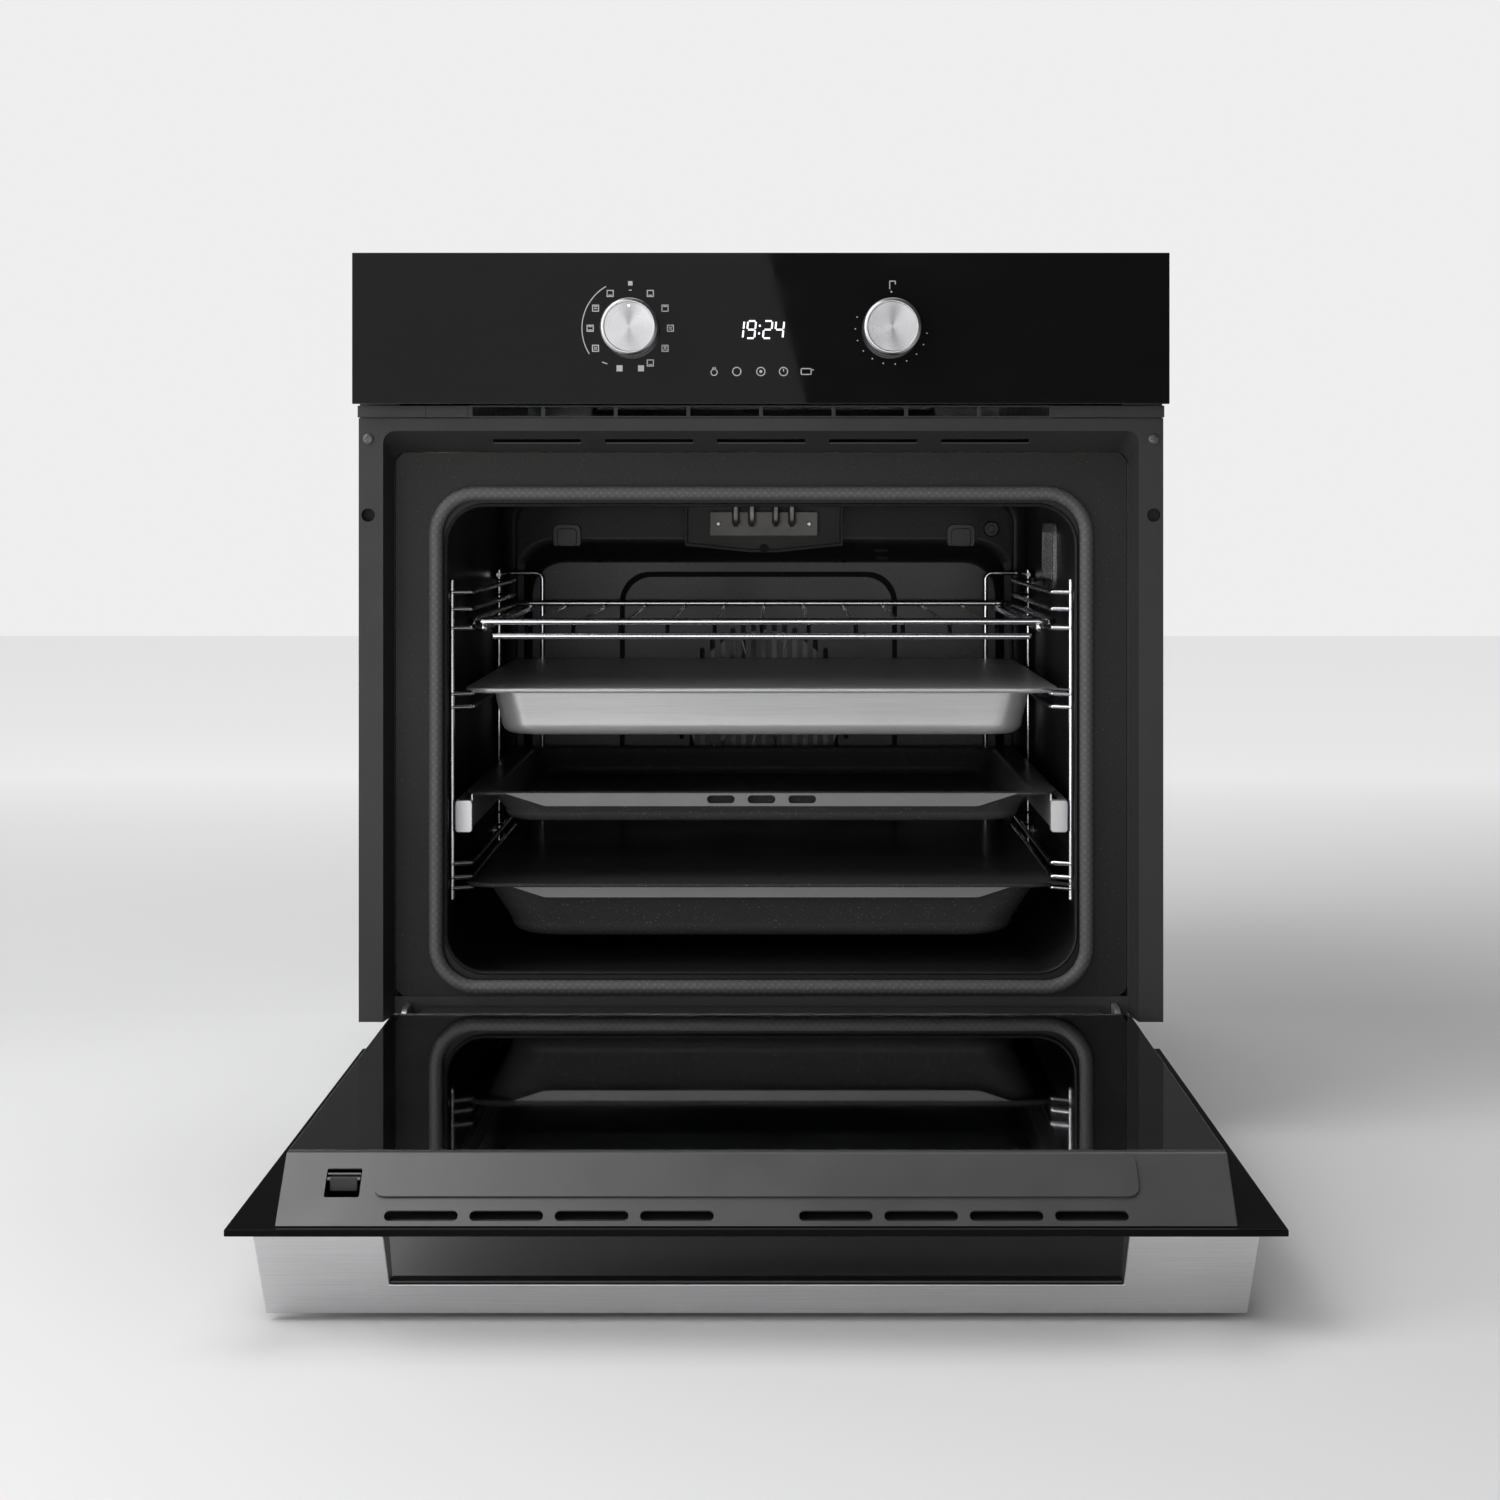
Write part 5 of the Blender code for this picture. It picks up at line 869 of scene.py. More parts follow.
    def publish(self, name: str, body: Body, finish: Finish, *nodes: str) -> bpy.types.Object:
        """Make the form a finished piece.

        Args:
            name: the piece's name.
            body: the body that it rides on.
            finish: its finish.
            *nodes: the nodes that it stands for.

        Returns:
            The piece.
        """
        mesh = self.mesh(name)
        mesh.materials.clear()
        mesh.materials.append(finish.material())
        mesh.shade_smooth()
        mesh.set_sharp_from_angle(angle=SHARP)
        piece = bpy.data.objects.new(name, mesh)
        bpy.context.scene.collection.objects.link(piece)
        even = piece.modifiers.new("even_shading", "WEIGHTED_NORMAL")
        even.keep_sharp = True
        even.weight = 100
        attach(piece, body.value)
        if nodes:
            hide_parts(*nodes)
        LOG.info("%s: %d faces on %s", name, len(mesh.polygons), body.value)
        return piece


def refined(node: str, body: Body, finish: Finish, width: float = 0.0003, segments: int = 2) -> None:
    """Replace a node by the same shape with its edges eased.

    Args:
        node: name of the node.
        body: the body that it rides on.
        finish: its finish.
        width: width of the eased edge.
        segments: facets across the eased edge.
    """
    Form.of_node(node).ease(width, segments).publish(f"{node}_skin", body, finish, node)


def screw(form: Form, place: tuple, direction: tuple, radius: float = 0.0036) -> None:
    """Add a pan-head screw with a cross recess to a form.

    Args:
        form: the form to add to.
        place: middle of the head's seat.
        direction: way that the head looks.
        radius: radius of the head.
    """
    height = radius * 0.5
    profile = [(0, -height), (radius * 0.9, -height), (radius, 0), (radius, height * 0.35)]
    for n in range(1, 6):
        turn = math.radians(90 * n / 5)
        profile.append((radius * math.cos(turn), height * (0.35 + 0.65 * math.sin(turn))))
    head = Form().turn(profile[:-1] + [(0, height)], (0, 0, 0), (0, 0, 1), 28)
    arm, slit = radius * 0.62, radius * 0.15
    bars = (
        Form().block((-arm, -slit, height * 0.3), (arm, slit, height * 2)),
        Form().block((-slit, -arm, height * 0.3), (slit, arm, height * 2)),
    )
    cut = head.carved(*bars)
    aim = Vector((0, 0, 1)).rotation_difference(Vector(direction)).to_matrix().to_4x4()
    cut.bm.transform(Matrix.Translation(Vector(place)) @ aim)
    mesh = cut.mesh("screw")
    form.bm.from_mesh(mesh)
    bpy.data.meshes.remove(mesh)


SIDES = (("left", -1), ("right", 1))


# ---------------------------------------------------------------- casing
@dataclass
class Casing:
    """The zinc panels that close the oven in, with their pressings and screws."""

    rib_half: float = 0.190
    rib_pitch: float = 0.120
    rib_height: float = 0.0018
    rib_width: float = 0.018
    screw_inset: float = 0.030

    def build(self) -> None:
        """Build and dress the casing."""
        for node in ("base_panel", "left_side_panel", "right_side_panel", "top_cover", "back_cover"):
            refined(node, Body.OVEN, ZINC, 0.00025)
        self.ribs()
        self.screws()
        self.terminal_frame()

    def ribs(self) -> None:
        """Press stiffening ribs into the top cover."""
        top = Room.of("top_cover")
        form = Form()
        for n in (-1, 0, 1):
            middle = top.centre.y - FRONT_Y + n * self.rib_pitch
            loops = []
            for inset, rise in ((0.0, -0.0004), (0.0012, self.rib_height * 0.5), (0.004, self.rib_height)):
                half, reach = self.rib_half - inset, self.rib_width / 2 - inset
                outline = rounded(half, middle - reach, middle + reach, reach * 0.98, 0.0, 8)
                loops.append(flat(outline, top.high.z + rise))
            form.loft(loops)
        form.outward().publish("top_cover_ribs", Body.OVEN, ZINC)

    def screws(self) -> None:
        """Add the screws that hold the panels."""
        form = Form()
        top, back = Room.of("top_cover"), Room.of("back_cover")
        for _, side in SIDES:
            for y in (top.low.y + self.screw_inset, top.centre.y, top.high.y - self.screw_inset):
                screw(form, (side * (top.high.x - 0.008), y, top.high.z), (0, 0, 1))
            for z in (back.low.z + self.screw_inset, back.centre.z, back.high.z - self.screw_inset):
                screw(form, (side * (back.high.x - 0.010), back.high.y - 0.0019, z), (0, 1, 0))
        form.publish("casing_screws", Body.OVEN, RAIL_STEEL)

    def terminal_frame(self) -> None:
        """Add the plate behind the supply terminal and the three posts on it."""
        box = Room.of("mains_terminal")
        form = Form()
        face = Room.of("back_cover").low.y - 0.0002
        form.block(
            (box.low.x + 0.010, face - 0.006, box.low.z + 0.010),
            (box.high.x - 0.010, face, box.high.z - 0.010)
        )
        for n in (-1, 0, 1):
            x = box.centre.x + n * 0.013
            form.block(
                (x - 0.005, face, box.centre.z - 0.006), (x + 0.005, face + 0.0010, box.centre.z + 0.006)
            )
        form.ease(0.0004).publish("terminal_posts", Body.OVEN, RAIL_STEEL)


# ---------------------------------------------------------------- front frame
@dataclass
class FrontFrame:
    """The stamped frame round the door recess, with the strip of cooling slots above it."""

    screw_height: float = 0.460
    screw_x: float = 0.2889
    socket_x: float = 0.289
    socket_height: float = 0.404
    plate_inner: float = 0.2155
    plate_step: float = 0.246
    plate_thickness: float = 0.0008
    bracket_inner: float = 0.266
    bracket_lap: float = 0.008
    rib_x: float = 0.2738
    rib_radius: float = 0.0007

    def build(self) -> None:
        """Build and dress the frame and the grille."""
        refined("front_frame", Body.OVEN, COLUMN_PAINT, 0.0004)
        refined("vent_grille", Body.OVEN, COLUMN_PAINT, 0.0002)
        self.end_plates()
        self.corner_brackets()
        self.hardware()

    def corner_brackets(self) -> None:
        """Add the upright brackets behind the joints of frame, grille and control panel."""
        frame, panel = Room.of("front_frame"), Room.of("fascia_glass")
        form = Form()
        for _, side in SIDES:
            xs = sorted((side * self.bracket_inner, side * (frame.high.x - 0.0006)))
            low = (xs[0], frame.low.y + 0.0013, frame.high.z - self.bracket_lap)
            form.block(low, (xs[1], frame.low.y + 0.0021, panel.low.z + self.bracket_lap))
        form.ease(0.0002).publish("corner_brackets", Body.OVEN, COLUMN_PAINT)

    def end_plates(self) -> None:
        """Add the plain stepped plates at the grille's two ends."""
        grille = Room.of("vent_grille")
        form = Form()
        for _, side in SIDES:
            face = grille.low.y
            for near, far, lift in (
                (self.plate_inner, self.plate_step, 0.6), (self.plate_step, grille.high.x, 1.0)
            ):
                xs = sorted((side * near, side * far))
                front = face - self.plate_thickness * lift
                form.block(
                    (xs[0], front, grille.low.z + 0.0003),
                    (xs[1], face + 0.0001, grille.high.z - 0.0003 * lift)
                )
        form.ease(0.0002).publish("grille_end_plates", Body.OVEN, COLUMN_PAINT)

    def hardware(self) -> None:
        """Add the frame's screws and the thin beads along the recess."""
        room = Room.of("front_frame")
        form = Form()
        for _, side in SIDES:
            screw(form, (side * self.screw_x, room.low.y, self.screw_height), (0, -1, 0), 0.0040)
        form.publish("frame_screws", Body.OVEN, PROFILE_PAINT)
        sockets = Form()
        for _, side in SIDES:
            profile = [(0, 0.0060), (0.0052, 0.0060), (0.0052, 0), (0.0062, 0), (0.0062, 0.0070), (0, 0.0070)]
            sockets.turn(
                profile, (side * self.socket_x, room.low.y + 0.0013, self.socket_height), (0, 1, 0), 32
            )
        # The sockets are near-black all through: painted shade in their hollows.
        sockets.outward().publish("fixing_sockets", Body.OVEN, SEAM_BLACK_AND_PAINTED_SHADE)
        beads = Form()
        back = room.high.y - 0.0015
        for _, side in SIDES:
            x = side * self.rib_x
            beads.tube([(x, back, room.low.z + 0.034), (x, back, room.high.z - 0.034)], self.rib_radius, 8)
        beads.publish("recess_beads", Body.OVEN, COLUMN_PAINT)


# ---------------------------------------------------------------- cavity
@dataclass
class Cavity:
    """The enamelled box with the bead round its mouth, and the door seal."""

    gauge: float = 0.0012
    flange_corner: float = 0.009
    flange_half: float = 0.2727
    flange_foot: float = 0.0452
    flange_top: float = 0.4504
    mouth_half: float = 0.2335
    mouth_low: float = 0.064
    mouth_high: float = 0.410
    mouth_corner: float = 0.028
    bead_width: float = 0.003
    bead_height: float = 0.003
    wall_half: float = 0.241
    wall_low: float = 0.058
    wall_high: float = 0.428
    wall_corner: float = 0.030
    face_depth: float = 0.046
    flare_depth: float = 0.064
    back_depth: float = 0.490
    back_fillet: float = 0.012
    seal_steps: int = 16

    def mouth(self, grow: float) -> list:
        """Return the mouth's outline, grown by a distance."""
        return rounded(
            self.mouth_half + grow, self.mouth_low - grow, self.mouth_high + grow, self.mouth_corner + grow
        )

    def walls(self, shrink: float) -> list:
        """Return the walls' outline, drawn in by a distance."""
        low, high = self.wall_low + shrink, self.wall_high - shrink
        return rounded(self.wall_half - shrink, low, high, self.wall_corner - shrink * 0.5)

    def build(self) -> None:
        """Build and dress the cavity, its seal and its jacket."""
        loops = [
            upright(
                rounded(self.flange_half, self.flange_foot, self.flange_top, self.flange_corner),
                self.face_depth
            )
        ]
        for n in range(9):
            turn = math.radians(180 * n / 8)
            grow = self.bead_width * (1 + math.cos(turn)) / 2
            loops.append(upright(self.mouth(grow), self.face_depth - self.bead_height * math.sin(turn)))
        reach = self.flare_depth - self.face_depth
        for n in range(1, 7):
            share = math.sin(math.radians(90 * n / 6))
            depth = self.face_depth + reach * n / 6
            flared = [
                Vector(a).lerp(Vector(b), 1 - math.sqrt(1 - share**2) if share < 1 else 1.0)
                for a, b in zip(self.mouth(0), self.walls(0))
            ]
            loops.append(upright([tuple(p) for p in flared], depth))
        for n in range(7):
            turn = math.radians(90 * n / 6)
            shrink = self.back_fillet * (1 - math.cos(turn))
            loops.append(
                upright(self.walls(shrink), self.back_depth - self.back_fillet * (1 - math.sin(turn)))
            )
        shell = Form().loft(loops).walled(self.gauge, (0, 1, 0))
        lens = Room.of("lamp_cover")
        inset = 0.004
        window = Form().block(
            (lens.low.x - 0.004, lens.low.y + inset, lens.low.z + inset),
            (lens.high.x + 0.004, lens.high.y - inset, lens.high.z - inset),
        )
        shell.carved(window).publish("cavity_shell", Body.OVEN, FACE_ENAMEL, "cavity")
        self.seal()
        frame["nodes"]["insulation"].data.materials.clear()
        frame["nodes"]["insulation"].data.materials.append(WOOL.material())

    def seal(self) -> None:
        """Build the sleeve that the shut door presses on, and its hooks."""
        room = Room.of("door_seal")
        half, low, high = room.high.x, room.low.z, room.high.z
        width, height = 0.0105, room.size.y
        back = room.high.y - FRONT_Y
        corner = 0.036
        loops = []
        for n in range(self.seal_steps):
            turn = 2 * math.pi * n / self.seal_steps
            grow = width / 2 * (1 - math.cos(turn))
            lift = height / 2 * (1 + math.sin(turn)) * (0.92 + 0.08 * abs(math.sin(turn)))
            outline = rounded(half - grow, low + grow, high - grow, corner - grow)
            loops.append(upright(outline, back - lift))
        seal = Form().loft(loops, closed=True).outward()
        seal.publish("seal_sleeve", Body.OVEN, SEAL_BRAID, "door_seal")
        clips = Form()
        for _, side in SIDES:
            for z in (low + corner * 0.45, high - corner * 0.45):
                x = side * (half - corner * 0.42)
                clips.tube([(x, deep(back) - 0.003, z), (x, deep(back) + 0.0002, z)], 0.0016, 10)
        clips.publish("seal_hooks", Body.OVEN, CHROME)


@dataclass
class FanCover:
    """The pressed panel in front of the fan, and the pressings of the wall above it."""

    half: float = 0.222
    low: float = 0.085
    high: float = 0.378
    corner: float = 0.030
    proud: float = 0.020
    slope: float = 0.019
    gauge: float = 0.0012
    back_depth: float = 0.490
    grille_radius: float = 0.080
    grille_slots: int = 17
    grille_slot: float = 0.0045
    fan_height: float = 0.225
    straight: float = 0.35
    panel_half: float = 0.128
    panel_low: float = 0.098
    panel_high: float = 0.352
    panel_corner: float = 0.028
    panel_centre: float = -0.005
    panel_inset: float = 0.006
    panel_lift: float = 0.0026

    def reach(self, share: float) -> float:
        """Return how much of its height the cover's slope has reached.

        Args:
            share: share of the way from the cover's foot to its front, 0 to 1.

        Returns:
            The share of the height, partly straight and partly eased.
        """
        return self.straight * share + (1 - self.straight) * eased(share)

    def build(self) -> None:
        """Build and dress the cover."""
        foot = self.back_depth - 0.0015
        front = self.back_depth - self.proud
        loops = [
            upright(
                rounded(self.half + 0.008, self.low - 0.008, self.high + 0.004, self.corner + 0.004), foot
            ),
            upright(rounded(self.half, self.low, self.high, self.corner), foot),
        ]
        for n in range(1, 7):
            share = n / 6
            draw = 0.010 * share
            outline = rounded(
                self.half - draw, self.low + draw, self.high - self.slope * share, self.corner
            )
            loops.append(upright(outline, foot + (front - foot) * self.reach(share)))
        cover = Form().loft(loops).walled(self.gauge, (0, 1, 0))
        cover.carved(*self.slots(front)).publish("fan_cover_shell", Body.OVEN, CAVITY_ENAMEL, "fan_cover")
        self.centre_panel(front)
        self.upper_band(front, foot)
        self.wall_pressings()

    def slots(self, front: float) -> list:
        """Return the cutters of the round intake grille."""
        cutters = []
        pitch = 2 * self.grille_radius / self.grille_slots
        for n in range(self.grille_slots):
            x = (n - (self.grille_slots - 1) / 2) * pitch
            reach = math.sqrt(self.grille_radius**2 - x**2)
            outline = rounded(
                self.grille_slot / 2, self.fan_height - reach, self.fan_height + reach, 0.002, x, 4
            )
            cutters.append(Form().prism(upright(outline, front - 0.008), (0, 0.014, 0)))
        return cutters

    def centre_panel(self, front: float) -> None:
        """Raise the panel that carries the grille."""
        loops = []
        for share in (0.0, 0.15, 0.5, 0.85, 1.0):
            inset = self.panel_inset * share
            lift = self.panel_lift * eased(share)
            corner = self.panel_corner - inset * 0.5
            half, low, high = self.panel_half - inset, self.panel_low + inset, self.panel_high - inset
            outline = rounded(half, low, high, corner, self.panel_centre)
            loops.append(upright(outline, front + 0.0002 - lift))
        panel = Form().loft(loops).walled(0.001, (0, 1, 0))
        panel.carved(*self.slots(front)).publish("grille_panel", Body.OVEN, CAVITY_ENAMEL)

    def upper_band(self, front: float, foot: float) -> None:
        """Mark the dark seams of the sloping band over the panel, and its two slots as near-black insets:
        painted shade in place of openings.
        """
        form = Form()
        run, rise = foot - front, self.slope
        for x, lean, width in ((-0.155, 0.55, 0.0045), (-0.084, 0.0, 0.003), (0.078, -0.55, 0.0045)):
            points = []
            for share, edge in ((0.06, -1), (0.06, 1), (0.97, 1), (0.97, -1)):
                z = self.high - rise * share
                shift = lean * rise * (0.5 - share)
                depth = foot - run * self.reach(share)
                points.append(Vector((x - shift + edge * width / 2, deep(depth) - 0.0008, z)))
            form.prism(points, (0, 0.0012, 0))
        for z in (0.370, 0.3635):
            share = (self.high - z) / rise
            depth = foot - run * self.reach(share)
            outline = rounded(0.006, z - 0.0014, z + 0.0014, 0.0013, 0.108, 4)
            form.prism(upright(outline, depth - 0.0012), (0, 0.003, 0))
        form.outward().publish("band_seams", Body.OVEN, SEAM_BLACK_AND_PAINTED_SHADE)

    def wall_pressings(self) -> None:
        """Add the two lugs, the boss and the border pressed into the back wall."""
        wall = self.back_depth - 0.0003
        lugs = Form()
        for _, side in SIDES:
            outer = rounded(0.013, 0.372, 0.3945, 0.006, side * 0.182, 6)
            inner = rounded(0.009, 0.374, 0.3905, 0.004, side * 0.182, 6)
            lugs.prism(upright(outer, wall - 0.0035), (0, 0.0035, 0))
            lugs.prism(upright(inner, wall - 0.0046), (0, 0.0012, 0))
        lugs.outward().ease(0.0008, 3).publish("cover_lugs", Body.OVEN, CAVITY_ENAMEL)
        boss = Form()
        place = (0.210, deep(wall), 0.390)
        boss.turn(
            [
                (0, 0), (0.0075, 0), (0.0072, 0.004), (0.0062, 0.005), (0.0035, 0.005), (0.003, 0.002),
                (0, 0.002)
            ], place, (0, -1, 0), 40
        )
        boss.publish("wall_boss", Body.OVEN, CAVITY_ENAMEL)
        border = Form()
        path = [(x, deep(wall) - 0.0004, z) for x, z in rounded(0.229, 0.068, 0.416, 0.020, 0.0, 8)]
        border.tube(path, 0.0016, 8, closed=True)
        border.publish("wall_border", Body.OVEN, CAVITY_ENAMEL)


# ---------------------------------------------------------------- heating and light
@dataclass
class Heating:
    """The elements, the bracket over the back wall and its ceramic block."""

    block_ribs: int = 5
    stub_height: float = 0.395
    collar_radius: float = 0.0052
    stub_x: tuple = (-0.0254, -0.0109, 0.0109, 0.0254)

    def build(self) -> None:
        """Build and dress the heating pieces."""
        for node in ("grill_element", "ring_element", "bottom_element"):
            Form.of_node(node).publish(f"{node}_skin", Body.OVEN, TUBE_STEEL, node)
        refined("terminal_bracket", Body.OVEN, DARK_PAINT, 0.0003)
        self.block()
        self.bracket_details()

    def block(self) -> None:
        """Build the ribbed ceramic block with a collar round each stub."""
        room = Room.of("terminal_block")
        form = Form().block(tuple(room.low), tuple(room.high))
        form.ease(0.0012, 3)
        wide = room.size.x * 0.94
        for n in range(self.block_ribs):
            x = room.centre.x + wide * (n / (self.block_ribs - 1) - 0.5)
            form.block(
                (x - 0.0012, room.low.y - 0.0006, room.low.z + 0.002),
                (x + 0.0012, room.low.y + 0.001, room.high.z - 0.002)
            )
        for x in self.stub_x:
            ring = [
                (0, 0), (self.collar_radius, 0), (self.collar_radius, 0.0012), (0.0038, 0.0018), (0, 0.0018)
            ]
            form.turn(ring, (x, room.low.y + 0.0004, self.stub_height), (0, -1, 0), 28)
        form.publish("ceramic_block", Body.OVEN, CERAMIC, "terminal_block")
        ends = Form()
        for _, side in SIDES:
            screw(ends, (side * room.size.x * 0.42, room.low.y - 0.0002, room.centre.z), (0, -1, 0), 0.0026)
        ends.publish("block_screws", Body.OVEN, RAIL_STEEL)

    def bracket_details(self) -> None:
        """Add the bracket's flanged hole, a near-black disc that paints the shade of the opening, and its
        pressed border.
        """
        room = Room.of("terminal_bracket")
        face = room.low.y
        hole = Form()
        hole.turn(
            [(0, 0), (0.0042, 0), (0.0040, 0.0008), (0.0030, 0.0010), (0.0026, 0.0004), (0, 0.0004)],
            (0, face, 0.3725), (0, -1, 0), 32
        )
        hole.publish("bracket_eyelet", Body.OVEN, SEAM_BLACK_AND_PAINTED_SHADE)
        border = Form()
        y = face - 0.0002
        x, top = room.high.x - 0.0025, room.high.z - 0.004
        path = [
            (-x, y, top), (-x, y, 0.3775), (-0.012, y, 0.3715), (0.012, y, 0.3715), (x, y, 0.3775),
            (x, y, top)
        ]
        border.tube(bends(path, 0.0018, 4), 0.0006, 8)
        border.publish("bracket_border", Body.OVEN, DARK_PAINT)


@dataclass
class Lamp:
    """The side lamp's moulded lens and its housing."""

    ribs: int = 7

    def build(self) -> None:
        """Build and dress the lamp."""
        refined("lamp_housing", Body.OVEN, RAIL_STEEL)
        room = Room.of("lamp_cover")
        form = Form.of_node("lamp_cover").ease(0.0009, 3)
        for n in range(self.ribs):
            y = room.low.y + room.size.y * (n + 1) / (self.ribs + 1)
            x = room.low.x + 0.0004
            form.tube([(x, y, room.low.z + 0.008), (x, y, room.high.z - 0.008)], 0.0009, 8)
        form.publish("lamp_lens", Body.OVEN, LAMP_CLEAR, "lamp_cover")


# ---------------------------------------------------------------- racks, rails and what stands on them
@dataclass
class SideRacks:
    """The two chrome wire racks that hang on the cavity's side walls."""

    radius: float = 0.002
    wall_x: float = 0.2355
    guide_x: float = 0.221
    post_x: float = 0.2025
    front: float = 0.083
    rear: float = 0.405
    post: float = 0.4645
    foot: float = 0.112
    top: float = 0.354
    bend: float = 0.006
    tray_gauge: float = 0.001
    fit: float = 0.0003

    def guides(self) -> list:
        """Return the heights of the guide wires, which carry the rims that rest on them."""
        rims = [Room.of("steel_tray").high.z - self.tray_gauge, Room.of("deep_tray").high.z - self.tray_gauge]
        rims.append(Room.of("wire_shelf").high.z - 0.005)
        under = [rim - self.fit - self.radius for rim in rims]
        return under + [0.3453, 0.3324, 0.2575, 0.128, 0.1385]

    def build(self) -> None:
        """Build and dress both racks."""
        for name, side in SIDES:
            x, guide_x, post_x = side * self.wall_x, side * self.guide_x, side * self.post_x
            front, rear, post = deep(self.front), deep(self.rear), deep(self.post)
            form = Form()
            form.tube([(x, front, self.foot), (x, front, self.top)], self.radius)
            form.tube([(x, rear, self.foot), (x, rear, self.top)], self.radius)
            level = self.top - 0.004
            path = [
                (x, rear - 0.004, level), (x, post, level), (post_x, post, level), (post_x, post, self.foot)
            ]
            form.tube(bends(path, self.bend), self.radius)
            for z in self.guides():
                path = [(x, front, z), (guide_x, front + 0.007, z), (guide_x, rear - 0.007, z), (x, rear, z)]
                form.tube(bends(path, 0.004, 4), self.radius)
                form.ball((x, front, z), self.radius * 1.12)
            for z in (self.foot, self.top):
                form.ball((x, front, z), self.radius * 1.05)
                form.ball((x, rear, z), self.radius * 1.05)
            form.publish(f"{name}_rack_wires", Body.OVEN, CHROME, f"{name}_rack")
        self.hangers()

    def hangers(self) -> None:
        """Add the studs and nuts that the racks hang on."""
        form = Form()
        for _, side in SIDES:
            for z in (self.foot + 0.010, self.top - 0.012):
                for depth in (self.front, self.rear):
                    place = (side * 0.2408, deep(depth) + 0.0045, z)
                    profile = [
                        (0, 0), (0.0052, 0), (0.0052, 0.0012), (0.0034, 0.0018), (0.0034, 0.0042),
                        (0.0026, 0.005), (0, 0.005)
                    ]
                    form.turn(profile, place, (-side, 0, 0), 24)
        form.publish("rack_studs", Body.OVEN, RAIL_STEEL)


@dataclass
class TelescopicRails:
    """The telescopic rail on each side, with its bright end caps and ball cage."""

    cap_bulge: float = 0.0003
    cap_wall: float = 0.0009
    balls: int = 14

    def build(self) -> None:
        """Build and dress the rails."""
        for name, side in SIDES:
            refined(f"{name}_fixed_rail", Body.OVEN, RAIL_STEEL, 0.0002)
            refined(f"{name}_middle_rail", Body.MIDDLE_RAILS, RAIL_STEEL, 0.0002)
            refined(f"{name}_runner", Body.RUNNERS, RAIL_STEEL, 0.0002)
            self.cap(name)
            self.cage(name, side)

    def cap(self, name: str) -> None:
        """Cover the front of a runner with its pressed cap.

        Args:
            name: the side that the runner is on.
        """
        room = Room.of(f"{name}_runner")
        rail = Room.of(f"{name}_fixed_rail")
        bulge = self.cap_bulge
        half = room.size.x / 2 + bulge
        middle = room.centre.x
        front = room.low.y - FRONT_Y
        low, high = rail.low.z - bulge, rail.high.z + bulge
        loops = []
        for inset, depth in (
            (0.0, 0.0058), (0.0, 0.0012), (0.0004, 0.0004), (0.0012, 0.0), (0.0030, 0.0002),
            (0.0034, 0.0006)
        ):
            outline = rounded(half - inset, low + inset, high - inset, 0.0026 - inset * 0.3, middle, 6)
            loops.append(upright(outline, front + depth))
        inner = rounded(half - self.cap_wall, low + self.cap_wall, high - self.cap_wall, 0.0018, middle, 6)
        back = loops[0][0].y - FRONT_Y
        loops = [upright(inner, back - 0.0006), upright(inner, back)] + loops
        Form().loft(loops).outward().filled().publish(f"{name}_rail_cap", Body.RUNNERS, TRAY_STEEL)

    def cage(self, name: str, side: int) -> None:
        """Add the row of balls between the fixed and the middle rail."""
        fixed, middle = Room.of(f"{name}_fixed_rail"), Room.of(f"{name}_middle_rail")
        form = Form()
        x = middle.centre.x - side * 0.0004
        for n in range(self.balls):
            y = fixed.low.y + 0.020 + n * (fixed.size.y - 0.040) / (self.balls - 1)
            for z in (fixed.low.z + 0.00145, fixed.high.z - 0.00145):
                ball = Matrix.Translation((x, y, z))
                bmesh.ops.create_icosphere(form.bm, subdivisions=1, radius=0.0004, matrix=ball)
        form.publish(f"{name}_ball_row", Body.MIDDLE_RAILS, CHROME)


@dataclass
class WireShelf:
    """The chrome shelf: a loop of thick wire over two side rods, thin wires and a lower front rod."""

    loop: float = 0.0025
    side: float = 0.003
    thin: float = 0.0017
    wires: int = 11
    wire_half: float = 0.180
    side_x: float = 0.212
    weld: float = 0.8
    corner: float = 0.012

    def build(self) -> None:
        """Build and dress the shelf."""
        room = Room.of("wire_shelf")
        level = room.high.z - self.loop
        low = room.low.z + self.loop
        half = room.high.x - self.loop
        front, back = room.low.y - FRONT_Y + self.loop, room.high.y - FRONT_Y - self.loop
        form = Form()
        form.tube(flat(rounded(half, front, back, self.corner), level), self.loop, 16, closed=True)
        side_z = level - self.weld * (self.loop + self.side)
        wire_z = level - self.weld * (self.loop + self.thin)
        for _, side in SIDES:
            x = side * self.side_x
            form.tube([(x, deep(front), side_z), (x, deep(back), side_z)], self.side, 14)
            form.ball((x, deep(front), side_z), self.side * 1.15)
            form.ball((x, deep(back), side_z), self.side)
        for n in range(self.wires):
            x = self.wire_half * (2 * n / (self.wires - 1) - 1)
            path = [(x, deep(back), wire_z), (x, deep(front) + 0.010, wire_z), (x, deep(front) + 0.001, low)]
            form.tube(bends(path, 0.004, 5), self.thin, 10)
            form.ball((x, deep(back), wire_z), self.thin)
        reach = self.side_x - 0.008
        form.tube([(-reach, deep(front), low), (reach, deep(front), low)], self.loop, 16)
        for _, side in SIDES:
            form.ball((side * reach, deep(front), low), self.loop)
        form.publish("shelf_wires", Body.SHELF, CHROME, "wire_shelf")


class Flange(Enum):
    """What a tray's front edge carries."""

    ROLLED = "rolled rim only"
    PLAIN = "turned-down flange"
    SLOTTED = "turned-down flange with three slots"


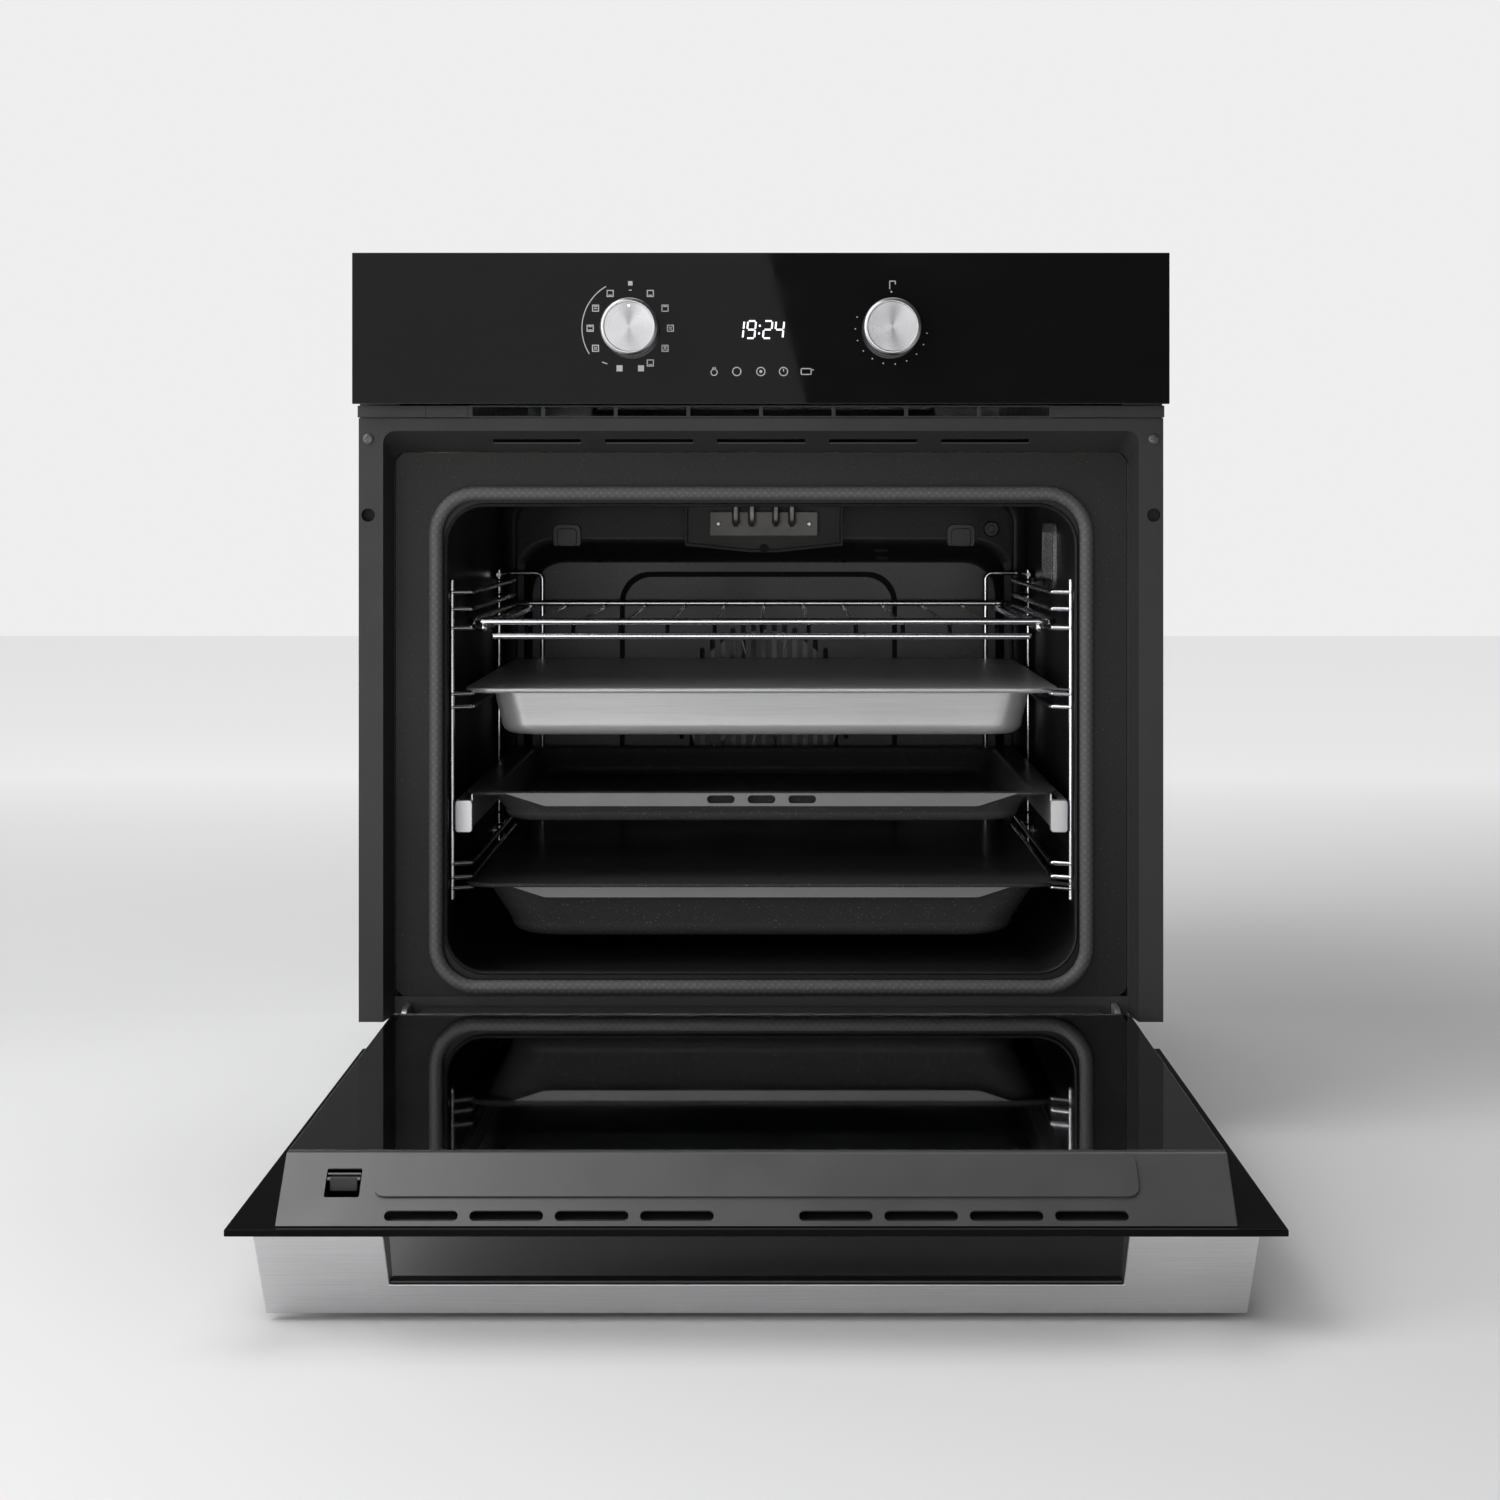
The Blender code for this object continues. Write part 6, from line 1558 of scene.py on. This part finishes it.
@dataclass
class Tray:
    """One pressed tray.

    Args:
        node: the node that it stands for.
        body: the body that it rides on.
        finish: its finish.
        flange: what its front edge carries.
        body_half: half width of its body under the rim.
        taper: how far its wall leans in from top to floor.
        fillet: radius where the wall meets the floor.
    """

    node: str
    body: Body
    finish: Finish
    flange: Flange
    body_half: float
    taper: float
    fillet: float
    gauge: float = 0.001
    corner: float = 0.022
    lip: float = 0.012
    flange_half: float = 0.165
    flange_run: float = 0.030
    flange_drop: float = 0.0105

    def build(self) -> None:
        """Build and dress the tray."""
        room = Room.of(self.node)
        rim, floor = room.high.z, room.low.z + self.gauge
        half = room.high.x
        front, back = room.low.y - FRONT_Y, room.high.y - FRONT_Y
        inset = half - self.body_half

        def outline(grow_x: float, grow_y: float, radius: float) -> list:
            """Return the tray's outline, drawn in.

            Args:
                grow_x: how far each side is drawn in.
                grow_y: how far the front and the back are drawn in.
                radius: radius of its corners.

            Returns:
                The outline's points.
            """
            return rounded(half - grow_x, front + grow_y, back - grow_y, radius)

        loops = [flat(outline(0.0008, 0.0008, self.corner), rim - 0.0022)]
        loops.append(flat(outline(0.0, 0.0, self.corner), rim - 0.0012))
        loops.append(flat(outline(0.0003, 0.0003, self.corner), rim - 0.0003))
        loops.append(flat(outline(0.0012, 0.0012, self.corner), rim))
        shoulder = 0.004
        for n in range(6):
            turn = math.radians(90 * n / 5)
            x = inset - shoulder * (1 - math.sin(turn))
            y = self.lip - shoulder * (1 - math.sin(turn))
            loops.append(flat(outline(x, y, self.corner), rim - shoulder * (1 - math.cos(turn))))
        drop = rim - shoulder - (floor + self.fillet)
        for n in range(1, 4):
            lean = self.taper * 0.75 * n / 3
            loops.append(
                flat(
                    outline(inset + lean, self.lip + lean, self.corner + lean * 0.3),
                    rim - shoulder - drop * n / 3
                )
            )
        for n in range(1, 8):
            turn = math.radians(90 * n / 7)
            lean = self.taper * 0.75 + (self.taper * 0.25 + self.fillet * 0.6) * (1 - math.cos(turn))
            height = floor + self.fillet * (1 - math.sin(turn))
            loops.append(flat(outline(inset + lean, self.lip + lean, self.corner + lean * 0.3), height))
        shell = Form().loft(loops).walled(self.gauge * 0.9, (0, 0, -1))
        shell.publish(f"{self.node}_pressing", self.body, self.finish, self.node)
        if self.flange is not Flange.ROLLED:
            self.front_flange(rim, front)

    def front_flange(self, rim: float, front: float) -> None:
        """Turn the front edge down between two sloping ends."""
        top, foot = rim - 0.0006, rim - self.flange_drop
        slope_x, straight = self.flange_half + self.flange_run, self.flange_half
        path = bends(
            [
                (-slope_x, 0, top - 0.0004), (-straight, 0, foot), (straight, 0, foot),
                (slope_x, 0, top - 0.0004)
            ], 0.012, 6
        )
        points = [Vector((-slope_x, deep(front), top))] + [Vector((p.x, deep(front), p.z)) for p in path]
        points.append(Vector((slope_x, deep(front), top)))
        form = Form().prism(points, (0, self.gauge, 0))
        if self.flange is Flange.SLOTTED:
            middle = (top + foot) / 2 + 0.0003
            cutters = []
            for n in (-1, 0, 1):
                outline = rounded(0.0105, middle - 0.0030, middle + 0.0030, 0.0029, n * 0.031, 6)
                cutters.append(Form().prism(upright(outline, front - 0.003), (0, 0.008, 0)))
            form = form.carved(*cutters)
        # The flange takes the lighter copy of the enamel: painted light on the edge.
        form.outward().ease(0.0002).publish(f"{self.node}_flange", self.body, FLANGE_ENAMEL_PAINTED_LIGHT)


# ---------------------------------------------------------------- controls
@dataclass
class Fascia:
    """The printed glass fascia with its display, touch marks and knobs."""

    mark_lift: float = 0.00008
    knob_height: float = 0.540
    pitch: float = 0.190
    line: float = 0.0007
    digit_height: float = 0.0125
    digit_width: float = 0.0058
    digit_line: float = 0.0012

    def build(self) -> None:
        """Build and dress the fascia."""
        refined("fascia_glass", Body.OVEN, FASCIA_BLACK, 0.0006, 3)
        refined("fascia_carrier", Body.OVEN, ZINC, 0.0004)
        refined("function_switch", Body.OVEN, PLASTIC, 0.0008, 3)
        refined("temperature_switch", Body.OVEN, PLASTIC, 0.0008, 3)
        refined("display_board", Body.OVEN, BOARD, 0.0002)
        refined("mains_terminal", Body.OVEN, PLASTIC, 0.0012, 3)
        self.function_marks()
        self.temperature_marks()
        self.clock()
        self.touch_marks()
        self.knob("function_knob", Body.FUNCTION_KNOB, -self.pitch / 2, True)
        self.knob("temperature_knob", Body.TEMPERATURE_KNOB, self.pitch / 2, False)

    def bar(self, form: Form, x: float, z: float, wide: float, tall: float, turn: float = 0.0) -> None:
        """Print a bar.

        Args:
            form: the form to add to.
            x: its middle.
            z: its middle height.
            wide: its width.
            tall: its height.
            turn: how far it is turned, in degrees.
        """
        made = bmesh.ops.create_cube(form.bm, size=1.0)
        matrix = Matrix.Translation(
            (x, FRONT_Y - self.mark_lift / 2, z)
        ) @ Matrix.Rotation(math.radians(turn), 4, "Y")
        matrix = matrix @ Matrix.Diagonal((wide, self.mark_lift, tall, 1.0))
        bmesh.ops.transform(form.bm, matrix=matrix, verts=made["verts"])

    def frame_mark(self, form: Form, x: float, z: float, size: float) -> None:
        """Print the outline of a square."""
        half = size / 2
        for sign in (-1, 1):
            self.bar(form, x, z + sign * half, size + self.line, self.line)
            self.bar(form, x + sign * half, z, self.line, size - self.line)

    def arc(self, form: Form, x: float, z: float, radius: float, start: float, sweep: float) -> None:
        """Print an arc, from a start angle over a sweep, in degrees clockwise from the top."""
        steps = max(8, int(abs(sweep) / 5))
        half = self.line / 2
        turn = math.radians(start)
        corners = []
        for reach, depth in ((-half, 0), (half, 0), (half, -self.mark_lift), (-half, -self.mark_lift)):
            spoke = radius + reach
            corners.append(
                form.bm.verts.new((x + spoke * math.sin(turn), FRONT_Y + depth, z + spoke * math.cos(turn)))
            )
        face = form.bm.faces.new(corners)
        full = abs(sweep) >= 360
        bmesh.ops.spin(
            form.bm, geom=[face], cent=(
                x, FRONT_Y, z
            ), axis=(0, 1, 0), angle=math.radians(sweep), steps=steps, use_merge=full
        )

    def dot(self, form: Form, x: float, z: float, radius: float) -> None:
        """Print a dot."""
        profile = [(0, 0), (radius, 0), (radius, self.mark_lift), (0, self.mark_lift)]
        form.turn(profile, (x, FRONT_Y, z), (0, -1, 0), 16)

    def function_marks(self) -> None:
        """Print the cooking functions round the left knob."""
        form = Form()
        cx, cz, reach, size = -self.pitch / 2, self.knob_height, 0.0292, 0.0044
        for hour in (1, 2, 3, 4, 5, 8, 9, 10, 11):
            turn = math.radians(30 * hour)
            x, z = cx + reach * math.sin(turn), cz + reach * math.cos(turn)
            self.frame_mark(form, x, z, size)
            if hour in (2, 4, 9, 10):
                self.bar(form, x, z + size * 0.28, size * 0.6, self.line)
            if hour in (1, 5, 9, 11):
                self.bar(form, x, z - size * 0.28, size * 0.6, self.line)
            if hour in (3, 4, 8):
                self.bar(form, x, z, size * 0.8, self.line * 0.8, 45)
                self.bar(form, x, z, size * 0.8, self.line * 0.8, -45)
            if hour == 10:
                self.bar(form, x, z - size * 0.05, size * 0.6, self.line)
        for hour in (5.5, 6.5):
            turn = math.radians(30 * hour)
            self.bar(
                form, cx + (reach + 0.001) * math.sin(turn), cz + (reach + 0.001) * math.cos(turn), size,
                size
            )
        self.bar(form, cx, cz + reach + 0.0035, 0.0032, 0.0032)
        self.bar(form, cx, cz + reach - 0.0015, 0.0022, self.line)
        turn = math.radians(210)
        self.bar(form, cx + reach * math.sin(turn) - 0.004, cz + reach * math.cos(turn), 0.004, self.line, 20)
        self.arc(form, cx, cz, 0.0352, -122, 92)
        # Printed in grey, with a weak painted glow.
        form.publish("function_marks", Body.OVEN, GREY_PRINT_PAINTED_GLOW)

    def temperature_marks(self) -> None:
        """Print the scale of dots and the start mark round the right knob."""
        form = Form()
        cx, cz = self.pitch / 2, self.knob_height
        for n in range(11):
            turn = math.radians(90 + 19 * n + 8)
            self.dot(form, cx + 0.0262 * math.sin(turn), cz + 0.0262 * math.cos(turn), 0.0005)
        self.bar(form, cx - 0.0012, cz + 0.0315, self.line, 0.0062)
        self.bar(form, cx + 0.0012, cz + 0.0343, 0.0040, self.line)
        self.bar(form, cx + 0.0028, cz + 0.0330, self.line, 0.0022)
        self.dot(form, cx, cz + 0.0265, 0.0007)
        # Printed in grey, with a weak painted glow.
        form.publish("temperature_marks", Body.OVEN, GREY_PRINT_PAINTED_GLOW)

    def clock(self) -> None:
        """Light the four digits of the clock."""
        form = Form()
        lit = {"0": "abcdef", "1": "bc", "2": "abged", "4": "fgbc", "9": "abcdfg"}
        wide, tall, line = self.digit_width, self.digit_height, self.digit_line
        segments = {
            "a": (0, tall / 2, wide - line, line),
            "g": (0, 0, wide - line, line),
            "d": (0, -tall / 2, wide - line, line),
            "f": (-wide / 2, tall / 4, line, tall / 2 - line),
            "b": (wide / 2, tall / 4, line, tall / 2 - line),
            "e": (-wide / 2, -tall / 4, line, tall / 2 - line),
            "c": (wide / 2, -tall / 4, line, tall / 2 - line),
        }
        lean = 0.10
        for digit, middle in (("1", -0.0155), ("9", -0.0070), ("2", 0.0050), ("4", 0.0135)):
            for segment in lit[digit]:
                x, z, w, h = segments[segment]
                turn = math.degrees(lean) if h > w else 0.0
                self.bar(form, middle + x + z * lean, self.knob_height - 0.001 + z, w, h, turn)
        for rise in (-0.0028, 0.0028):
            self.dot(form, -0.0010 + rise * lean, self.knob_height - 0.001 + rise, 0.0008)
        form.publish("clock_digits", Body.OVEN, DIGIT_LIGHT)

    def touch_marks(self) -> None:
        """Print the five touch marks under the clock."""
        form = Form()
        z, size = 0.5085, 0.0030
        self.arc(form, -0.034, z - 0.0006, size * 0.75, 0, 360)
        self.bar(form, -0.0350, z + 0.0020, self.line, 0.0026, 25)
        self.bar(form, -0.0330, z + 0.0020, self.line, 0.0026, -25)
        for x in (-0.0175, 0.0, 0.0165):
            self.arc(form, x, z, size, 0, 360)
        self.dot(form, 0.0, z, 0.0011)
        self.bar(form, 0.0165, z + 0.001, self.line, 0.002)
        for sign in (-1, 1):
            self.bar(form, 0.033, z + sign * 0.0021, 0.0072, self.line)
            self.bar(form, 0.033 + sign * 0.0036, z, self.line, 0.0042)
        self.bar(form, 0.0375, z + 0.0012, 0.002, self.line)
        # Printed in grey, with a weak painted glow.
        form.publish("touch_marks", Body.OVEN, GREY_PRINT_PAINTED_GLOW)

    def knob(self, node: str, body: Body, x: float, dotted: bool) -> None:
        """Turn a knob with a dished face and a bright chamfered rim.

        Args:
            node: the node that it stands for.
            body: the body that it rides on.
            x: its axis.
            dotted: whether its face has a pointer dot.
        """
        room = Room.of(node)
        radius, front, back = room.size.x / 2, 0.0, room.size.y
        skirt = FRONT_Y - room.low.y - 0.0015
        profile = [(0, front + 0.0011)]
        profile += [((radius - 0.0034) * n / 8, front + 0.0011 - 0.0004 * (n / 8) ** 2) for n in range(1, 9)]
        profile += [
            (radius - 0.0030, front + 0.0001), (radius - 0.0026, front), (radius - 0.0018, front + 0.0001)
        ]
        profile += [
            (radius - 0.0006, front + 0.0011), (radius - 0.0001, front + 0.0018), (radius, front + 0.0030)
        ]
        profile += [
            (radius, skirt - 0.0030), (radius - 0.0003, skirt - 0.0026), (radius - 0.0003, skirt - 0.0018)
        ]
        profile += [(radius, skirt - 0.0014), (radius, skirt - 0.0003), (radius - 0.0004, skirt)]
        profile += [(0.0032, skirt), (0.0030, skirt + 0.0004), (0.0030, back), (0, back)]
        finish = Turned(
            f"{node}_aluminium", Slot.KNOB, (0.50, 0.50, 0.51), (0.26, 0.34), 1.0, 0.08, 30.0,
            centre=(x, self.knob_height)
        )
        knob = Form().turn(profile, (x, room.low.y, self.knob_height), (0, 1, 0), 128)
        knob.outward().publish(f"{node}_cap", body, finish, node)
        if dotted:
            spot = Form()
            dot = [(0, 0), (0.0009, 0), (0.0008, 0.0003), (0, 0.0003)]
            spot.turn(dot, (x, room.low.y + 0.0008, self.knob_height + 0.0150), (0, -1, 0), 20)
            # The pointer dot takes the clock's lit material: a painted glow, as the dot is no lamp.
            spot.publish("pointer_dot_painted_glow", body, DIGIT_LIGHT)


# ---------------------------------------------------------------- door
@dataclass
class Door:
    """The open glass door with its top profile, cover strip, catch and side profiles."""

    half: float = 0.270
    top: float = 0.476
    shoulder: float = 0.442
    first: float = 0.0043
    back: float = 0.037
    gauge: float = 0.0012
    glass_top: float = 0.436
    vents: int = 4
    vent_start: float = 0.0447
    vent_pitch: float = 0.048
    vent_length: float = 0.0415
    vent_width: float = 0.0066
    vent_depth: float = 0.009
    catch_x: float = 0.235
    catch_width: float = 0.020
    window_half: float = 0.228
    window_low: float = 0.084
    window_high: float = 0.392

    def slope(self, depth: float) -> float:
        """Return the height of the sloping cap at a depth, with the door shut."""
        return self.top - (self.top - self.shoulder) * (depth - self.first) / (self.back - self.first)

    def build(self) -> None:
        """Build and dress the door."""
        refined("outer_glass", Body.DOOR, DOOR_BLACK, 0.0006, 3)
        refined("middle_glass", Body.DOOR, MIDDLE_CLEAR, 0.0004, 2)
        refined("inner_glass", Body.DOOR, INNER_CLEAR, 0.0005, 3)
        refined("door_cover_strip", Body.DOOR, PROFILE_PAINT, 0.0002)
        refined("door_catch", Body.DOOR, PLASTIC, 0.0008, 3)
        for side, _ in SIDES:
            refined(f"{side}_door_profile", Body.DOOR, DARK_PAINT, 0.0003)
        refined("door_bottom_profile", Body.DOOR, DARK_PAINT, 0.0003)
        self.print_border()
        self.cap()
        self.catch_frame()

    def print_border(self) -> None:
        """Print the black border under the inner glass, round its clear window."""
        room = Room.of("inner_glass")
        level = room.low.z - 0.00015
        near, far = laid(0, 0, self.window_low).y - FRONT_Y, laid(0, 0, self.window_high).y - FRONT_Y
        outer = rounded(
            room.high.x - 0.0006, room.low.y - FRONT_Y + 0.0006, room.high.y - FRONT_Y - 0.0006, 0.0012
        )
        inner = rounded(self.window_half, far, near, 0.020)
        form = Form()
        lift = 0.0001
        loops = [flat(outer, level), flat(inner, level), flat(inner, level - lift), flat(outer, level - lift)]
        form.loft(loops, closed=True).outward().publish("border_print", Body.DOOR, PRINT_BLACK)

    def cap(self) -> None:
        """Fold the top profile and cut its rounded vent slots and the catch's opening."""
        fall = (self.top - self.shoulder) / (self.back - self.first)
        drop = self.gauge * math.hypot(1, fall)
        foot = self.glass_top + 0.0003
        inner_back, inner_first = self.back - self.gauge, self.first + self.gauge
        profile = [
            (self.first, foot + 0.004),
            (self.first, self.top),
            (self.back, self.shoulder),
            (self.back, foot),
            (inner_back, foot),
            (inner_back, self.slope(inner_back) - drop),
            (inner_first, self.slope(inner_first) - drop),
            (inner_first, foot + 0.004),
        ]
        points = [laid(-self.half, depth, height) for depth, height in profile]
        form = Form().prism(points, (2 * self.half, 0, 0)).outward().ease(0.0006, 3)
        cutters = []
        for _, side in SIDES:
            for n in range(self.vents):
                x = side * (self.vent_start + n * self.vent_pitch)
                cutters.append(
                    self.slot_cutter(x, self.vent_length, self.vent_width, self.vent_depth, 0.0031)
                )
        cutters.append(self.slot_cutter(-self.catch_x, self.catch_width, 0.0185, 0.0235, 0.0012))
        form.carved(*cutters).publish("door_cap", Body.DOOR, PROFILE_PAINT, "door_top_profile")

    def slot_cutter(self, x: float, length: float, width: float, depth: float, radius: float) -> Form:
        """Return a cutter that goes square through the sloping cap.

        Args:
            x: middle of the slot.
            length: along the door's width.
            width: along the slope.
            depth: where it lies on the slope.
            radius: radius of its corners.
        """
        low, high = laid(0, self.back, self.shoulder), laid(0, self.first, self.top)
        along = (high - low).normalized()
        normal = Vector((1, 0, 0)).cross(along).normalized()
        middle = laid(x, depth, self.slope(depth))
        outline = rounded(length / 2, -width / 2, width / 2, radius, 0.0, 6)
        points = [middle + Vector((a, 0, 0)) + along * b - normal * 0.006 for a, b in outline]
        return Form().prism(points, tuple(normal * 0.012))

    def catch_frame(self) -> None:
        """Add the folded clip that holds the catch in its opening."""
        low, high = laid(0, self.back, self.shoulder), laid(0, self.first, self.top)
        along = (high - low).normalized()
        middle = laid(-self.catch_x, 0.0235, self.slope(0.0235))
        normal = Vector((1, 0, 0)).cross(along).normalized()
        if normal.z < 0:
            normal = -normal
        form = Form()
        for offset, thick in ((0.0030, 0.0011), (0.0062, 0.0007)):
            centre = middle + along * (-offset) - normal * 0.0008
            path = [centre - Vector((0.0094, 0, 0)), centre + Vector((0.0094, 0, 0))]
            form.tube(path, thick, 10)
        form.publish("catch_clip", Body.DOOR, PROFILE_PAINT)


@dataclass
class Handle:
    """The wide bar handle across the door's upper edge."""

    edge: float = 0.0009

    def build(self) -> None:
        """Build and dress the handle."""
        Form.of_node("handle").ease(self.edge, 4).publish("handle_bar", Body.DOOR, HANDLE_STEEL, "handle")
        refined("handle_strip", Body.DOOR, PLASTIC, 0.0003)


@dataclass
class Hinges:
    """The two spring hinges: arm, housing and spring rod on each side."""

    turns: int = 26
    wire: float = 0.0009
    coil: float = 0.0029
    path_steps: int = 14

    def build(self) -> None:
        """Build and dress the hinges."""
        springs = {"left": Body.LEFT_SPRING, "right": Body.RIGHT_SPRING}
        for name, _ in SIDES:
            refined(f"{name}_hinge_arm", Body.OVEN, RAIL_STEEL, 0.0004)
            refined(f"{name}_hinge_housing", Body.DOOR, ZINC, 0.0003)
            self.spring(name, springs[name])

    def spring(self, name: str, body: Body) -> None:
        """Wind a spring round its rod.

        Args:
            name: which side.
            body: the rod's body.
        """
        room = Room.of(f"{name}_spring_rod")
        x, z = room.centre.x, room.centre.z
        form = Form()
        form.tube([(x, room.low.y, z), (x, room.high.y, z)], 0.0019, 14)
        form.tube([(x, room.high.y - 0.0045, z), (x, room.high.y, z)], 0.0026, 6)
        start, length = room.low.y + 0.002, room.size.y - 0.009
        count = self.turns * self.path_steps
        path = []
        for n in range(count + 1):
            turn = 2 * math.pi * n / self.path_steps
            y = start + length * n / count
            path.append((x + self.coil * math.cos(turn), y, z + self.coil * math.sin(turn)))
        form.tube(path, self.wire * 0.85, 6)
        form.publish(f"{name}_spring", body, RAIL_STEEL, f"{name}_spring_rod")


# ---------------------------------------------------------------- fans
@dataclass
class Fans:
    """The convection fan and the cooling blower with their motors."""

    core_turns: int = 9
    stack: float = 0.010

    def build(self) -> None:
        """Build and dress the fans."""
        Form.of_node("convection_fan").publish("fan_wheel", Body.FAN, WHEEL_STEEL, "convection_fan")
        Form.of_node("blower_rotor").publish("blower_wheel", Body.BLOWER, ZINC, "blower_rotor")
        refined("blower_housing", Body.OVEN, ZINC, 0.0003)
        for node in ("fan_motor", "blower_motor"):
            Form.of_node(node).ease(0.0005, 2, 50).publish(f"{node}_can", Body.OVEN, DARK_PAINT, node)
        self.windings()

    def windings(self) -> None:
        """Wind a coil round each motor's waist."""
        for node, direction in (("fan_motor", Axis.Y), ("blower_motor", Axis.X)):
            room = Room.of(node)
            radius = room.size.z / 2
            form = Form()
            way = Vector(direction.value)
            for n in range(self.core_turns):
                along = (n / (self.core_turns - 1) - 0.5) * self.stack
                centre = room.centre + way * (along + 0.003)
                side = way.orthogonal().normalized()
                other = way.cross(side)
                ring = []
                for k in range(40):
                    turn = 2 * math.pi * k / 40
                    ring.append(centre + (side * math.cos(turn) + other * math.sin(turn)) * (radius + 0.0004))
                form.tube(ring, 0.0006, 6, closed=True)
            form.publish(f"{node}_winding", Body.OVEN, TUBE_STEEL)


# ---------------------------------------------------------------- studio
@dataclass
class Studio:
    """A plain pale floor, soft light and the camera."""

    camera_place: tuple = (0.011, -2.116, 0.4085)
    lens: float = 59.7
    sensor: float = 36.0
    shift: tuple = (-0.0173, -0.1607)
    floor_drop: float = 0.004
    floor_size: float = 14.0
    sky: float = 0.06
    backdrop: float = 0.86
    overhead: float = 1.0
    far_glow: float = 0.45
    glow_range: tuple = (0.2, 2.2)
    card_lean: float = 14.0

    def build(self) -> None:
        """Set up the camera, the floor and the lights."""
        self.camera()
        self.floor()
        self.lights()

    def camera(self) -> None:
        """Place the camera, level and square to the oven's front."""
        data = bpy.data.cameras.new("camera")
        data.lens = self.lens
        data.sensor_width = self.sensor
        data.shift_x, data.shift_y = self.shift
        camera = bpy.data.objects.new("camera", data)
        camera.location = self.camera_place
        camera.rotation_euler = (math.radians(90), 0, 0)
        bpy.context.scene.collection.objects.link(camera)
        bpy.context.scene.camera = camera

    def floor(self) -> None:
        """Lay the floor just under the lowest point of the oven."""
        bm = bmesh.new()
        bmesh.ops.create_grid(bm, x_segments=1, y_segments=1, size=self.floor_size / 2)
        bmesh.ops.translate(bm, vec=(0, 0, CAD_BOX[0].z - self.floor_drop), verts=bm.verts)
        mesh = bpy.data.meshes.new("floor")
        bm.to_mesh(mesh)
        bm.free()
        graph = Graph("pale_floor")
        graph.set(Roughness=0.8)
        graph.link(
            graph.blend(graph.noise(0.8, 2.0), (0.88, 0.88, 0.88), (0.92, 0.92, 0.92)),
            graph.shader.inputs["Base Color"]
        )
        axes = graph.node("ShaderNodeSeparateXYZ")
        graph.link(graph.mapped((1.0, 1.0, 1.0)), axes.inputs[0])
        glow = graph.spread(axes.outputs["Y"], 0.0, self.far_glow, *self.glow_range)
        graph.link(glow, graph.shader.inputs["Emission Strength"])
        mesh.materials.append(graph.material)
        floor = bpy.data.objects.new("floor", mesh)
        bpy.context.scene.collection.objects.link(floor)

    def lamp(
        self, name: str, place: tuple, target: tuple, size: tuple, power: float, roll: float = 0.0
    ) -> None:
        """Add a soft rectangular light.

        Args:
            name: its name.
            place: where it stands.
            target: the point that it faces.
            size: its width and height.
            power: in watts.
            roll: turn about the way that it faces, in degrees.
        """
        data = bpy.data.lights.new(name, "AREA")
        data.shape = "RECTANGLE"
        data.size, data.size_y = size
        data.energy = power
        light = bpy.data.objects.new(name, data)
        light.location = place
        facing = (Vector(target) - Vector(place)).to_track_quat("-Z", "Y").to_matrix()
        light.rotation_euler = (facing @ Matrix.Rotation(math.radians(roll), 3, "Z")).to_euler()
        bpy.context.scene.collection.objects.link(light)

    def lights(self) -> None:
        """Light the oven softly, mostly from the upper left."""
        self.sky_light()
        bpy.context.scene.view_settings.view_transform = "Standard"
        self.lamp("card_left", (-1.70, -3.4, 0.9), (-1.70, 0.0, 0.9), (3.3, 3.4), 12.0, self.card_lean)
        self.lamp("key_left", (-2.6, -1.4, 0.9), (0.0, -0.3, 0.25), (1.2, 1.8), 24.0)
        self.lamp("low_front", (-0.5, -2.7, 0.20), (0.0, 0.0, 0.17), (2.4, 0.55), 11.0)
        self.lamp("high_front", (-0.55, -2.5, 1.02), (0.0, 0.1, 0.27), (1.9, 0.30), 5.0)
        self.lamp("top_left", (-1.25, -1.1, 1.9), (-0.35, -0.7, 0.0), (1.5, 1.5), 24.0)
        self.sun()

    def sky_light(self) -> None:
        """Make the surroundings pale to look at and dim to light with."""
        world = bpy.data.worlds.new("studio")
        world.use_nodes = True
        tree = world.node_tree
        back = tree.nodes["Background"]
        back.inputs["Color"].default_value = (1.0, 1.0, 1.0, 1.0)
        path = tree.nodes.new("ShaderNodeLightPath")
        mix = tree.nodes.new("ShaderNodeMix")
        mix.inputs["A"].default_value = self.sky
        mix.inputs["B"].default_value = self.backdrop
        tree.links.new(path.outputs["Is Camera Ray"], mix.inputs["Factor"])
        tree.links.new(mix.outputs["Result"], back.inputs["Strength"])
        bpy.context.scene.world = world

    def sun(self) -> None:
        """Add the broad overhead light that keeps the floor evenly pale."""
        data = bpy.data.lights.new("overhead", "SUN")
        data.energy = self.overhead
        data.angle = math.radians(50)
        light = bpy.data.objects.new("overhead", data)
        light.rotation_euler = (math.radians(-28), 0, 0)
        bpy.context.scene.collection.objects.link(light)


# ---------------------------------------------------------------- assembly
def main() -> None:
    """Build the oven's sub-assemblies in order."""
    logging.basicConfig(level=logging.INFO, format="%(message)s")
    Studio().build()
    Casing().build()
    FrontFrame().build()
    Cavity().build()
    FanCover().build()
    Heating().build()
    Lamp().build()
    SideRacks().build()
    TelescopicRails().build()
    WireShelf().build()
    trays = (
        Tray("steel_tray", Body.STEEL_TRAY, TRAY_STEEL, Flange.ROLLED, 0.206, 0.006, 0.010),
        Tray("enamel_tray", Body.RUNNERS, TRAY_ENAMEL, Flange.SLOTTED, 0.206, 0.010, 0.007),
        Tray("deep_tray", Body.DEEP_TRAY, TRAY_ENAMEL, Flange.PLAIN, 0.210, 0.020, 0.012),
    )
    for tray in trays:
        tray.build()
    Fascia().build()
    Door().build()
    Handle().build()
    Hinges().build()
    Fans().build()


if __name__ == "__main__":
    main()
